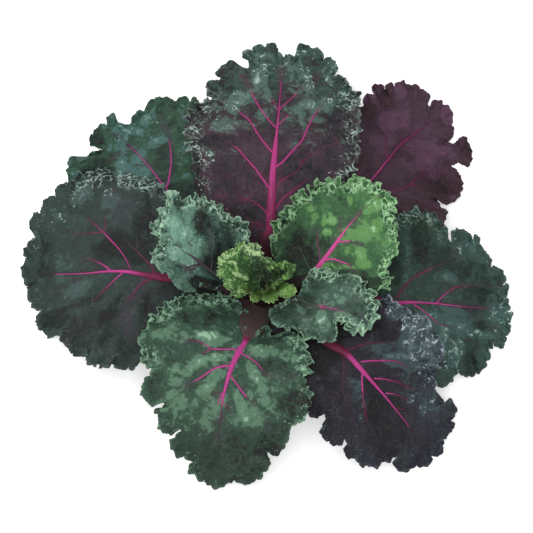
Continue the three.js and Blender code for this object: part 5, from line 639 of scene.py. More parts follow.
def hermite(pts, x):
    p = np.array(pts, float)
    xs, ys = p[:, 0], p[:, 1]
    x = np.clip(np.asarray(x, float), xs[0], xs[-1])
    sl = np.diff(ys) / np.diff(xs)
    m = np.concatenate([[sl[0]], (sl[:-1] + sl[1:]) / 2, [sl[-1]]])
    i = np.clip(np.searchsorted(xs, x, side="left") - 1, 0, len(xs) - 2)
    h = xs[i + 1] - xs[i]
    t = (x - xs[i]) / h
    return ((2 * t**3 - 3 * t * t + 1) * ys[i] + (t**3 - 2 * t * t + t) * h * m[i]
            + (-2 * t**3 + 3 * t * t) * ys[i + 1] + (t**3 - t * t) * h * m[i + 1])


def arch(leaf, x, y):
    rho = np.hypot(x, y)
    th = np.degrees(np.arctan2(y, x))
    z = hermite(leaf["profile"], rho) + leaf["lift"]
    if leaf["tilt"]:
        a, b, k = leaf["tilt"]
        z = z + k * (np.clip((th - a) / (b - a), -0.3, 1.3) * 2 - 1) * sst(15, 60, rho)
    for r1, r2, dz, az, w in leaf["droop"]:
        d = np.mod(th - az + 540, 360) - 180
        z = z - dz * sst(r1, r2, rho) * np.exp(-(d / w) ** 2)
    return z


def ground(z, low=FLOOR):
    return np.where(z > 3, z, low + (3 - low) * np.exp(np.minimum(z - 3, 0) / (3 - low)))


def lattice(ix, iy, seed):
    h = (ix.astype(np.int64) * 374761393 + iy.astype(np.int64) * 668265263 + int(seed * 1013) * 1442695041) & 0xFFFFFFFF
    h = ((h ^ (h >> 13)) * 1274126177) & 0xFFFFFFFF
    h = (h ^ (h >> 16)) & 0xFFFFFFFF
    return h / 4294967295.0


def noise2(x, y, seed):
    x = np.asarray(x, float)
    y = np.asarray(y, float)
    x0, y0 = np.floor(x), np.floor(y)
    fx, fy = x - x0, y - y0
    fx, fy = fx**3 * (fx * (fx * 6 - 15) + 10), fy**3 * (fy * (fy * 6 - 15) + 10)
    a, b = lattice(x0, y0, seed), lattice(x0 + 1, y0, seed)
    c, d = lattice(x0, y0 + 1, seed), lattice(x0 + 1, y0 + 1, seed)
    return ((a * (1 - fx) + b * fx) * (1 - fy) + (c * (1 - fx) + d * fx) * fy) * 2 - 1


def cells(x, y, size, seed):
    """distance to the nearest and second nearest of a set of scattered points"""
    X, Y = np.asarray(x) / size, np.asarray(y) / size
    x0, y0 = np.floor(X), np.floor(Y)
    f1 = np.full(X.shape, 9.0)
    f2 = np.full(X.shape, 9.0)
    for i in (-1, 0, 1):
        for j in (-1, 0, 1):
            cx, cy = x0 + i, y0 + j
            px = cx + 0.15 + 0.7 * lattice(cx, cy, seed + 1)
            py = cy + 0.15 + 0.7 * lattice(cx, cy, seed + 7)
            d = np.hypot(px - X, py - Y)
            f2 = np.where(d < f1, f1, np.minimum(f2, d))
            f1 = np.minimum(f1, d)
    return f1 * size, f2 * size


def wobble(s, seed, scale):
    """smooth wandering value about 0 along a length"""
    s = np.asarray(s, float) / scale
    return (np.sin(s * 1.0 + seed * 3.1) + 0.7 * np.sin(s * 1.73 + seed * 5.7) + 0.5 * np.sin(s * 2.91 + seed * 1.3)) / 1.6


def along(pts, step):
    """evenly spaced points on a smooth curve through pts"""
    p = np.array(pts, float)
    if len(p) == 2:
        n = max(2, int(np.hypot(*(p[1] - p[0])) / step))
        t = np.linspace(0, 1, n + 1)[:, None]
        return p[0] * (1 - t) + p[1] * t
    q = np.vstack([2 * p[0] - p[1], p, 2 * p[-1] - p[-2]])
    out = []
    for i in range(len(p) - 1):
        a, b, c, d = q[i], q[i + 1], q[i + 2], q[i + 3]
        n = max(2, int(np.hypot(*(c - b)) / step * 2))
        t = np.linspace(0, 1, n, endpoint=False)[:, None]
        out.append(0.5 * (2 * b + (c - a) * t + (2 * a - 5 * b + 4 * c - d) * t**2 + (3 * b - a - 3 * c + d) * t**3))
    out.append(p[-1:])
    P = np.vstack(out)
    s = np.concatenate([[0], np.cumsum(np.hypot(*np.diff(P, axis=0).T))])
    m = max(2, int(round(s[-1] / step)))
    t = np.linspace(0, s[-1], m + 1)
    return np.stack([np.interp(t, s, P[:, 0]), np.interp(t, s, P[:, 1])], 1)


def outline_curve(pts, spacing):
    """dense margin: x, y, length, lobe number, place in the lobe, cover code"""
    n = len(pts)
    corner = [i == 0 or i == n - 1 or (pts[i][2] & 1) == 1 for i in range(n)]
    X, Y, C, notch = [], [], [], []
    P = np.array([p[:2] for p in pts], float)
    for i in range(n - 1):
        p1, p2 = P[i], P[i + 1]
        p0 = 2 * p1 - p2 if corner[i] else P[i - 1]
        p3 = 2 * p2 - p1 if corner[i + 1] else P[i + 2]
        m = max(1, int(round(np.hypot(*(p2 - p1)) / spacing)))
        t = (np.arange(m) / m)[:, None]
        q = 0.5 * (2 * p1 + (p2 - p0) * t + (2 * p0 - 5 * p1 + 4 * p2 - p3) * t**2 + (3 * p1 - p0 - 3 * p2 + p3) * t**3)
        X += list(q[:, 0]); Y += list(q[:, 1]); C += [pts[i][2] >> 1] * m
        notch += [corner[i]] + [False] * (m - 1)
    X.append(P[-1, 0]); Y.append(P[-1, 1]); C.append(pts[-1][2] >> 1); notch.append(True)
    X, Y, C = np.array(X), np.array(Y), np.array(C)
    s = np.concatenate([[0], np.cumsum(np.hypot(np.diff(X), np.diff(Y)))])
    at = np.flatnonzero(notch)
    lobe = np.clip(np.searchsorted(at, np.arange(len(X)), side="right") - 1, 0, len(at) - 2)
    q = np.clip((s - s[at[lobe]]) / (s[at[lobe + 1]] - s[at[lobe]] + 1e-9), 0, 1)
    return X, Y, s, lobe, q, C


# ------------------------------------------------------------ mesh making
def make_mesh(name, V, tris, quads, mats, slots, attrs):
    """V in mm from the stem axis; tris and quads are index arrays; slots is a
    material index per face, tris first; attrs are float arrays per vertex"""
    me = bpy.data.meshes.new(name)
    V = (np.asarray(V, float) - OFFSET) / 1000.0
    nt, nq = len(tris), len(quads)
    me.vertices.add(len(V))
    me.vertices.foreach_set("co", V.astype(np.float32).ravel())
    loops = np.concatenate([np.asarray(tris, np.int32).ravel(), np.asarray(quads, np.int32).ravel()])
    me.loops.add(len(loops))
    me.loops.foreach_set("vertex_index", loops)
    me.polygons.add(nt + nq)
    start = np.concatenate([np.arange(nt) * 3, nt * 3 + np.arange(nq) * 4]).astype(np.int32)
    me.polygons.foreach_set("loop_start", start)
    me.polygons.foreach_set("material_index", np.asarray(slots, np.int32))
    me.polygons.foreach_set("use_smooth", np.ones(nt + nq, bool))
    for m in mats:
        me.materials.append(m)
    me.update(calc_edges=True)
    for key, val in attrs.items():
        val = np.asarray(val, np.float32)
        if val.ndim == 2:
            a = me.attributes.new(key, "FLOAT_VECTOR", "POINT")
            a.data.foreach_set("vector", val.ravel())
        else:
            a = me.attributes.new(key, "FLOAT", "POINT")
            a.data.foreach_set("value", val)
    me.validate()
    ob = bpy.data.objects.new(name, me)
    bpy.context.scene.collection.objects.link(ob)
    return ob


class Build:
    """collects the parts of one piece"""

    def __init__(self):
        self.V, self.T, self.Q, self.ts, self.qs = [], [], [], [], []
        self.A = {k: [] for k in ("edge", "vein", "u", "under", "fade", "bright", "tone", "crest", "curl")}
        self.P = []
        self.n = 0

    def add(self, V, tris, quads, slot, place=None, **attrs):
        V = np.asarray(V, float)
        self.V.append(V)
        if len(tris):
            self.T.append(np.asarray(tris) + self.n)
            self.ts.append(np.full(len(tris), slot))
        if len(quads):
            self.Q.append(np.asarray(quads) + self.n)
            self.qs.append(np.full(len(quads), slot))
        for k in self.A:
            a = attrs.get(k, 0.0)
            self.A[k].append(np.broadcast_to(np.asarray(a, float), (len(V),)))
        self.P.append(V if place is None else place)
        self.n += len(V)

    def done(self, name, mats, scale=1.0):
        T = np.vstack(self.T) if self.T else np.zeros((0, 3), int)
        Q = np.vstack(self.Q) if self.Q else np.zeros((0, 4), int)
        slots = np.concatenate(self.ts + self.qs)
        attrs = {k: np.concatenate(v) for k, v in self.A.items()}
        attrs["place"] = np.vstack(self.P)
        ob = make_mesh(name, np.vstack(self.V) * scale, T, Q, mats, slots, attrs)
        print("PIECE", name, "triangles", len(T) + 2 * len(Q))
        return ob


def sweep(C, half, up, down, sides=8, ups=None, groove=0.0):
    """closed tube along C with half width, height over and depth under"""
    C = np.asarray(C, float)
    n = len(C)
    T = np.gradient(C, axis=0)
    T /= np.linalg.norm(T, axis=1)[:, None] + 1e-9
    U = np.tile([0, 0, 1.0], (n, 1)) if ups is None else np.asarray(ups, float)
    U = U - (U * T).sum(1)[:, None] * T
    U /= np.linalg.norm(U, axis=1)[:, None] + 1e-9
    S = np.cross(T, U)
    a = np.arange(sides) / sides * 2 * np.pi
    ca, sa = np.cos(a), np.sin(a)
    half, up, down = (np.broadcast_to(np.asarray(v, float), (n,)) for v in (half, up, down))
    vert = np.where(sa[None] > 0, up[:, None] * sa[None], down[:, None] * sa[None])
    if np.any(np.asarray(groove) > 0):
        g = np.broadcast_to(np.asarray(groove, float), (n,))
        vert = vert - g[:, None] * np.maximum(sa[None], 0) ** 4
    V = C[:, None] + S[:, None] * (half[:, None] * ca[None])[..., None] + U[:, None] * vert[..., None]
    V = V.reshape(-1, 3)
    i = np.arange(n - 1)[:, None] * sides + np.arange(sides)[None]
    j = np.arange(n - 1)[:, None] * sides + (np.arange(sides)[None] + 1) % sides
    Q = np.stack([i, j, j + sides, i + sides], -1).reshape(-1, 4)
    V = np.vstack([V, C[0], C[-1]])
    e = np.arange(sides)
    f = (e + 1) % sides
    c0, c1 = n * sides, n * sides + 1
    Tr = np.vstack([np.stack([np.full(sides, c0), f, e], 1),
                    np.stack([np.full(sides, c1), (n - 1) * sides + e, (n - 1) * sides + f], 1)])
    row = np.concatenate([np.repeat(np.arange(n), sides), [0, n - 1]])
    return V, Tr, Q, row


def to_lines(x, y, lines):
    """distance from each plan point to the nearest of some plan curves"""
    x, y = np.asarray(x, float).ravel(), np.asarray(y, float).ravel()
    best = np.full(x.shape, 1e9)
    for L in lines:
        a, b = L[:-1], L[1:]
        for p, q in zip(a, b):
            d = q - p
            l2 = d @ d + 1e-9
            t = np.clip(((x - p[0]) * d[0] + (y - p[1]) * d[1]) / l2, 0, 1)
            best = np.minimum(best, (x - p[0] - t * d[0]) ** 2 + (y - p[1] - t * d[1]) ** 2)
    return np.sqrt(best)


ROWS_A = np.array([0, 0.5, 1.1, 1.8, 2.6, 3.5, 4.6, 5.9])
ROWS_B = np.array([7.3, 8.8, 10.4, 12.2, 14.5, 17.2, 20.3])
ROWS_C = 16
ROLL_LEN = 11.0
SIGMAS = np.array([0, 0.4, 0.9, 1.6, 2.6, 4.0, 6.0, 9.0])


def normals_of(P):
    dr = np.gradient(P, axis=0)
    dc = np.gradient(P, axis=1)
    n = np.cross(dr, dc)
    return n / (np.linalg.norm(n, axis=2)[..., None] + 1e-12)


def zone(x, y, spots):
    """0 to 1 near a list of [x, y, radius, amount] spots"""
    out = np.zeros(np.shape(x))
    for px, py, r, a in spots:
        out = np.maximum(out, a * np.exp(-(((x - px) ** 2 + (y - py) ** 2) / (r * r)) ** 1.5))
    return out


def areas(x, y, spots, seed):
    """lighter and darker areas, blisters and hollows together with painted highlight and painted shade: sum of
    soft-edged ovals with wandering rims
    """
    out = np.zeros(np.shape(x))
    n = 0.55 * noise2(x / 6.5, y / 6.5, seed + 21) + 0.3 * noise2(x / 2.6, y / 2.6, seed + 22)
    for px, py, rx, ry, deg, a in spots:
        c, s_ = math.cos(math.radians(deg)), math.sin(math.radians(deg))
        dx, dy = x - px, y - py
        e = np.hypot((dx * c + dy * s_) / rx, (-dx * s_ + dy * c) / ry)
        out = out + a * sst(1.22, 0.82, e + 0.38 * n)
    return out


def smooth_along(v, sc, sigma):
    w = np.gradient(sc)
    g = np.exp(-((sc[:, None] - sc[None, ::4]) ** 2) / (2 * sigma**2)) * w[None, ::4]
    return (g @ v[::4]) / g.sum(1)


def leaf_piece(name, leaf, mats, loose=0.56, tight=0.38):
    inner = name.startswith("inner")
    seed = leaf["seed"]
    rib = along(leaf["rib"], 1.0)
    rs = np.concatenate([[0], np.cumsum(np.hypot(*np.diff(rib, axis=0).T))])
    total_rib = rs[-1]
    X, Y, s, lobe, q, code = outline_curve(leaf["outline"], 0.35)
    total = s[-1]
    # columns crowd together where the margin is frilled most
    dense = np.clip(smooth_along(zone(X, Y, leaf["roll"]), s, 2.0), 0, 1)
    run = np.concatenate([[0], np.cumsum(np.diff(s) / (loose + (tight - loose) * dense[1:]))])
    N = 4 * int(round(run[-1] / 4))
    sc = np.interp(np.linspace(0, run[-1], N + 1), run, s)
    ds = np.gradient(sc)
    M = np.stack([np.interp(sc, s, X), np.interp(sc, s, Y)], 1)
    near = np.clip(np.searchsorted(s, sc), 0, len(s) - 1)
    L_, Q_ = lobe[near], q[near]
    cover = code[near]
    hid_s = smooth_along((cover == 1).astype(float), sc, 5.0)
    roll = zone(M[:, 0], M[:, 1], leaf["roll"])
    roll = smooth_along(roll, sc, 2.5)
    roll = roll * (0.86 + 0.22 * wobble(sc, seed + 3, 6.0))
    roll = np.clip(roll, 0, 1.12)
    down = -0.30 * (1 - np.clip(roll * 3, 0, 1)) * (1 - hid_s) * (0.7 + 0.6 * wobble(sc, seed + 6, 9.0))
    # small round scallops along the free margin
    Tm = np.gradient(M, axis=0)
    Tm /= np.hypot(*Tm.T)[:, None] + 1e-9
    Om = np.stack([Tm[:, 1], -Tm[:, 0]], 1)
    inward = M.mean(0) - M
    sign = -np.sign((Om * inward).sum(1).sum())
    Om = Om * sign
    ell = np.ones(N + 1)
    for i in range(int(L_.max()) + 1):
        m = L_ == i
        if m.any():
            ell[m] = sc[m].max() - sc[m].min() + 0.5
    nr = np.maximum(1, np.round(ell / 8.0))
    nsc = np.maximum(1, np.round(ell / 6.2))
    fine_n = nsc * 2 + 1
    hollow = 0.5 + 0.5 * np.sin(L_ * 2.1 + seed)
    scal = (np.abs(np.sin(np.pi * nsc * Q_)) ** 0.5 - 0.66) * (1.45 + 0.45 * wobble(sc, seed + 12, 8.0))
    scal = scal + (np.abs(np.sin(np.pi * (fine_n * Q_ + 0.3 * hollow * np.sin(2 * np.pi * Q_)))) ** 0.55 - 0.66) * (0.60 + 0.25 * wobble(sc, seed + 11, 5.0))
    short = sst(3.0, 9.0, ell)
    e0, e1 = Q_ * ell, (1 - Q_) * ell
    calmed = (1 - 0.85 * hid_s) * (0.35 + 0.65 * short) * sst(0.0, 2.5, np.minimum(e0, e1))
    M = M + Om * (scal * calmed)[:, None]
    # lobes swell sideways over the mouth of each notch, and the notch runs on inwards
    part = (1 - hid_s) * short * (cover == 0)
    g0, g1 = np.exp(-(((e0 - 2.4) / 1.3) ** 2)), np.exp(-(((e1 - 2.4) / 1.3) ** 2))
    M = M + Tm * (part * 0.85 * (g1 - g0))[:, None]
    M = M - Om * (part * 1.1 * np.exp(-(np.minimum(e0, e1) / 0.9) ** 2))[:, None]
    # margin evened out to several degrees
    levels = [M]
    cut = np.minimum(sc, total - sc)
    d2 = (sc[:, None] - sc[None]) ** 2
    for sg in SIGMAS[1:]:
        g = np.minimum(sg, cut / 2.5 + 0.05)[:, None]
        W = np.exp(-d2 / (2 * g * g)) * ds[None]
        levels.append((W @ M) / W.sum(1)[:, None])
    levels = np.array(levels)
    E = levels[-1]
    # each column's root on the midrib; veins lean towards the tip
    D = np.hypot(E[:, None, 0] - rib[None, :, 0], E[:, None, 1] - rib[None, :, 1])
    k = D.argmin(1)
    a = rs[k] - 0.45 * np.maximum(D.min(1) - 5, 0)
    f = lambda p: rs[np.hypot(rib[:, 0] - p[0], rib[:, 1] - p[1]).argmin()]
    a1 = max(1.0, min(f(M[0]), f(M[-1])) - 1.0)
    tip_end = 0.93 * total_rib
    tip = int(np.hypot(M[:, 0] - rib[-1, 0], M[:, 1] - rib[-1, 1]).argmin())
    a = np.clip(a, a1, tip_end)
    a[0] = a[-1] = a1
    a[tip] = tip_end
    a[:tip + 1] = np.maximum.accumulate(a[:tip + 1])
    a[tip:] = np.maximum.accumulate(a[tip:][::-1])[::-1]
    ker = np.exp(-np.linspace(-2, 2, 2 * (N // 36) + 1) ** 2)
    ker /= ker.sum()
    h = len(ker) // 2
    for sl in (slice(0, tip + 1), slice(tip, N + 1)):
        v = a[sl]
        pad = np.concatenate([2 * v[0] - v[h:0:-1], v, 2 * v[-1] - v[-2:-h - 2:-1]]) if len(v) > h + 2 else v
        if len(pad) > len(v):
            a[sl] = np.clip(np.convolve(pad, ker, "valid"), a1, tip_end)
    S = np.stack([np.interp(a, rs, rib[:, 0]), np.interp(a, rs, rib[:, 1])], 1)
    Lc = np.hypot(*(E - S).T) + 0.3
    # rows: distance from the margin along the blade
    fac = np.minimum(1.0, Lc * 0.55 / ROWS_B[-1])
    Lr = ROLL_LEN * fac
    th_end = np.where(roll > 0.02, 1.8 * roll, 0) + down
    kap = th_end / Lr
    safe = np.where(np.abs(kap) < 1e-4, 1e-4, kap)
    s_out = np.where(np.abs(th_end) > np.pi / 2, 1 / np.abs(safe), np.sin(np.abs(th_end)) / np.abs(safe))
    s_out = np.where(np.abs(kap) < 1e-4, Lr, s_out)
    AB = np.concatenate([ROWS_A, ROWS_B])[:, None] * fac[None]
    kk = (np.arange(1, ROWS_C + 1) / ROWS_C)[:, None]
    e_end = Lc + Lr - s_out
    EE = np.vstack([AB, AB[-1][None] + (e_end[None] - AB[-1][None]) * kk])
    R = len(EE)
    tt = np.clip(Lr[None] - EE, 0, None)
    bend = kap[None] * tt
    hor = np.where(np.abs(kap[None]) < 1e-4, tt, np.sin(bend) / safe[None])
    ver = np.where(np.abs(kap[None]) < 1e-4, 0, (1 - np.cos(bend)) / safe[None])
    DEL = s_out[None] - hor + np.maximum(EE - Lr[None], 0)
    sig = np.clip(0.42 * DEL, 0, SIGMAS[-1])
    lv = np.interp(sig.ravel(), SIGMAS, np.arange(len(SIGMAS))).reshape(sig.shape)
    l0 = np.clip(np.floor(lv).astype(int), 0, len(SIGMAS) - 2)
    fr = (lv - l0)[..., None]
    col = np.broadcast_to(np.arange(N + 1)[None], DEL.shape)
    Ms = levels[l0, col] * (1 - fr) + levels[l0 + 1, col] * fr
    r = 1 - DEL / Lc[None]
    XY = S[None] + r[..., None] * (Ms - S[None])
    # columns of a hooked lobe bend round through its middle, clear of the notch
    for px, py, span, wx, wy in leaf.get("bend", []):
        w = np.exp(-(((sc - sc[np.hypot(M[:, 0] - px, M[:, 1] - py).argmin()]) / span) ** 4))
        XY = XY + (2 * r * (1 - r) * w[None])[..., None] * (np.array([wx, wy]) - (S[None] + Ms) / 2)
    x, y = XY[..., 0], XY[..., 1]
    # height, with the same slow waves as the solid
    z = arch(leaf, x, y)
    z = z - 1.2 * sst(0.1, 0.3, a / total_rib)[None] * (1 - sst(0, 0.5, r))
    wave = 4.2 * (0.45 + 0.55 * np.sin(L_ * 2.4 + seed * 1.7))
    wave = np.where(cover == 2, np.abs(wave), wave) * (cover != 1)
    z = z + (wave * np.sin(np.pi * Q_))[None] * sst(0.55, 1, r)
    calm = np.where(cover == 1, 0.35, 1.0)[None]
    z = z + calm * sst(0.1, 0.6, r) * (1.6 * np.sin(x * 0.11 + seed * 5.1) * np.cos(y * 0.09 + seed * 3.3)
                                        + 1.0 * np.sin((x + y) * 0.17 + seed * 2.2))
    z = ground(z)
    # panels swell between the veins, most in the paler areas
    lines = [along([p[:2] for p in v["line"]], 3.0) for v in leaf["veins"]] + [along(leaf["rib"], 4.0)]
    dv = to_lines(x, y, lines).reshape(x.shape)
    tone = areas(x, y, leaf["areas"], seed)
    swell = (1 - np.exp(-(dv / 5.5) ** 2))
    amp = 1.4 if not inner else 1.2
    free = (1 - 0.6 * hid_s)[None]
    f1, f2 = cells(x + 1.5 * noise2(x / 7, y / 7, seed + 3), y + 1.5 * noise2(x / 7, y / 7, seed + 4), 9.0, seed)
    dome = np.clip((f2 - f1) / 4.5, 0, 1)
    inland = sst(0.0, 14.0, EE)
    z = z + free * (amp * (swell - 0.45) + 0.6 * swell * inland * (dome - 0.4) + 0.8 * np.clip(tone, -1, 1) * inland
                    + 0.9 * noise2(x / 13, y / 13, seed + 1) * swell + 0.3 * noise2(x / 4.5, y / 4.5, seed + 2) * swell)
    z = z + ver
    P = np.stack([x, y, z], -1)
    # notch sides lie at different heights
    near_edge = np.exp(-(EE / 8.0) ** 2)
    P[..., 2] += free * near_edge * (2.0 * np.sin(2 * np.pi * Q_) * (0.6 + 0.4 * np.sin(L_ * 1.7 + seed)))[None]
    # frills, in three sizes, each along the surface that the last one left
    rollc = np.clip(roll, 0, 1)
    lift = 1.2 * (0.5 + 0.5 * wobble(sc, seed + 2, 11.0)) * (1 - rollc)
    P[..., 2] += free * (np.exp(-(EE / 6.0) ** 2)) * lift[None]
    rate = np.pi * nr / np.maximum(ell, 4.0) * (1.35 + 1.35 * rollc) * (1 + 0.18 * wobble(sc, seed + 13, 9.0))
    ph2 = np.concatenate([[0], np.cumsum(np.diff(sc) * rate[1:])]) + 0.8 * wobble(sc, seed, 13.0)
    a2 = (1.45 + 1.05 * rollc) * (0.85 + 0.35 * wobble(sc, seed + 5, 13.0))
    w2 = np.exp(-(EE / (6.0 + 1.6 * rollc[None])) ** 1.7)
    Nn = normals_of(P)
    Tn = np.gradient(P, axis=1)
    Tn /= np.linalg.norm(Tn, axis=2)[..., None] + 1e-9
    P = P + Nn * (free * w2 * (a2 * np.sin(ph2))[None])[..., None] + Tn * (free * w2 * ((0.16 + 0.26 * rollc) * a2 * np.sin(2 * ph2))[None])[..., None]
    ph3 = 2 * np.pi * (sc / 3.4 + 0.35 * wobble(sc, seed + 8, 3.5))
    a3 = (0.42 + 0.33 * rollc) * (0.85 + 0.4 * wobble(sc, seed + 9, 6.0))
    w3 = np.exp(-(EE / 2.6) ** 1.5)
    Nn = normals_of(P)
    fr3 = (0.4 + 0.6 * free)
    P = P + Nn * (fr3 * w3 * (a3 * np.sin(ph3))[None])[..., None]
    P[..., 2] = np.where(P[..., 2] > 2.0, P[..., 2], 0.45 + 1.55 * np.exp(np.minimum(P[..., 2] - 2.0, 0) / 1.55))
    # painted highlight on the crests of the larger frills, strongest where the margin rolls
    crest = (0.5 + 0.5 * np.sin(ph2 + 0.6))[None] ** 2 * w2 * (0.25 + 0.75 * rollc)[None] * (1 - hid_s)[None]
    Nn = normals_of(P)
    flip = -1.0 if Nn[R // 2, N // 2, 2] < 0 else 1.0
    Nn = Nn * flip
    thick = (0.30 + 0.24 * sst(0, 12, EE)) * (1.0 if leaf["scale"] == 1.0 else 1.7)
    top = P + Nn * (thick / 2)[..., None]
    bot = P - Nn * (thick / 2)[..., None]
    # choose the columns of each band
    idx = -np.ones((R, N + 1), int)
    rowstep = np.array([1] * len(ROWS_A) + [2] * len(ROWS_B) + [4] * ROWS_C)
    n = 0
    keep = []
    for i in range(R):
        cs = np.arange(0, N + 1, rowstep[i])
        idx[i, cs] = n + np.arange(len(cs))
        keep.append((i, cs))
        n += len(cs)
    take_r = np.concatenate([np.full(len(cs), i) for i, cs in keep])
    take_c = np.concatenate([cs for i, cs in keep])
    tris, quads = [], []
    for i in range(R - 1):
        s0, s1 = rowstep[i], rowstep[i + 1]
        if s0 == s1:
            cs = np.arange(0, N, s0)
            quads.append(np.stack([idx[i, cs], idx[i, cs + s0], idx[i + 1, cs + s0], idx[i + 1, cs]], 1))
        else:
            cs = np.arange(0, N, s1)
            m = cs + s0
            e = cs + s1
            tris.append(np.stack([idx[i, cs], idx[i, m], idx[i + 1, cs]], 1))
            tris.append(np.stack([idx[i, m], idx[i + 1, e], idx[i + 1, cs]], 1))
            tris.append(np.stack([idx[i, m], idx[i, e], idx[i + 1, e]], 1))
    T, Qd = np.vstack(tris), np.vstack(quads)
    Vt, Vb = top[take_r, take_c], bot[take_r, take_c]
    # faces of the upper side look along its normal
    a_, b_, c_ = Vt[Qd[:, 0]], Vt[Qd[:, 1]], Vt[Qd[:, 2]]
    nq = Nn[take_r, take_c][Qd[:, 0]]
    if (np.cross(b_ - a_, c_ - a_) * nq).sum() < 0:
        T, Qd = T[:, ::-1], Qd[:, ::-1]
    B = Build()
    pick = lambda A: np.broadcast_to(A, (R, N + 1))[take_r, take_c]
    au = np.clip((a / total_rib)[None] * 0.8 + 0.2 * r, 0, 1)
    place = np.stack([pick(x), pick(y), np.full(n, seed * 10)], 1)
    m0, m1 = idx[0, :-1], idx[0, 1:]
    both = np.vstack([Vt, Vb])
    Tall = np.vstack([T, T[:, ::-1] + n])
    rim = np.stack([m0, m1, m1 + n, m0 + n], 1)
    inn = idx[R - 1, ::4]
    seam = np.stack([inn[1:], inn[:-1], inn[:-1] + n, inn[1:] + n], 1)
    a_, b_, c_ = both[rim[:, 0]], both[rim[:, 1]], both[rim[:, 2]]
    away = (P[0] - P[3])[:-1]
    if (np.cross(b_ - a_, c_ - a_) * away).sum() < 0:
        rim = rim[:, ::-1]
        seam = seam[:, ::-1]
    Qall = np.vstack([Qd, Qd[:, ::-1] + n, rim, seam])
    B.add(both, Tall, Qall, 0, place=np.vstack([place, place]),
          edge=np.tile(pick(EE), 2), vein=np.tile(pick(dv), 2), u=np.tile(pick(au), 2),
          under=np.concatenate([np.zeros(n), np.ones(n)]), tone=np.tile(pick(tone), 2),
          crest=np.tile(pick(crest), 2), curl=np.tile(pick(rollc[None] * np.ones((R, 1))), 2))
    # height and normal of the blade over a plan point
    flat = EE > np.broadcast_to(Lr[None], EE.shape) * 0.8
    fl = flat[take_r, take_c]
    polys = [list(map(int, f)) for A in (T, Qd) for f in A[fl[A].all(1)]]
    tree = bvhtree.BVHTree.FromPolygons([tuple(v) for v in Vt], polys)

    def surface(pts):
        out, nor = [], []
        for p in pts:
            hit, nn, _, _ = tree.ray_cast((p[0], p[1], 500.0), (0, 0, -1))
            if hit is None:
                hit, nn, _, _ = tree.find_nearest((p[0], p[1], out[-1][2] if out else 40.0))
            out.append([p[0], p[1], hit[2]])
            nor.append([nn[0], nn[1], abs(nn[2]) + 1e-3])
        return np.array(out), np.array(nor)

    # midrib and petiole: [x, y, half width, brightness, fading] along the rib; low brightness paints the petiole foot
    # dark as shade
    spec = leaf["midrib"]
    sa = [rs[np.hypot(rib[:, 0] - p[0], rib[:, 1] - p[1]).argmin()] for p in spec]
    order = np.argsort(sa)
    sa = np.array(sa)[order]
    spec = np.array(spec, float)[order]
    # the foot of the petiole runs a little way into the stem
    foot = -6.0 if name.startswith("leaf") else 0.0
    aa = np.linspace(foot, min(total_rib * 0.985, sa[-1]), int(total_rib / 1.3))
    way = (rib[3] - rib[0]) / rs[3]
    px = np.interp(aa, rs, rib[:, 0]) + np.minimum(aa, 0) * way[0]
    py = np.interp(aa, rs, rib[:, 1]) + np.minimum(aa, 0) * way[1]
    u = aa / total_rib
    half, bright, fade = (np.interp(aa, sa, spec[:, j]) for j in (2, 3, 4))
    half = np.convolve(np.pad(half, 2, mode="edge"), np.ones(5) / 5, "valid")
    half = np.maximum(half - 0.34, 0.45 * half)
    zr = ground(arch(leaf, px, py) - 1.2 * sst(0.1, 0.3, u))
    on, nor = surface(np.stack([px, py], 1))
    w_on = sst(a1 - 2, a1 + 10, aa)
    C = np.stack([px, py, zr * (1 - w_on) + on[:, 2] * w_on], 1)
    C[2:-2, 2] = np.convolve(C[:, 2], np.ones(5) / 5, "valid")
    C[:, 2] += 0.05 + 0.45 * np.clip(half - 3.2, 0, 6)
    under = np.minimum(0.6 + half * 0.95, 5.2)
    under = np.minimum(under, np.maximum(C[:, 2] - 0.15, 0.3))
    V, Tt, Qq, row = sweep(C, half, 0.25 + 0.42 * np.minimum(half, 3.6), under, 16, groove=0.5 * sst(3.5, 6.0, half))
    B.add(V, Tt, Qq, 1, edge=30.0, vein=0.0, u=u[row], fade=fade[row], bright=bright[row], under=0.0,
          place=np.stack([aa[row], np.where(np.arange(len(row)) < len(aa) * 16, half[row] * np.cos(np.arange(len(row)) % 16 * np.pi / 8), 0), np.full(len(row), seed * 10)], 1))
    # veins
    for v in leaf["veins"]:
        line = along([p[:2] for p in v["line"]], 1.6)
        m = len(line)
        t = np.linspace(0, 1, m)
        on, nor = surface(line)
        hw = v["w"][0] + (v["w"][1] - v["w"][0]) * t
        br = v["b"][0] + (v["b"][1] - v["b"][0]) * t
        hw = np.maximum(hw * (1 - 0.75 * sst(0.9, 1.0, t)), 0.1)
        nor[1:-1] = (nor[:-2] + nor[1:-1] + nor[2:]) / 3
        on[:, 2] += 0.02 - 0.16 * sst(0.4, 0.0, br)
        V, Tt, Qq, row = sweep(on, hw, hw * 0.5 + 0.12, hw * 0.8 + 0.5, 6, ups=nor)
        B.add(V, Tt, Qq, 1, edge=30.0, vein=0.0, u=0.5, fade=(1 - sst(0.0, 0.55, br))[row], bright=np.clip(br, 0, 1)[row], under=0.0,
              place=np.stack([on[row, 0], on[row, 1], np.full(len(row), seed * 10)], 1))
    ob = B.done(name + "_visual", mats, leaf["scale"])
    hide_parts(name)
    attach(ob, "root")
    return ob



# ------------------------------------------------------------ materials
GAIN = 0.8


def srgb(r, g, b, gain=GAIN):
    def f(c):
        c = c / 255.0
        return gain * (c / 12.92 if c <= 0.04045 else ((c + 0.055) / 1.055) ** 2.4)
    return (f(r), f(g), f(b), 1.0)


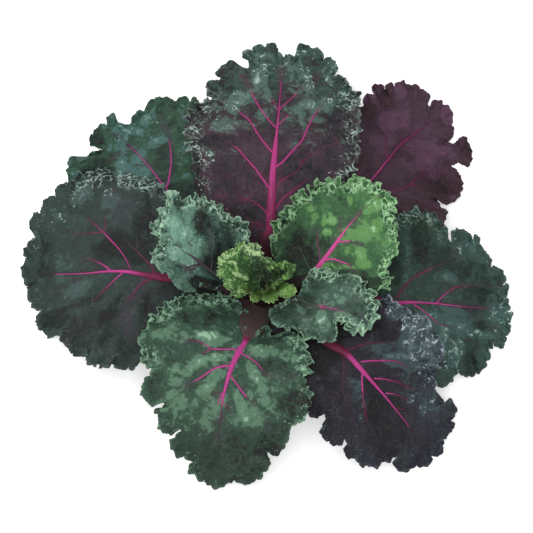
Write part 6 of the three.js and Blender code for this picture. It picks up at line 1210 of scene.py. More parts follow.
class Nodes:
    def __init__(self, name):
        self.m = bpy.data.materials.new(name)
        self.m.use_nodes = True
        self.t = self.m.node_tree
        self.t.nodes.clear()
        self.out = self.t.nodes.new("ShaderNodeOutputMaterial")
        self.bsdf = self.t.nodes.new("ShaderNodeBsdfPrincipled")
        self.t.links.new(self.bsdf.outputs[0], self.out.inputs[0])

    def link(self, a, b):
        self.t.links.new(a, b)

    def attr(self, name, vector=False):
        n = self.t.nodes.new("ShaderNodeAttribute")
        n.attribute_name = name
        return n.outputs["Vector"] if vector else n.outputs["Fac"]

    def put(self, sock, v):
        if hasattr(v, "links"):
            self.link(v, sock)
        else:
            sock.default_value = v

    def math(self, op, a, b=0.0, c=0.0, clamp=False):
        n = self.t.nodes.new("ShaderNodeMath")
        n.operation = op
        n.use_clamp = clamp
        self.put(n.inputs[0], a)
        self.put(n.inputs[1], b)
        self.put(n.inputs[2], c)
        return n.outputs[0]

    def ramp(self, v, lo, hi, a=0.0, b=1.0, smooth=True):
        n = self.t.nodes.new("ShaderNodeMapRange")
        n.interpolation_type = "SMOOTHSTEP" if smooth else "LINEAR"
        self.put(n.inputs["Value"], v)
        n.inputs["From Min"].default_value = lo
        n.inputs["From Max"].default_value = hi
        n.inputs["To Min"].default_value = a
        n.inputs["To Max"].default_value = b
        return n.outputs[0]

    def mix(self, f, a, b, mode="MIX"):
        n = self.t.nodes.new("ShaderNodeMix")
        n.data_type = "RGBA"
        n.blend_type = mode
        self.put(n.inputs[0], f)
        self.put(n.inputs[6], a)
        self.put(n.inputs[7], b)
        return n.outputs[2]

    def noise(self, vec, scale, detail=3.0, rough=0.55, dist=0.0):
        n = self.t.nodes.new("ShaderNodeTexNoise")
        self.link(vec, n.inputs["Vector"])
        n.inputs["Scale"].default_value = scale
        n.inputs["Detail"].default_value = detail
        n.inputs["Roughness"].default_value = rough
        n.inputs["Distortion"].default_value = dist
        return n.outputs["Fac"]

    def warp(self, vec, scale, amount):
        n = self.t.nodes.new("ShaderNodeTexNoise")
        self.link(vec, n.inputs["Vector"])
        n.inputs["Scale"].default_value = scale
        n.inputs["Detail"].default_value = 2.0
        s = self.t.nodes.new("ShaderNodeVectorMath")
        s.operation = "SUBTRACT"
        self.link(n.outputs["Color"], s.inputs[0])
        s.inputs[1].default_value = (0.5, 0.5, 0.5)
        k = self.t.nodes.new("ShaderNodeVectorMath")
        k.operation = "SCALE"
        self.link(s.outputs[0], k.inputs[0])
        k.inputs["Scale"].default_value = amount
        a = self.t.nodes.new("ShaderNodeVectorMath")
        a.operation = "ADD"
        self.link(vec, a.inputs[0])
        self.link(k.outputs[0], a.inputs[1])
        return a.outputs[0]

    def net(self, vec, scale, feature="DISTANCE_TO_EDGE"):
        n = self.t.nodes.new("ShaderNodeTexVoronoi")
        n.feature = feature
        self.link(vec, n.inputs["Vector"])
        n.inputs["Scale"].default_value = scale
        return n.outputs["Distance"]

    def bump(self, height, strength, dist, prev=None):
        n = self.t.nodes.new("ShaderNodeBump")
        n.inputs["Strength"].default_value = strength
        n.inputs["Distance"].default_value = dist
        self.link(height, n.inputs["Height"])
        if prev is not None:
            self.link(prev, n.inputs["Normal"])
        return n.outputs["Normal"]


def leaf_material(name, c, rims=0.7, glint_specks=0.6, patch=1.0, fz=1.0, rag=0.0, wide=1.0, fill=1.0):
    k = Nodes(name)
    gap = min((1.0 - fill) / 0.6, 1.0)
    P = k.attr("place", True)
    edge, vein, u, under = k.attr("edge"), k.attr("vein"), k.attr("u"), k.attr("under")
    tone, crest, curl = k.attr("tone"), k.attr("crest"), k.attr("curl")
    W = k.warp(P, 0.09, 7.0)
    base, mid, tip, lite, dark = (srgb(*c[x]) for x in ("base", "mid", "tip", "lite", "dark"))
    rim, tint, below = (srgb(*c[x]) for x in ("rim", "tint", "under"))
    deepest = tuple(0.80 * v for v in dark[:3]) + (1.0,)
    rim = tuple(min(1.15 * r, 1.0) for r in rim[:3]) + (1.0,)
    pale = tuple(0.5 * r + 0.5 * v for r, v in zip(rim, lite))
    pop = c.get("pop", 0.25)
    soft = tuple(pop * r + (1.0 - pop) * v for r, v in zip(rim, lite))
    # deep: painted shadow colour for the darkest areas
    deep = srgb(*c.get("deep", (44, 43, 44)))
    # slow drift of colour from the petiole to the tip
    drift = k.math("ADD", u, k.math("MULTIPLY", k.math("SUBTRACT", k.noise(P, 0.035, 2.0), 0.5), 0.6))
    col = k.mix(k.ramp(drift, 0.16, 0.48), base, mid)
    col = k.mix(k.ramp(drift, 0.52, 0.86), col, tip)
    # purple that spreads a little way from the veins
    t = k.math("MULTIPLY", k.ramp(vein, 5.0, 0.4), k.ramp(k.noise(P, 0.2, 2.0), 0.35, 0.62, 0.1, 0.7))
    col = k.mix(t, col, tint)
    # blistered areas come up paler and hollows darker, each with a firm outline; these levels also hold painted
    # highlights on lit parts and painted shade on shaded parts
    n1 = k.math("SUBTRACT", k.noise(W, 0.065 * fz, 1.5, 0.55, 0.5), 0.5)
    n2 = k.math("SUBTRACT", k.noise(P, 0.19 * fz, 1.0, 0.5, 1.2), 0.5)
    n3 = k.math("SUBTRACT", k.noise(P, 0.45 * fz, 2.0, 0.5, 0.3), 0.5)
    t = k.math("ADD", k.math("MULTIPLY", n1, 2.2 * patch), k.math("MULTIPLY", n2, 2.3 * patch))
    t = k.math("ADD", k.math("ADD", tone, t), k.math("MULTIPLY", n3, 0.25 + rag))
    if "lite_b" in c:
        lite = k.mix(k.ramp(drift, 0.42, 0.6), srgb(*c["lite_b"]), lite)
    col = k.mix(k.ramp(t, 0.17, 0.185, 0.0, 0.26), col, lite)
    col = k.mix(k.ramp(t, 0.40, 0.415, 0.0, 0.8), col, lite)
    col = k.mix(k.ramp(t, 0.75, 0.77, 0.0, 0.75), col, lite)
    col = k.mix(k.ramp(t, 1.12, 1.14, 0.0, 0.6), col, soft)
    col = k.mix(k.ramp(t, 1.5, 1.52, 0.0, 0.8), col, rim)
    col = k.mix(k.ramp(t, -0.17, -0.185, 0.0, 0.28), col, dark)
    col = k.mix(k.ramp(t, -0.40, -0.415, 0.0, 0.8), col, dark)
    # the darkest levels are painted shade and painted shadow in the gaps between leaves
    col = k.mix(k.ramp(t, -0.75, -0.77, 0.0, 0.7), col, deepest)
    col = k.mix(k.ramp(t, -1.08, -1.10, 0.0, 0.85), col, deep)
    # a soft net of small veins
    cell = k.net(k.warp(P, 0.35, 1.8), 0.26)
    fine = k.net(k.warp(P, 0.8, 0.8), 0.8)
    line = k.math("MULTIPLY", k.ramp(cell, 0.05, 0.0, 0.0, 0.13), k.ramp(k.noise(P, 0.12, 2.0), 0.45, 0.6))
    col = k.mix(line, col, pale)
    # waxy bloom in fine grains
    grain = k.noise(P, 2.2, 3.0, 0.7)
    col = k.mix(k.ramp(grain, 0.55, 0.75, 0.0, 0.12), col, lite)
    # frills: painted highlights on the frill crests, pale specks painted as highlights on the small curls, and a thin
    # painted highlight along the curled margin
    crag = k.math("MULTIPLY", crest, k.ramp(k.noise(P, 0.45 * fz, 3.0, 0.6), 0.38, 0.6, 0.25, 1.25))
    col = k.mix(k.ramp(crag, 0.42, 0.5, 0.0, 0.7 * rims * fill), col, pale)
    col = k.mix(k.ramp(crag, 0.74, 0.8, 0.0, 0.6 * rims * fill), col, rim)
    # pale specks near the curled margin: painted highlights on the small curls
    dots = k.net(P, 0.5 * fz, "F1")
    near = k.math("MULTIPLY", k.ramp(edge, 12.0 * wide, 5.0 * wide), k.ramp(k.noise(P, 0.11 * fz, 2.0), 0.45, 0.55))
    near = k.math("MULTIPLY", near, k.ramp(curl, 0.0, 0.4, 0.25, 1.0))
    near = k.math("MULTIPLY", near, k.ramp(k.noise(P, 0.5 * fz, 1.0), 0.46, 0.53))
    col = k.mix(k.math("MULTIPLY", k.ramp(dots, 0.33, 0.24), k.math("MULTIPLY", near, glint_specks)), col, rim)
    # thin pale rim: painted highlight along the curled margin where it catches the light
    lip = k.math("ADD", edge, k.math("MULTIPLY", k.math("SUBTRACT", k.noise(P, 0.5 * fz, 3.0, 0.6), 0.5), 1.8))
    lit = k.math("MULTIPLY", k.ramp(curl, 0.05, 0.7, 0.12, 1.0),
                 k.ramp(k.noise(P, (0.16 + 0.08 * gap) * fz, 2.0), 0.36 + 0.15 * gap, 0.52 + 0.05 * gap, 0.35 - 0.27 * gap, 1.0))
    lit = k.math("MULTIPLY", lit, k.ramp(tone, -1.0, -0.4, 0.15, 1.0))
    col = k.mix(k.math("MULTIPLY", k.ramp(lip, 2.2, 1.2, 0.0, rims), lit), col, rim)
    # painted light on the curled folds of the frill: short pale squiggles where they catch the light, with painted
    # shade darkening the folds between
    q = k.math("ABSOLUTE", k.math("SUBTRACT", k.noise(k.warp(P, 0.3 * fz, 1.6), 0.24 * fz, 1.5, 0.5), 0.5))
    band = k.math("MULTIPLY", k.ramp(edge, 13.0 * wide, 7.0 * wide), k.ramp(curl, 0.25, 0.75))
    band = k.math("MULTIPLY", band, k.ramp(k.noise(P, 0.14 * fz, 2.0), 0.38, 0.5, 0.2, 1.0))
    band = k.math("MULTIPLY", band, k.ramp(tone, -1.0, -0.4, 0.12, 1.0))
    fold = k.noise(P, 0.3 * fz, 2.0, 0.55)
    col = k.mix(k.math("MULTIPLY", k.ramp(fold, 0.46, 0.44, 0.0, 0.75 - 0.3 * gap), band), col, dark)
    col = k.mix(k.math("MULTIPLY", k.ramp(fold, 0.55, 0.565, 0.0, 0.6 * rims * fill), band), col, pale)
    col = k.mix(k.math("MULTIPLY", k.ramp(fold, 0.64, 0.655, 0.0, 0.8 * rims * fill), band), col, rim)
    col = k.mix(k.math("MULTIPLY", k.ramp(q, 0.055 - 0.012 * gap, 0.042 - 0.01 * gap, 0.0, rims), band), col, rim)
    # painted highlights: a few short bright flecks where a dark leaf folds over near its margin
    fleck = k.math("MULTIPLY", k.ramp(edge, 30.0, 22.0, 0.0, 0.95 * gap), k.ramp(t, 0.34, 0.42))
    fleck = k.math("MULTIPLY", fleck, k.ramp(k.noise(P, 0.2 * fz, 2.0, 0.5, 0.7), 0.53, 0.57))
    col = k.mix(k.math("MULTIPLY", k.ramp(q, 0.040, 0.030), fleck), col, rim)
    # duller underside
    col = k.mix(k.math("MULTIPLY", under, 0.72), col, below)
    k.link(col, k.bsdf.inputs["Base Color"])
    r = k.ramp(k.noise(P, 0.6, 3.0), 0.3, 0.7, 0.46, 0.62)
    k.link(r, k.bsdf.inputs["Roughness"])
    k.bsdf.inputs["Specular IOR Level"].default_value = 0.08
    b = k.bump(k.ramp(cell, 0.0, 0.2), 0.4, 0.0006)
    b = k.bump(k.ramp(fine, 0.0, 0.16), 0.22, 0.0003, b)
    b = k.bump(k.noise(P, 1.4, 4.0, 0.6), 0.18, 0.0004, b)
    k.link(b, k.bsdf.inputs["Normal"])
    return k.m


def rib_material(name, deep, plum, bright, faded):
    deep, plum, bright, faded = (srgb(*v) for v in (deep, plum, bright, faded))
    k = Nodes(name)
    P = k.attr("place", True)
    shine, fade = k.attr("bright"), k.attr("fade")
    streak = k.t.nodes.new("ShaderNodeMapping")
    streak.inputs["Scale"].default_value = (0.12, 1.4, 1.0)
    k.link(P, streak.inputs["Vector"])
    s = k.noise(streak.outputs[0], 1.0, 3.0, 0.6)
    t = k.math("ADD", shine, k.math("MULTIPLY", k.math("SUBTRACT", s, 0.5), 0.35))
    # low brightness gives the deep colour: the petiole foot painted dark as shade near the stem; plum and magenta
    # further up the rib
    c = k.mix(k.ramp(t, 0.0, 0.42), deep, plum)
    c = k.mix(k.ramp(t, 0.42, 0.92), c, bright)
    c = k.mix(k.ramp(fade, 0.1, 1.0), c, faded)
    hi = tuple(min(1.0, 1.35 * v) for v in bright[:3]) + (1.0,)
    c = k.mix(k.math("MULTIPLY", k.ramp(s, 0.55, 0.7, 0.0, 0.5), shine), c, hi)
    k.link(c, k.bsdf.inputs["Base Color"])
    k.bsdf.inputs["Roughness"].default_value = 0.48
    k.bsdf.inputs["Specular IOR Level"].default_value = 0.12
    k.link(k.bump(s, 0.3, 0.0004), k.bsdf.inputs["Normal"])
    return k.m


# rim: pale colour of the painted highlights on frills and the palest areas; deep: painted shadow colour of the darkest
# areas
COLOURS = {
    "leaf_upper_left": dict(base=(52, 78, 62), mid=(54, 83, 64), tip=(58, 86, 68), lite=(80, 114, 110), dark=(44, 60, 53), rim=(124, 158, 140), tint=(80, 58, 80), under=(86, 114, 102)),
    "leaf_upper_right": dict(base=(70, 50, 60), mid=(77, 57, 68), tip=(78, 59, 71), lite=(95, 69, 88), dark=(69, 49, 57), rim=(112, 68, 96), tint=(86, 50, 72), under=(92, 68, 86)),
    "leaf_left": dict(lite_b=(68, 62, 72), base=(54, 56, 58), mid=(55, 68, 63), tip=(58, 72, 66), lite=(74, 95, 91), dark=(44, 51, 50), rim=(166, 190, 180), tint=(62, 56, 62), under=(76, 94, 88)),
    "leaf_right": dict(base=(54, 71, 62), mid=(58, 78, 68), tip=(69, 92, 84), lite=(78, 106, 102), dark=(47, 63, 55), rim=(160, 190, 174), tint=(76, 56, 70), under=(78, 100, 92)),
    "leaf_lower_right": dict(base=(50, 49, 54), mid=(52, 50, 57), tip=(55, 56, 64), lite=(74, 92, 94), dark=(44, 42, 46), rim=(176, 190, 200), tint=(64, 50, 62), under=(76, 84, 90)),
    "leaf_lower": dict(base=(62, 88, 74), mid=(66, 92, 76), tip=(58, 77, 67), lite=(102, 136, 112), dark=(53, 71, 61), rim=(156, 194, 164), tint=(80, 68, 80), under=(92, 122, 102)),
    "leaf_top": dict(base=(68, 48, 58), mid=(72, 58, 67), tip=(62, 86, 77), lite=(92, 117, 108), lite_b=(82, 64, 76), dark=(56, 52, 58), rim=(172, 196, 182), tint=(92, 48, 72), under=(92, 106, 102)),
    "inner_leaf_left": dict(base=(64, 86, 78), mid=(82, 111, 99), tip=(96, 131, 115), lite=(121, 163, 144), dark=(50, 66, 60), rim=(178, 212, 186), tint=(84, 76, 88), under=(146, 186, 158)),
    "inner_leaf_right": dict(base=(58, 80, 62), mid=(68, 106, 72), tip=(80, 124, 82), lite=(108, 158, 96), dark=(50, 66, 54), rim=(168, 212, 162), tint=(88, 78, 84), under=(124, 170, 132)),
    "inner_leaf_lower_right": dict(base=(68, 90, 80), mid=(74, 99, 86), tip=(80, 108, 93), lite=(104, 136, 117), dark=(60, 80, 70), rim=(172, 208, 178), tint=(84, 78, 86), under=(138, 176, 150)),
    "lime": dict(base=(66, 98, 62), mid=(78, 122, 70), tip=(86, 138, 76), lite=(118, 166, 98), dark=(60, 80, 57), rim=(206, 236, 172), tint=(76, 104, 76), under=(104, 146, 92), deep=(96, 108, 90), pop=0.55),
    "citrus": dict(base=(62, 90, 60), mid=(68, 114, 66), tip=(78, 134, 74), lite=(116, 172, 98), dark=(52, 72, 54), rim=(198, 234, 156), tint=(70, 92, 58), under=(110, 146, 76), deep=(62, 66, 56), pop=0.6),
    "olive": dict(base=(46, 60, 47), mid=(52, 76, 55), tip=(60, 95, 62), lite=(84, 128, 81), dark=(40, 51, 42), rim=(158, 206, 124), tint=(58, 72, 52), under=(62, 84, 52), pop=0.5, deep=(68, 72, 60)),
    "sage": dict(base=(66, 84, 66), mid=(76, 106, 76), tip=(82, 122, 80), lite=(106, 152, 94), dark=(60, 72, 58), rim=(204, 232, 174), tint=(78, 98, 82), under=(98, 136, 94), deep=(100, 110, 94), pop=0.45),
    "tip": dict(base=(64, 72, 60), mid=(68, 82, 64), tip=(74, 94, 68), lite=(90, 116, 80), dark=(58, 64, 54), rim=(100, 124, 86), tint=(58, 68, 56), under=(54, 66, 50)),
}
# DEEP: dark maroon of the petiole foot, painted shade near the stem
DEEP, PLUM, MAGENTA = (62, 34, 42), (116, 40, 70), (196, 70, 146)
RIBS = {
    "leaf_upper_left": rib_material("rib_upper_left", DEEP, PLUM, (178, 66, 134), (72, 84, 84)),
    "leaf_upper_right": rib_material("rib_upper_right", DEEP, PLUM, (176, 58, 126), (86, 58, 78)),
    "leaf_left": rib_material("rib_left", (88, 74, 77), PLUM, MAGENTA, (68, 70, 76)),
    "leaf_right": rib_material("rib_right", DEEP, PLUM, MAGENTA, (66, 82, 80)),
    "leaf_lower_right": rib_material("rib_lower_right", (72, 56, 58), PLUM, MAGENTA, (66, 60, 70)),
    "leaf_lower": rib_material("rib_lower", (78, 65, 64), PLUM, MAGENTA, (76, 96, 86)),
    "leaf_top": rib_material("rib_top", (64, 34, 42), (118, 40, 70), (190, 66, 136), (84, 78, 86)),
    "inner_leaf_left": rib_material("rib_inner_left", DEEP, (84, 66, 82), (112, 88, 116), (88, 92, 96)),
    "inner_leaf_right": rib_material("rib_inner_right", (48, 42, 42), (122, 60, 92), (214, 86, 158), (84, 104, 86)),
    "inner_leaf_lower_right": rib_material("rib_inner_lower_right", DEEP, (110, 50, 80), (204, 78, 150), (88, 112, 100)),
    "heart": rib_material("rib_heart", (52, 58, 48), (66, 86, 64), (104, 132, 96), (84, 116, 76)),
}
FILL = {"leaf_top": 0.4, "leaf_left": 0.4, "leaf_right": 0.4, "leaf_lower_right": 0.4, "leaf_upper_left": 0.4,
        "leaf_upper_right": 0.6, "inner_leaf_left": 0.72, "inner_leaf_lower_right": 0.85}
WIDE = {"leaf_top": 1.5, "leaf_left": 1.4, "leaf_lower": 1.25, "leaf_lower_right": 1.35, "leaf_right": 1.2}
# per leaf: strength of the painted margin and fold highlights, of the painted highlight specks, and of the random
# patches
RIMS = {"leaf_upper_right": (0.5, 0.15, 0.8), "leaf_upper_left": (0.55, 0.5, 1.0), "leaf_lower_right": (0.75, 0.5, 0.5),
        "leaf_left": (0.75, 0.8, 0.65), "leaf_right": (0.6, 0.6, 0.75), "leaf_top": (0.85, 0.8, 1.0), "leaf_lower": (0.85, 0.9, 1.0), "inner_leaf_right": (0.95, 0.8, 0.65), "inner_leaf_left": (0.95, 0.8, 0.8)}

for name, leaf in LEAVES.items():
    if name.startswith("heart"):
        continue
    rims, glint_specks, patch = RIMS.get(name, (0.95, 0.8, 1.0))
    mat = leaf_material(name + "_blade", COLOURS[name], rims, glint_specks, patch, 1.0, 0.0, WIDE.get(name, 1.0), FILL.get(name, 1.0))
    leaf_piece(name, leaf, [mat, RIBS[name]])

LIME = leaf_material("lime_blade", COLOURS["lime"], 1.0, 0.9, 0.8, 0.55, 3.2, 1.0, 0.3)
SAGE = leaf_material("sage_blade", COLOURS["sage"], 1.0, 0.9, 0.8, 0.55, 3.2, 1.0, 0.3)
CITRUS = leaf_material("citrus_blade", COLOURS["citrus"], 1.0, 0.9, 0.8, 0.55, 4.6, 1.0, 0.4)
OLIVE = leaf_material("olive_blade", COLOURS["olive"], 0.9, 0.95, 0.8, 1.1, 3.0)
BUD = leaf_material("bud_blade", COLOURS["tip"], 0.5, 0.4, 0.8, 1.0, 0.5)
for name in ("heart_leaf_left", "heart_leaf_back", "heart_leaf_front"):
    leaf_piece(name, LEAVES[name], [{"heart_leaf_back": SAGE, "heart_leaf_front": CITRUS}.get(name, LIME), RIBS["heart"]])


# ------------------------------------------------------------ heart leaves
HEART = {
    "heart_leaf_right": dict(az=14, rho0=7.5, z0=62.5, long=42, half=14, lean0=70, lean1=66, roll=225, lobes=3, wave=1.0, seed=13.7),
    "growing_tip": dict(az=110, rho0=0.0, z0=61.0, long=27, half=8, lean0=88, lean1=84, roll=250, lobes=1, wave=0.3, seed=15.2),
}


def heart_piece(name, h, mats):
    seed = h["seed"]
    NU, NV = 70, 72
    tt = np.linspace(0, 1, NU + 1)
    # finer rows towards the tip, finer columns towards the sides
    u = 1 - (1 - tt) ** 1.35
    v = np.linspace(-1, 1, NV + 1)
    v = np.sign(v) * (1 - (1 - np.abs(v)) ** 1.5)
    az = math.radians(h["az"])
    ca, sa = math.cos(az), math.sin(az)
    ang = np.radians(h["lean0"] + (h["lean1"] - h["lean0"]) * u)
    du = np.diff(u) * h["long"]
    am = (ang[1:] + ang[:-1]) / 2
    Rr = h["rho0"] + np.concatenate([[0], np.cumsum(du * np.cos(am))])
    Rz = h["z0"] + np.concatenate([[0], np.cumsum(du * np.sin(am))])
    base = 0.16 + 0.84 * sst(0.05, 0.55, u)
    end = np.sqrt(np.maximum(1 - np.where(u > 0.55, ((u - 0.55) / 0.45) ** 2 * 0.9, 0), 0.03))
    lob = 1 + 0.08 * np.sin(2 * np.pi * h["lobes"] * u) * sst(0.4, 0.7, u)
    w = h["half"] * base * end * lob
    arc = np.radians(h["roll"]) * sst(0, 0.55, u) * 0.5 + 0.02
    rr = (h["half"] * base * end) / arc
    U, Vv = np.meshgrid(u, v, indexing="ij")
    F = Vv * (arc * lob)[:, None]
    side = rr[:, None] * np.sin(F)
    up = rr[:, None] * (1 - np.cos(F))
    nx, nz = -np.sin(ang)[:, None], np.cos(ang)[:, None]
    pr = Rr[:, None] + nx * up
    pz = Rz[:, None] + nz * up
    P = np.stack([pr * ca - side * sa, pr * sa + side * ca, pz], -1)
    # distance to the side or tip margin, in mm
    dist_side = (1 - np.abs(Vv)) * w[:, None]
    dist_tip = (1 - U) * h["long"]
    edge = np.minimum(dist_side, dist_tip) - 0.0
    edge = -np.log(np.exp(-dist_side / 2) + np.exp(-dist_tip / 2)) * 2
    edge = np.maximum(edge, 0)
    blade = sst(0.3, 0.5, U)
    # length along the margin, for the frills
    s = np.where(dist_side < dist_tip, U * h["long"] * np.sign(Vv), (h["long"] + (1 - np.abs(Vv)) * w[:, None]) * np.sign(Vv))
    sfull = (U * h["long"] * 1.0 + (1 - np.abs(Vv)) * 0.0) * np.sign(Vv)
    big = h["wave"] > 0.5
    k = 1.0 if big else 0.35
    # panels swell between curved side veins
    lean = np.abs(Vv) * w[:, None]
    vv = (U * h["long"] - lean * 0.9) / 6.5 + np.where(Vv > 0, 0.0, 0.5)
    dv = np.abs(vv - np.round(vv)) * 6.5
    dv = np.minimum(dv, lean + 0.0)
    for amp, lam, dec, sd in ((1.5 * k, 8.5, 7.0, 0), (1.35 * k, 4.6, 4.2, 4), (0.6 * k, 2.2, 1.6, 8)):
        N_ = normals_of(P)
        T_ = np.gradient(P, axis=0)
        T_ /= np.linalg.norm(T_, axis=2)[..., None] + 1e-9
        T2 = np.gradient(P, axis=1)
        T2 /= np.linalg.norm(T2, axis=2)[..., None] + 1e-9
        a_side = sfull
        a_tip = Vv * w[:, None] * 1.0
        wt = sst(-2, 2, dist_side - dist_tip)          # 1 on the tip margin
        ph = 2 * np.pi * (a_side / lam + 0.3 * wobble(a_side, seed + sd, lam))
        pt = 2 * np.pi * (a_tip / lam + 0.3 * wobble(a_tip, seed + sd + 2, lam))
        wav = (1 - wt) * np.sin(ph) + wt * np.sin(pt)
        wav2 = (1 - wt) * np.sin(2 * ph)
        wgt = np.exp(-(edge / dec) ** 1.5) * blade
        P = P + N_ * (amp * wgt * wav)[..., None] + T_ * (0.45 * amp * wgt * wav2)[..., None]
        P = P + T2 * (0.45 * amp * wgt * wt * np.sin(2 * pt))[..., None]
    N_ = normals_of(P)
    P = P + N_ * (0.7 * (np.exp(-(dv / 1.8) ** 2) - 0.5) * blade * -0.8 + 0.25 * noise2(U * 12, Vv * 8, seed) * blade)[..., None]
    N_ = normals_of(P)
    flip = 1.0 if (N_[NU // 2, NV // 2] @ np.array([-ca * math.sin(ang[NU // 2]), -sa * math.sin(ang[NU // 2]), math.cos(ang[NU // 2])])) > 0 else -1.0
    N_ = N_ * flip
    th = 0.45
    top = (P + N_ * th / 2).reshape(-1, 3)
    bot = (P - N_ * th / 2).reshape(-1, 3)
    n = len(top)
    W = NV + 1
    i = (np.arange(NU)[:, None] * W + np.arange(NV)[None]).ravel()
    Q = np.stack([i, i + W, i + W + 1, i + 1], 1)
    a_, b_, c_ = top[Q[:, 0]], top[Q[:, 1]], top[Q[:, 2]]
    mean = (np.cross(b_ - a_, c_ - a_) * N_.reshape(-1, 3)[Q[:, 0]]).sum()
    if mean < 0:
        Q = Q[:, ::-1]
    rimidx = np.concatenate([np.arange(NU) * W, NU * W + np.arange(NV), (NU - np.arange(NU)) * W + NV, NV - np.arange(NV)])
    nxt = np.roll(rimidx, -1)
    rim = np.stack([rimidx, nxt, nxt + n, rimidx + n], 1)
    B = Build()
    place = np.stack([(U * h["long"]).ravel(), (Vv * w[:, None]).ravel(), np.full(n, seed * 10)], 1)
    # painted highlight in bands along the frilled margin
    crest = np.exp(-(edge / 3.0) ** 1.5) * (0.5 + 0.5 * np.sin(U * h["long"] * 1.9)) * blade
    # darker towards the foot: painted shade down inside the cupped heart leaf, paler towards the tip
    tone = np.clip((U - 0.66) * 2.6, -1.5, 0.6)
    B.add(np.vstack([top, bot]), [], np.vstack([Q, Q[:, ::-1] + n, rim]), 0, place=np.vstack([place, place]),
          crest=np.tile(crest.ravel(), 2), tone=np.tile(tone.ravel(), 2), curl=1.0, edge=np.tile(edge.ravel(), 2), vein=np.tile(dv.ravel(), 2), u=np.tile(U.ravel(), 2),
          under=np.concatenate([np.zeros(n), np.ones(n)]))
    # midrib, thick at the foot
    c = P[:, NV // 2]
    nn = N_[:, NV // 2]
    uu = u
    half = (2.6 + (0.35 - 2.6) * uu ** 0.5) * (1.0 if big else 0.7)
    V, T, Qq, row = sweep(c, half, half * 0.5 + 0.2, half * 0.9 + 0.4, 10, ups=nn)
    B.add(V, T, Qq, 1, edge=20.0, vein=0.0, u=uu[row], fade=uu[row] * 0.8 + 0.2, bright=0.3,
          place=np.stack([uu[row] * h["long"], row * 0.0, np.full(len(row), seed * 10)], 1))
    ob = B.done(name + "_visual", mats)
    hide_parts(name)
    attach(ob, "root")
    return ob


for name, h in HEART.items():
    heart_piece(name, h, [OLIVE if name == "heart_leaf_right" else BUD, RIBS["heart"]])


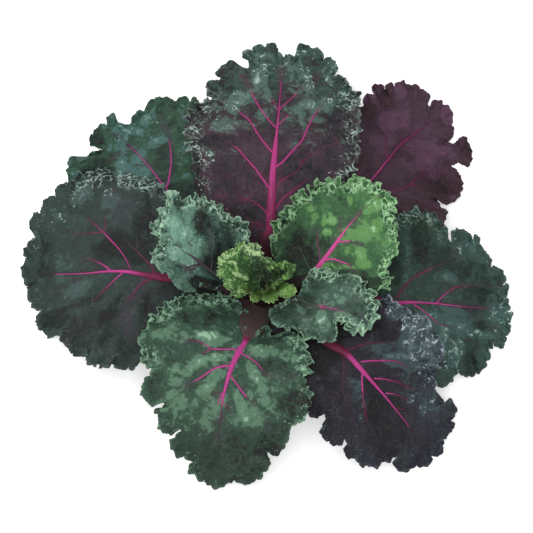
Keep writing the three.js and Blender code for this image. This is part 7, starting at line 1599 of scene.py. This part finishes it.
# ------------------------------------------------------------ stem
def stem_piece():
    NS, rings = 96, []
    zs = np.concatenate([[0.0, 0.05, 0.35, 0.9], np.linspace(1.6, 59.0, 70), [59.6, 60.0]])
    r = hermite([[0, 13.0], [14, 13.0], [26, 12.0], [40, 10.4], [52, 9.0], [60, 8.2]], zs)
    r = r - np.where(zs < 1.0, (1 - zs) ** 2 * 0.7, 0) - np.where(zs > 59, (zs - 59) * 1.2, 0)
    a = np.arange(NS) / NS * 2 * np.pi
    A, Z = np.meshgrid(a, zs)
    rr = r[:, None] - 0.25 + 0.25 * np.cos(A * 5 + Z * 0.05) + 0.18 * np.sin(A * 13 + Z * 0.03) + 0.15 * noise2(A * 4, Z / 6, 3)
    # leaf scars: low ridged ovals where older leaves were
    for az, zc in ((200, 9), (60, 7), (318, 8), (150, 13), (270, 15), (20, 10)):
        d = np.degrees(np.mod(A - math.radians(az) + np.pi, 2 * np.pi) - np.pi) / 26
        e = np.hypot(d, (Z - zc) / 2.6)
        rr = rr + 0.55 * np.exp(-((e - 1) / 0.28) ** 2) - 0.3 * np.exp(-(e / 0.7) ** 2)
    rr = np.minimum(rr, 13.25)
    V = np.stack([rr * np.cos(A), rr * np.sin(A), Z], -1).reshape(-1, 3)
    nz = len(zs)
    i = (np.arange(nz - 1)[:, None] * NS + np.arange(NS)[None])
    j = (np.arange(nz - 1)[:, None] * NS + (np.arange(NS)[None] + 1) % NS)
    Q = np.stack([i, j, j + NS, i + NS], -1).reshape(-1, 4)
    # cut face in rings, and the top
    fr = np.array([0.93, 0.84, 0.7, 0.5, 0.28, 0.1])
    edge = [np.full(nz * NS, 20.0)]
    vs, qs, ts = [V], [Q], []
    n = len(V)
    prev = np.arange(NS)
    for f in fr:
        ring = V[:NS] * [f, f, 0] + [0, 0, 0.25 * (1 - f) * 0]
        ring[:, 2] = 0.15 * (f < 0.75) + 0.12 * np.sin(a * 7) * (f < 0.9) * (f > 0.2) * 0.5 + 0.02
        vs.append(ring)
        cur = n + np.arange(NS)
        qs.append(np.stack([prev, cur, np.roll(cur, -1), np.roll(prev, -1)], 1))
        edge.append(np.full(NS, f))
        prev, n = cur, n + NS
    vs.append(np.array([[0, 0, 0.2]]))
    edge.append([0.0])
    ts.append(np.stack([prev, np.full(NS, n), np.roll(prev, -1)], 1))
    n += 1
    topr = (nz - 1) * NS + np.arange(NS)
    vs.append(np.array([[0, 0, 60.0]]))
    edge.append([20.0])
    ts.append(np.stack([topr, np.roll(topr, -1), np.full(NS, n)], 1))
    B = Build()
    VV = np.vstack(vs)
    B.add(VV, np.vstack(ts), np.vstack(qs), 0, place=VV, edge=np.concatenate(edge), u=VV[:, 2] / 60)
    k = Nodes("stem_skin")
    P, e, u = k.attr("place", True), k.attr("edge"), k.attr("u")
    mp = k.t.nodes.new("ShaderNodeMapping")
    mp.inputs["Scale"].default_value = (1.0, 1.0, 0.12)
    k.link(P, mp.inputs["Vector"])
    fib = k.noise(mp.outputs[0], 0.9, 4.0, 0.6)
    blot = k.noise(P, 0.12, 3.0, 0.6, 0.5)
    c = k.mix(k.ramp(fib, 0.3, 0.7), srgb(128, 132, 100), srgb(170, 172, 138))
    c = k.mix(k.ramp(blot, 0.45, 0.62, 0.0, 0.8), c, srgb(120, 74, 98))
    # darker from low on the stem upwards: painted shade under the crown of leaves
    c = k.mix(k.ramp(u, 0.1, 0.34, 0.0, 0.97), c, srgb(58, 38, 42))
    pith = k.mix(k.ramp(k.noise(P, 0.9, 4.0, 0.7), 0.35, 0.7), srgb(214, 212, 178), srgb(190, 184, 142))
    ringc = k.mix(k.ramp(e, 0.78, 0.9), pith, srgb(150, 148, 98))
    c = k.mix(k.ramp(e, 1.2, 1.5, 0.0, 1.0, False), ringc, c)
    k.link(c, k.bsdf.inputs["Base Color"])
    k.link(k.ramp(fib, 0.3, 0.7, 0.6, 0.8), k.bsdf.inputs["Roughness"])
    k.bsdf.inputs["Specular IOR Level"].default_value = 0.08
    b = k.bump(fib, 0.5, 0.0006)
    k.link(k.bump(k.noise(P, 1.6, 3.0), 0.3, 0.0003, b), k.bsdf.inputs["Normal"])
    ob = B.done("stem_visual", [k.m])
    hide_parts("stem")
    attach(ob, "root")


stem_piece()

# ------------------------------------------------------------ floor, light, camera
fm = Nodes("floor_white")
fm.bsdf.inputs["Base Color"].default_value = (0.92, 0.92, 0.92, 1)
fm.bsdf.inputs["Roughness"].default_value = 0.9
fm.bsdf.inputs["Specular IOR Level"].default_value = 0.1
fm.bsdf.inputs["Emission Color"].default_value = (1, 1, 1, 1)
fm.bsdf.inputs["Emission Strength"].default_value = 0.42
me = bpy.data.meshes.new("floor")
me.from_pydata([(-3, -3, 0), (3, -3, 0), (3, 3, 0), (-3, 3, 0)], [], [(0, 1, 2, 3)])
me.materials.append(fm.m)
floor = bpy.data.objects.new("floor", me)
bpy.context.scene.collection.objects.link(floor)
floor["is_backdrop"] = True

world = bpy.data.worlds.new("studio")
bpy.context.scene.world = world
world.use_nodes = True
bg = world.node_tree.nodes.get("Background") or world.node_tree.nodes.new("ShaderNodeBackground")
bg.inputs[0].default_value = (1, 1, 1, 1)
bg.inputs[1].default_value = 0.34


def area(name, loc, target, size, power, color=(1, 1, 1)):
    d = bpy.data.lights.new(name, "AREA")
    d.shape = "DISK"
    d.size = size
    d.energy = power
    d.color = color
    o = bpy.data.objects.new(name, d)
    o.location = loc
    o.rotation_euler = (Vector(target) - Vector(loc)).to_track_quat("-Z", "Y").to_euler()
    bpy.context.scene.collection.objects.link(o)


area("overhead", (-0.1, -0.3, 1.75), (0, 0, 0.04), 1.1, 20.0)
area("key", (-0.9, 0.55, 1.25), (0, 0, 0.04), 0.5, 8.5)

cam_data = bpy.data.cameras.new("camera")
cam = bpy.data.objects.new("camera", cam_data)
bpy.context.scene.collection.objects.link(cam)
EL = math.radians(78.0)
target = Vector((0.0011, -0.00377, 0.030))
cam.location = target + Vector((0, -math.cos(EL), math.sin(EL))) * 1.5
cam.rotation_euler = (target - cam.location).to_track_quat("-Z", "Y").to_euler()
cam_data.sensor_width = 36.0
cam_data.lens = 36.0 * 1500.0 / (533 * 0.735)
cam_data.clip_start = 0.05
cam_data.clip_end = 20.0
bpy.context.scene.camera = cam
bpy.context.scene.view_settings.view_transform = "Standard"
bpy.context.scene.view_settings.look = "None"

VISUAL_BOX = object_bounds()


def plain(v):
    try:
        return [plain(x) for x in list(v)]
    except TypeError:
        return float(v)


{"cad": plain(CAD_BOX), "visual": plain(VISUAL_BOX)}
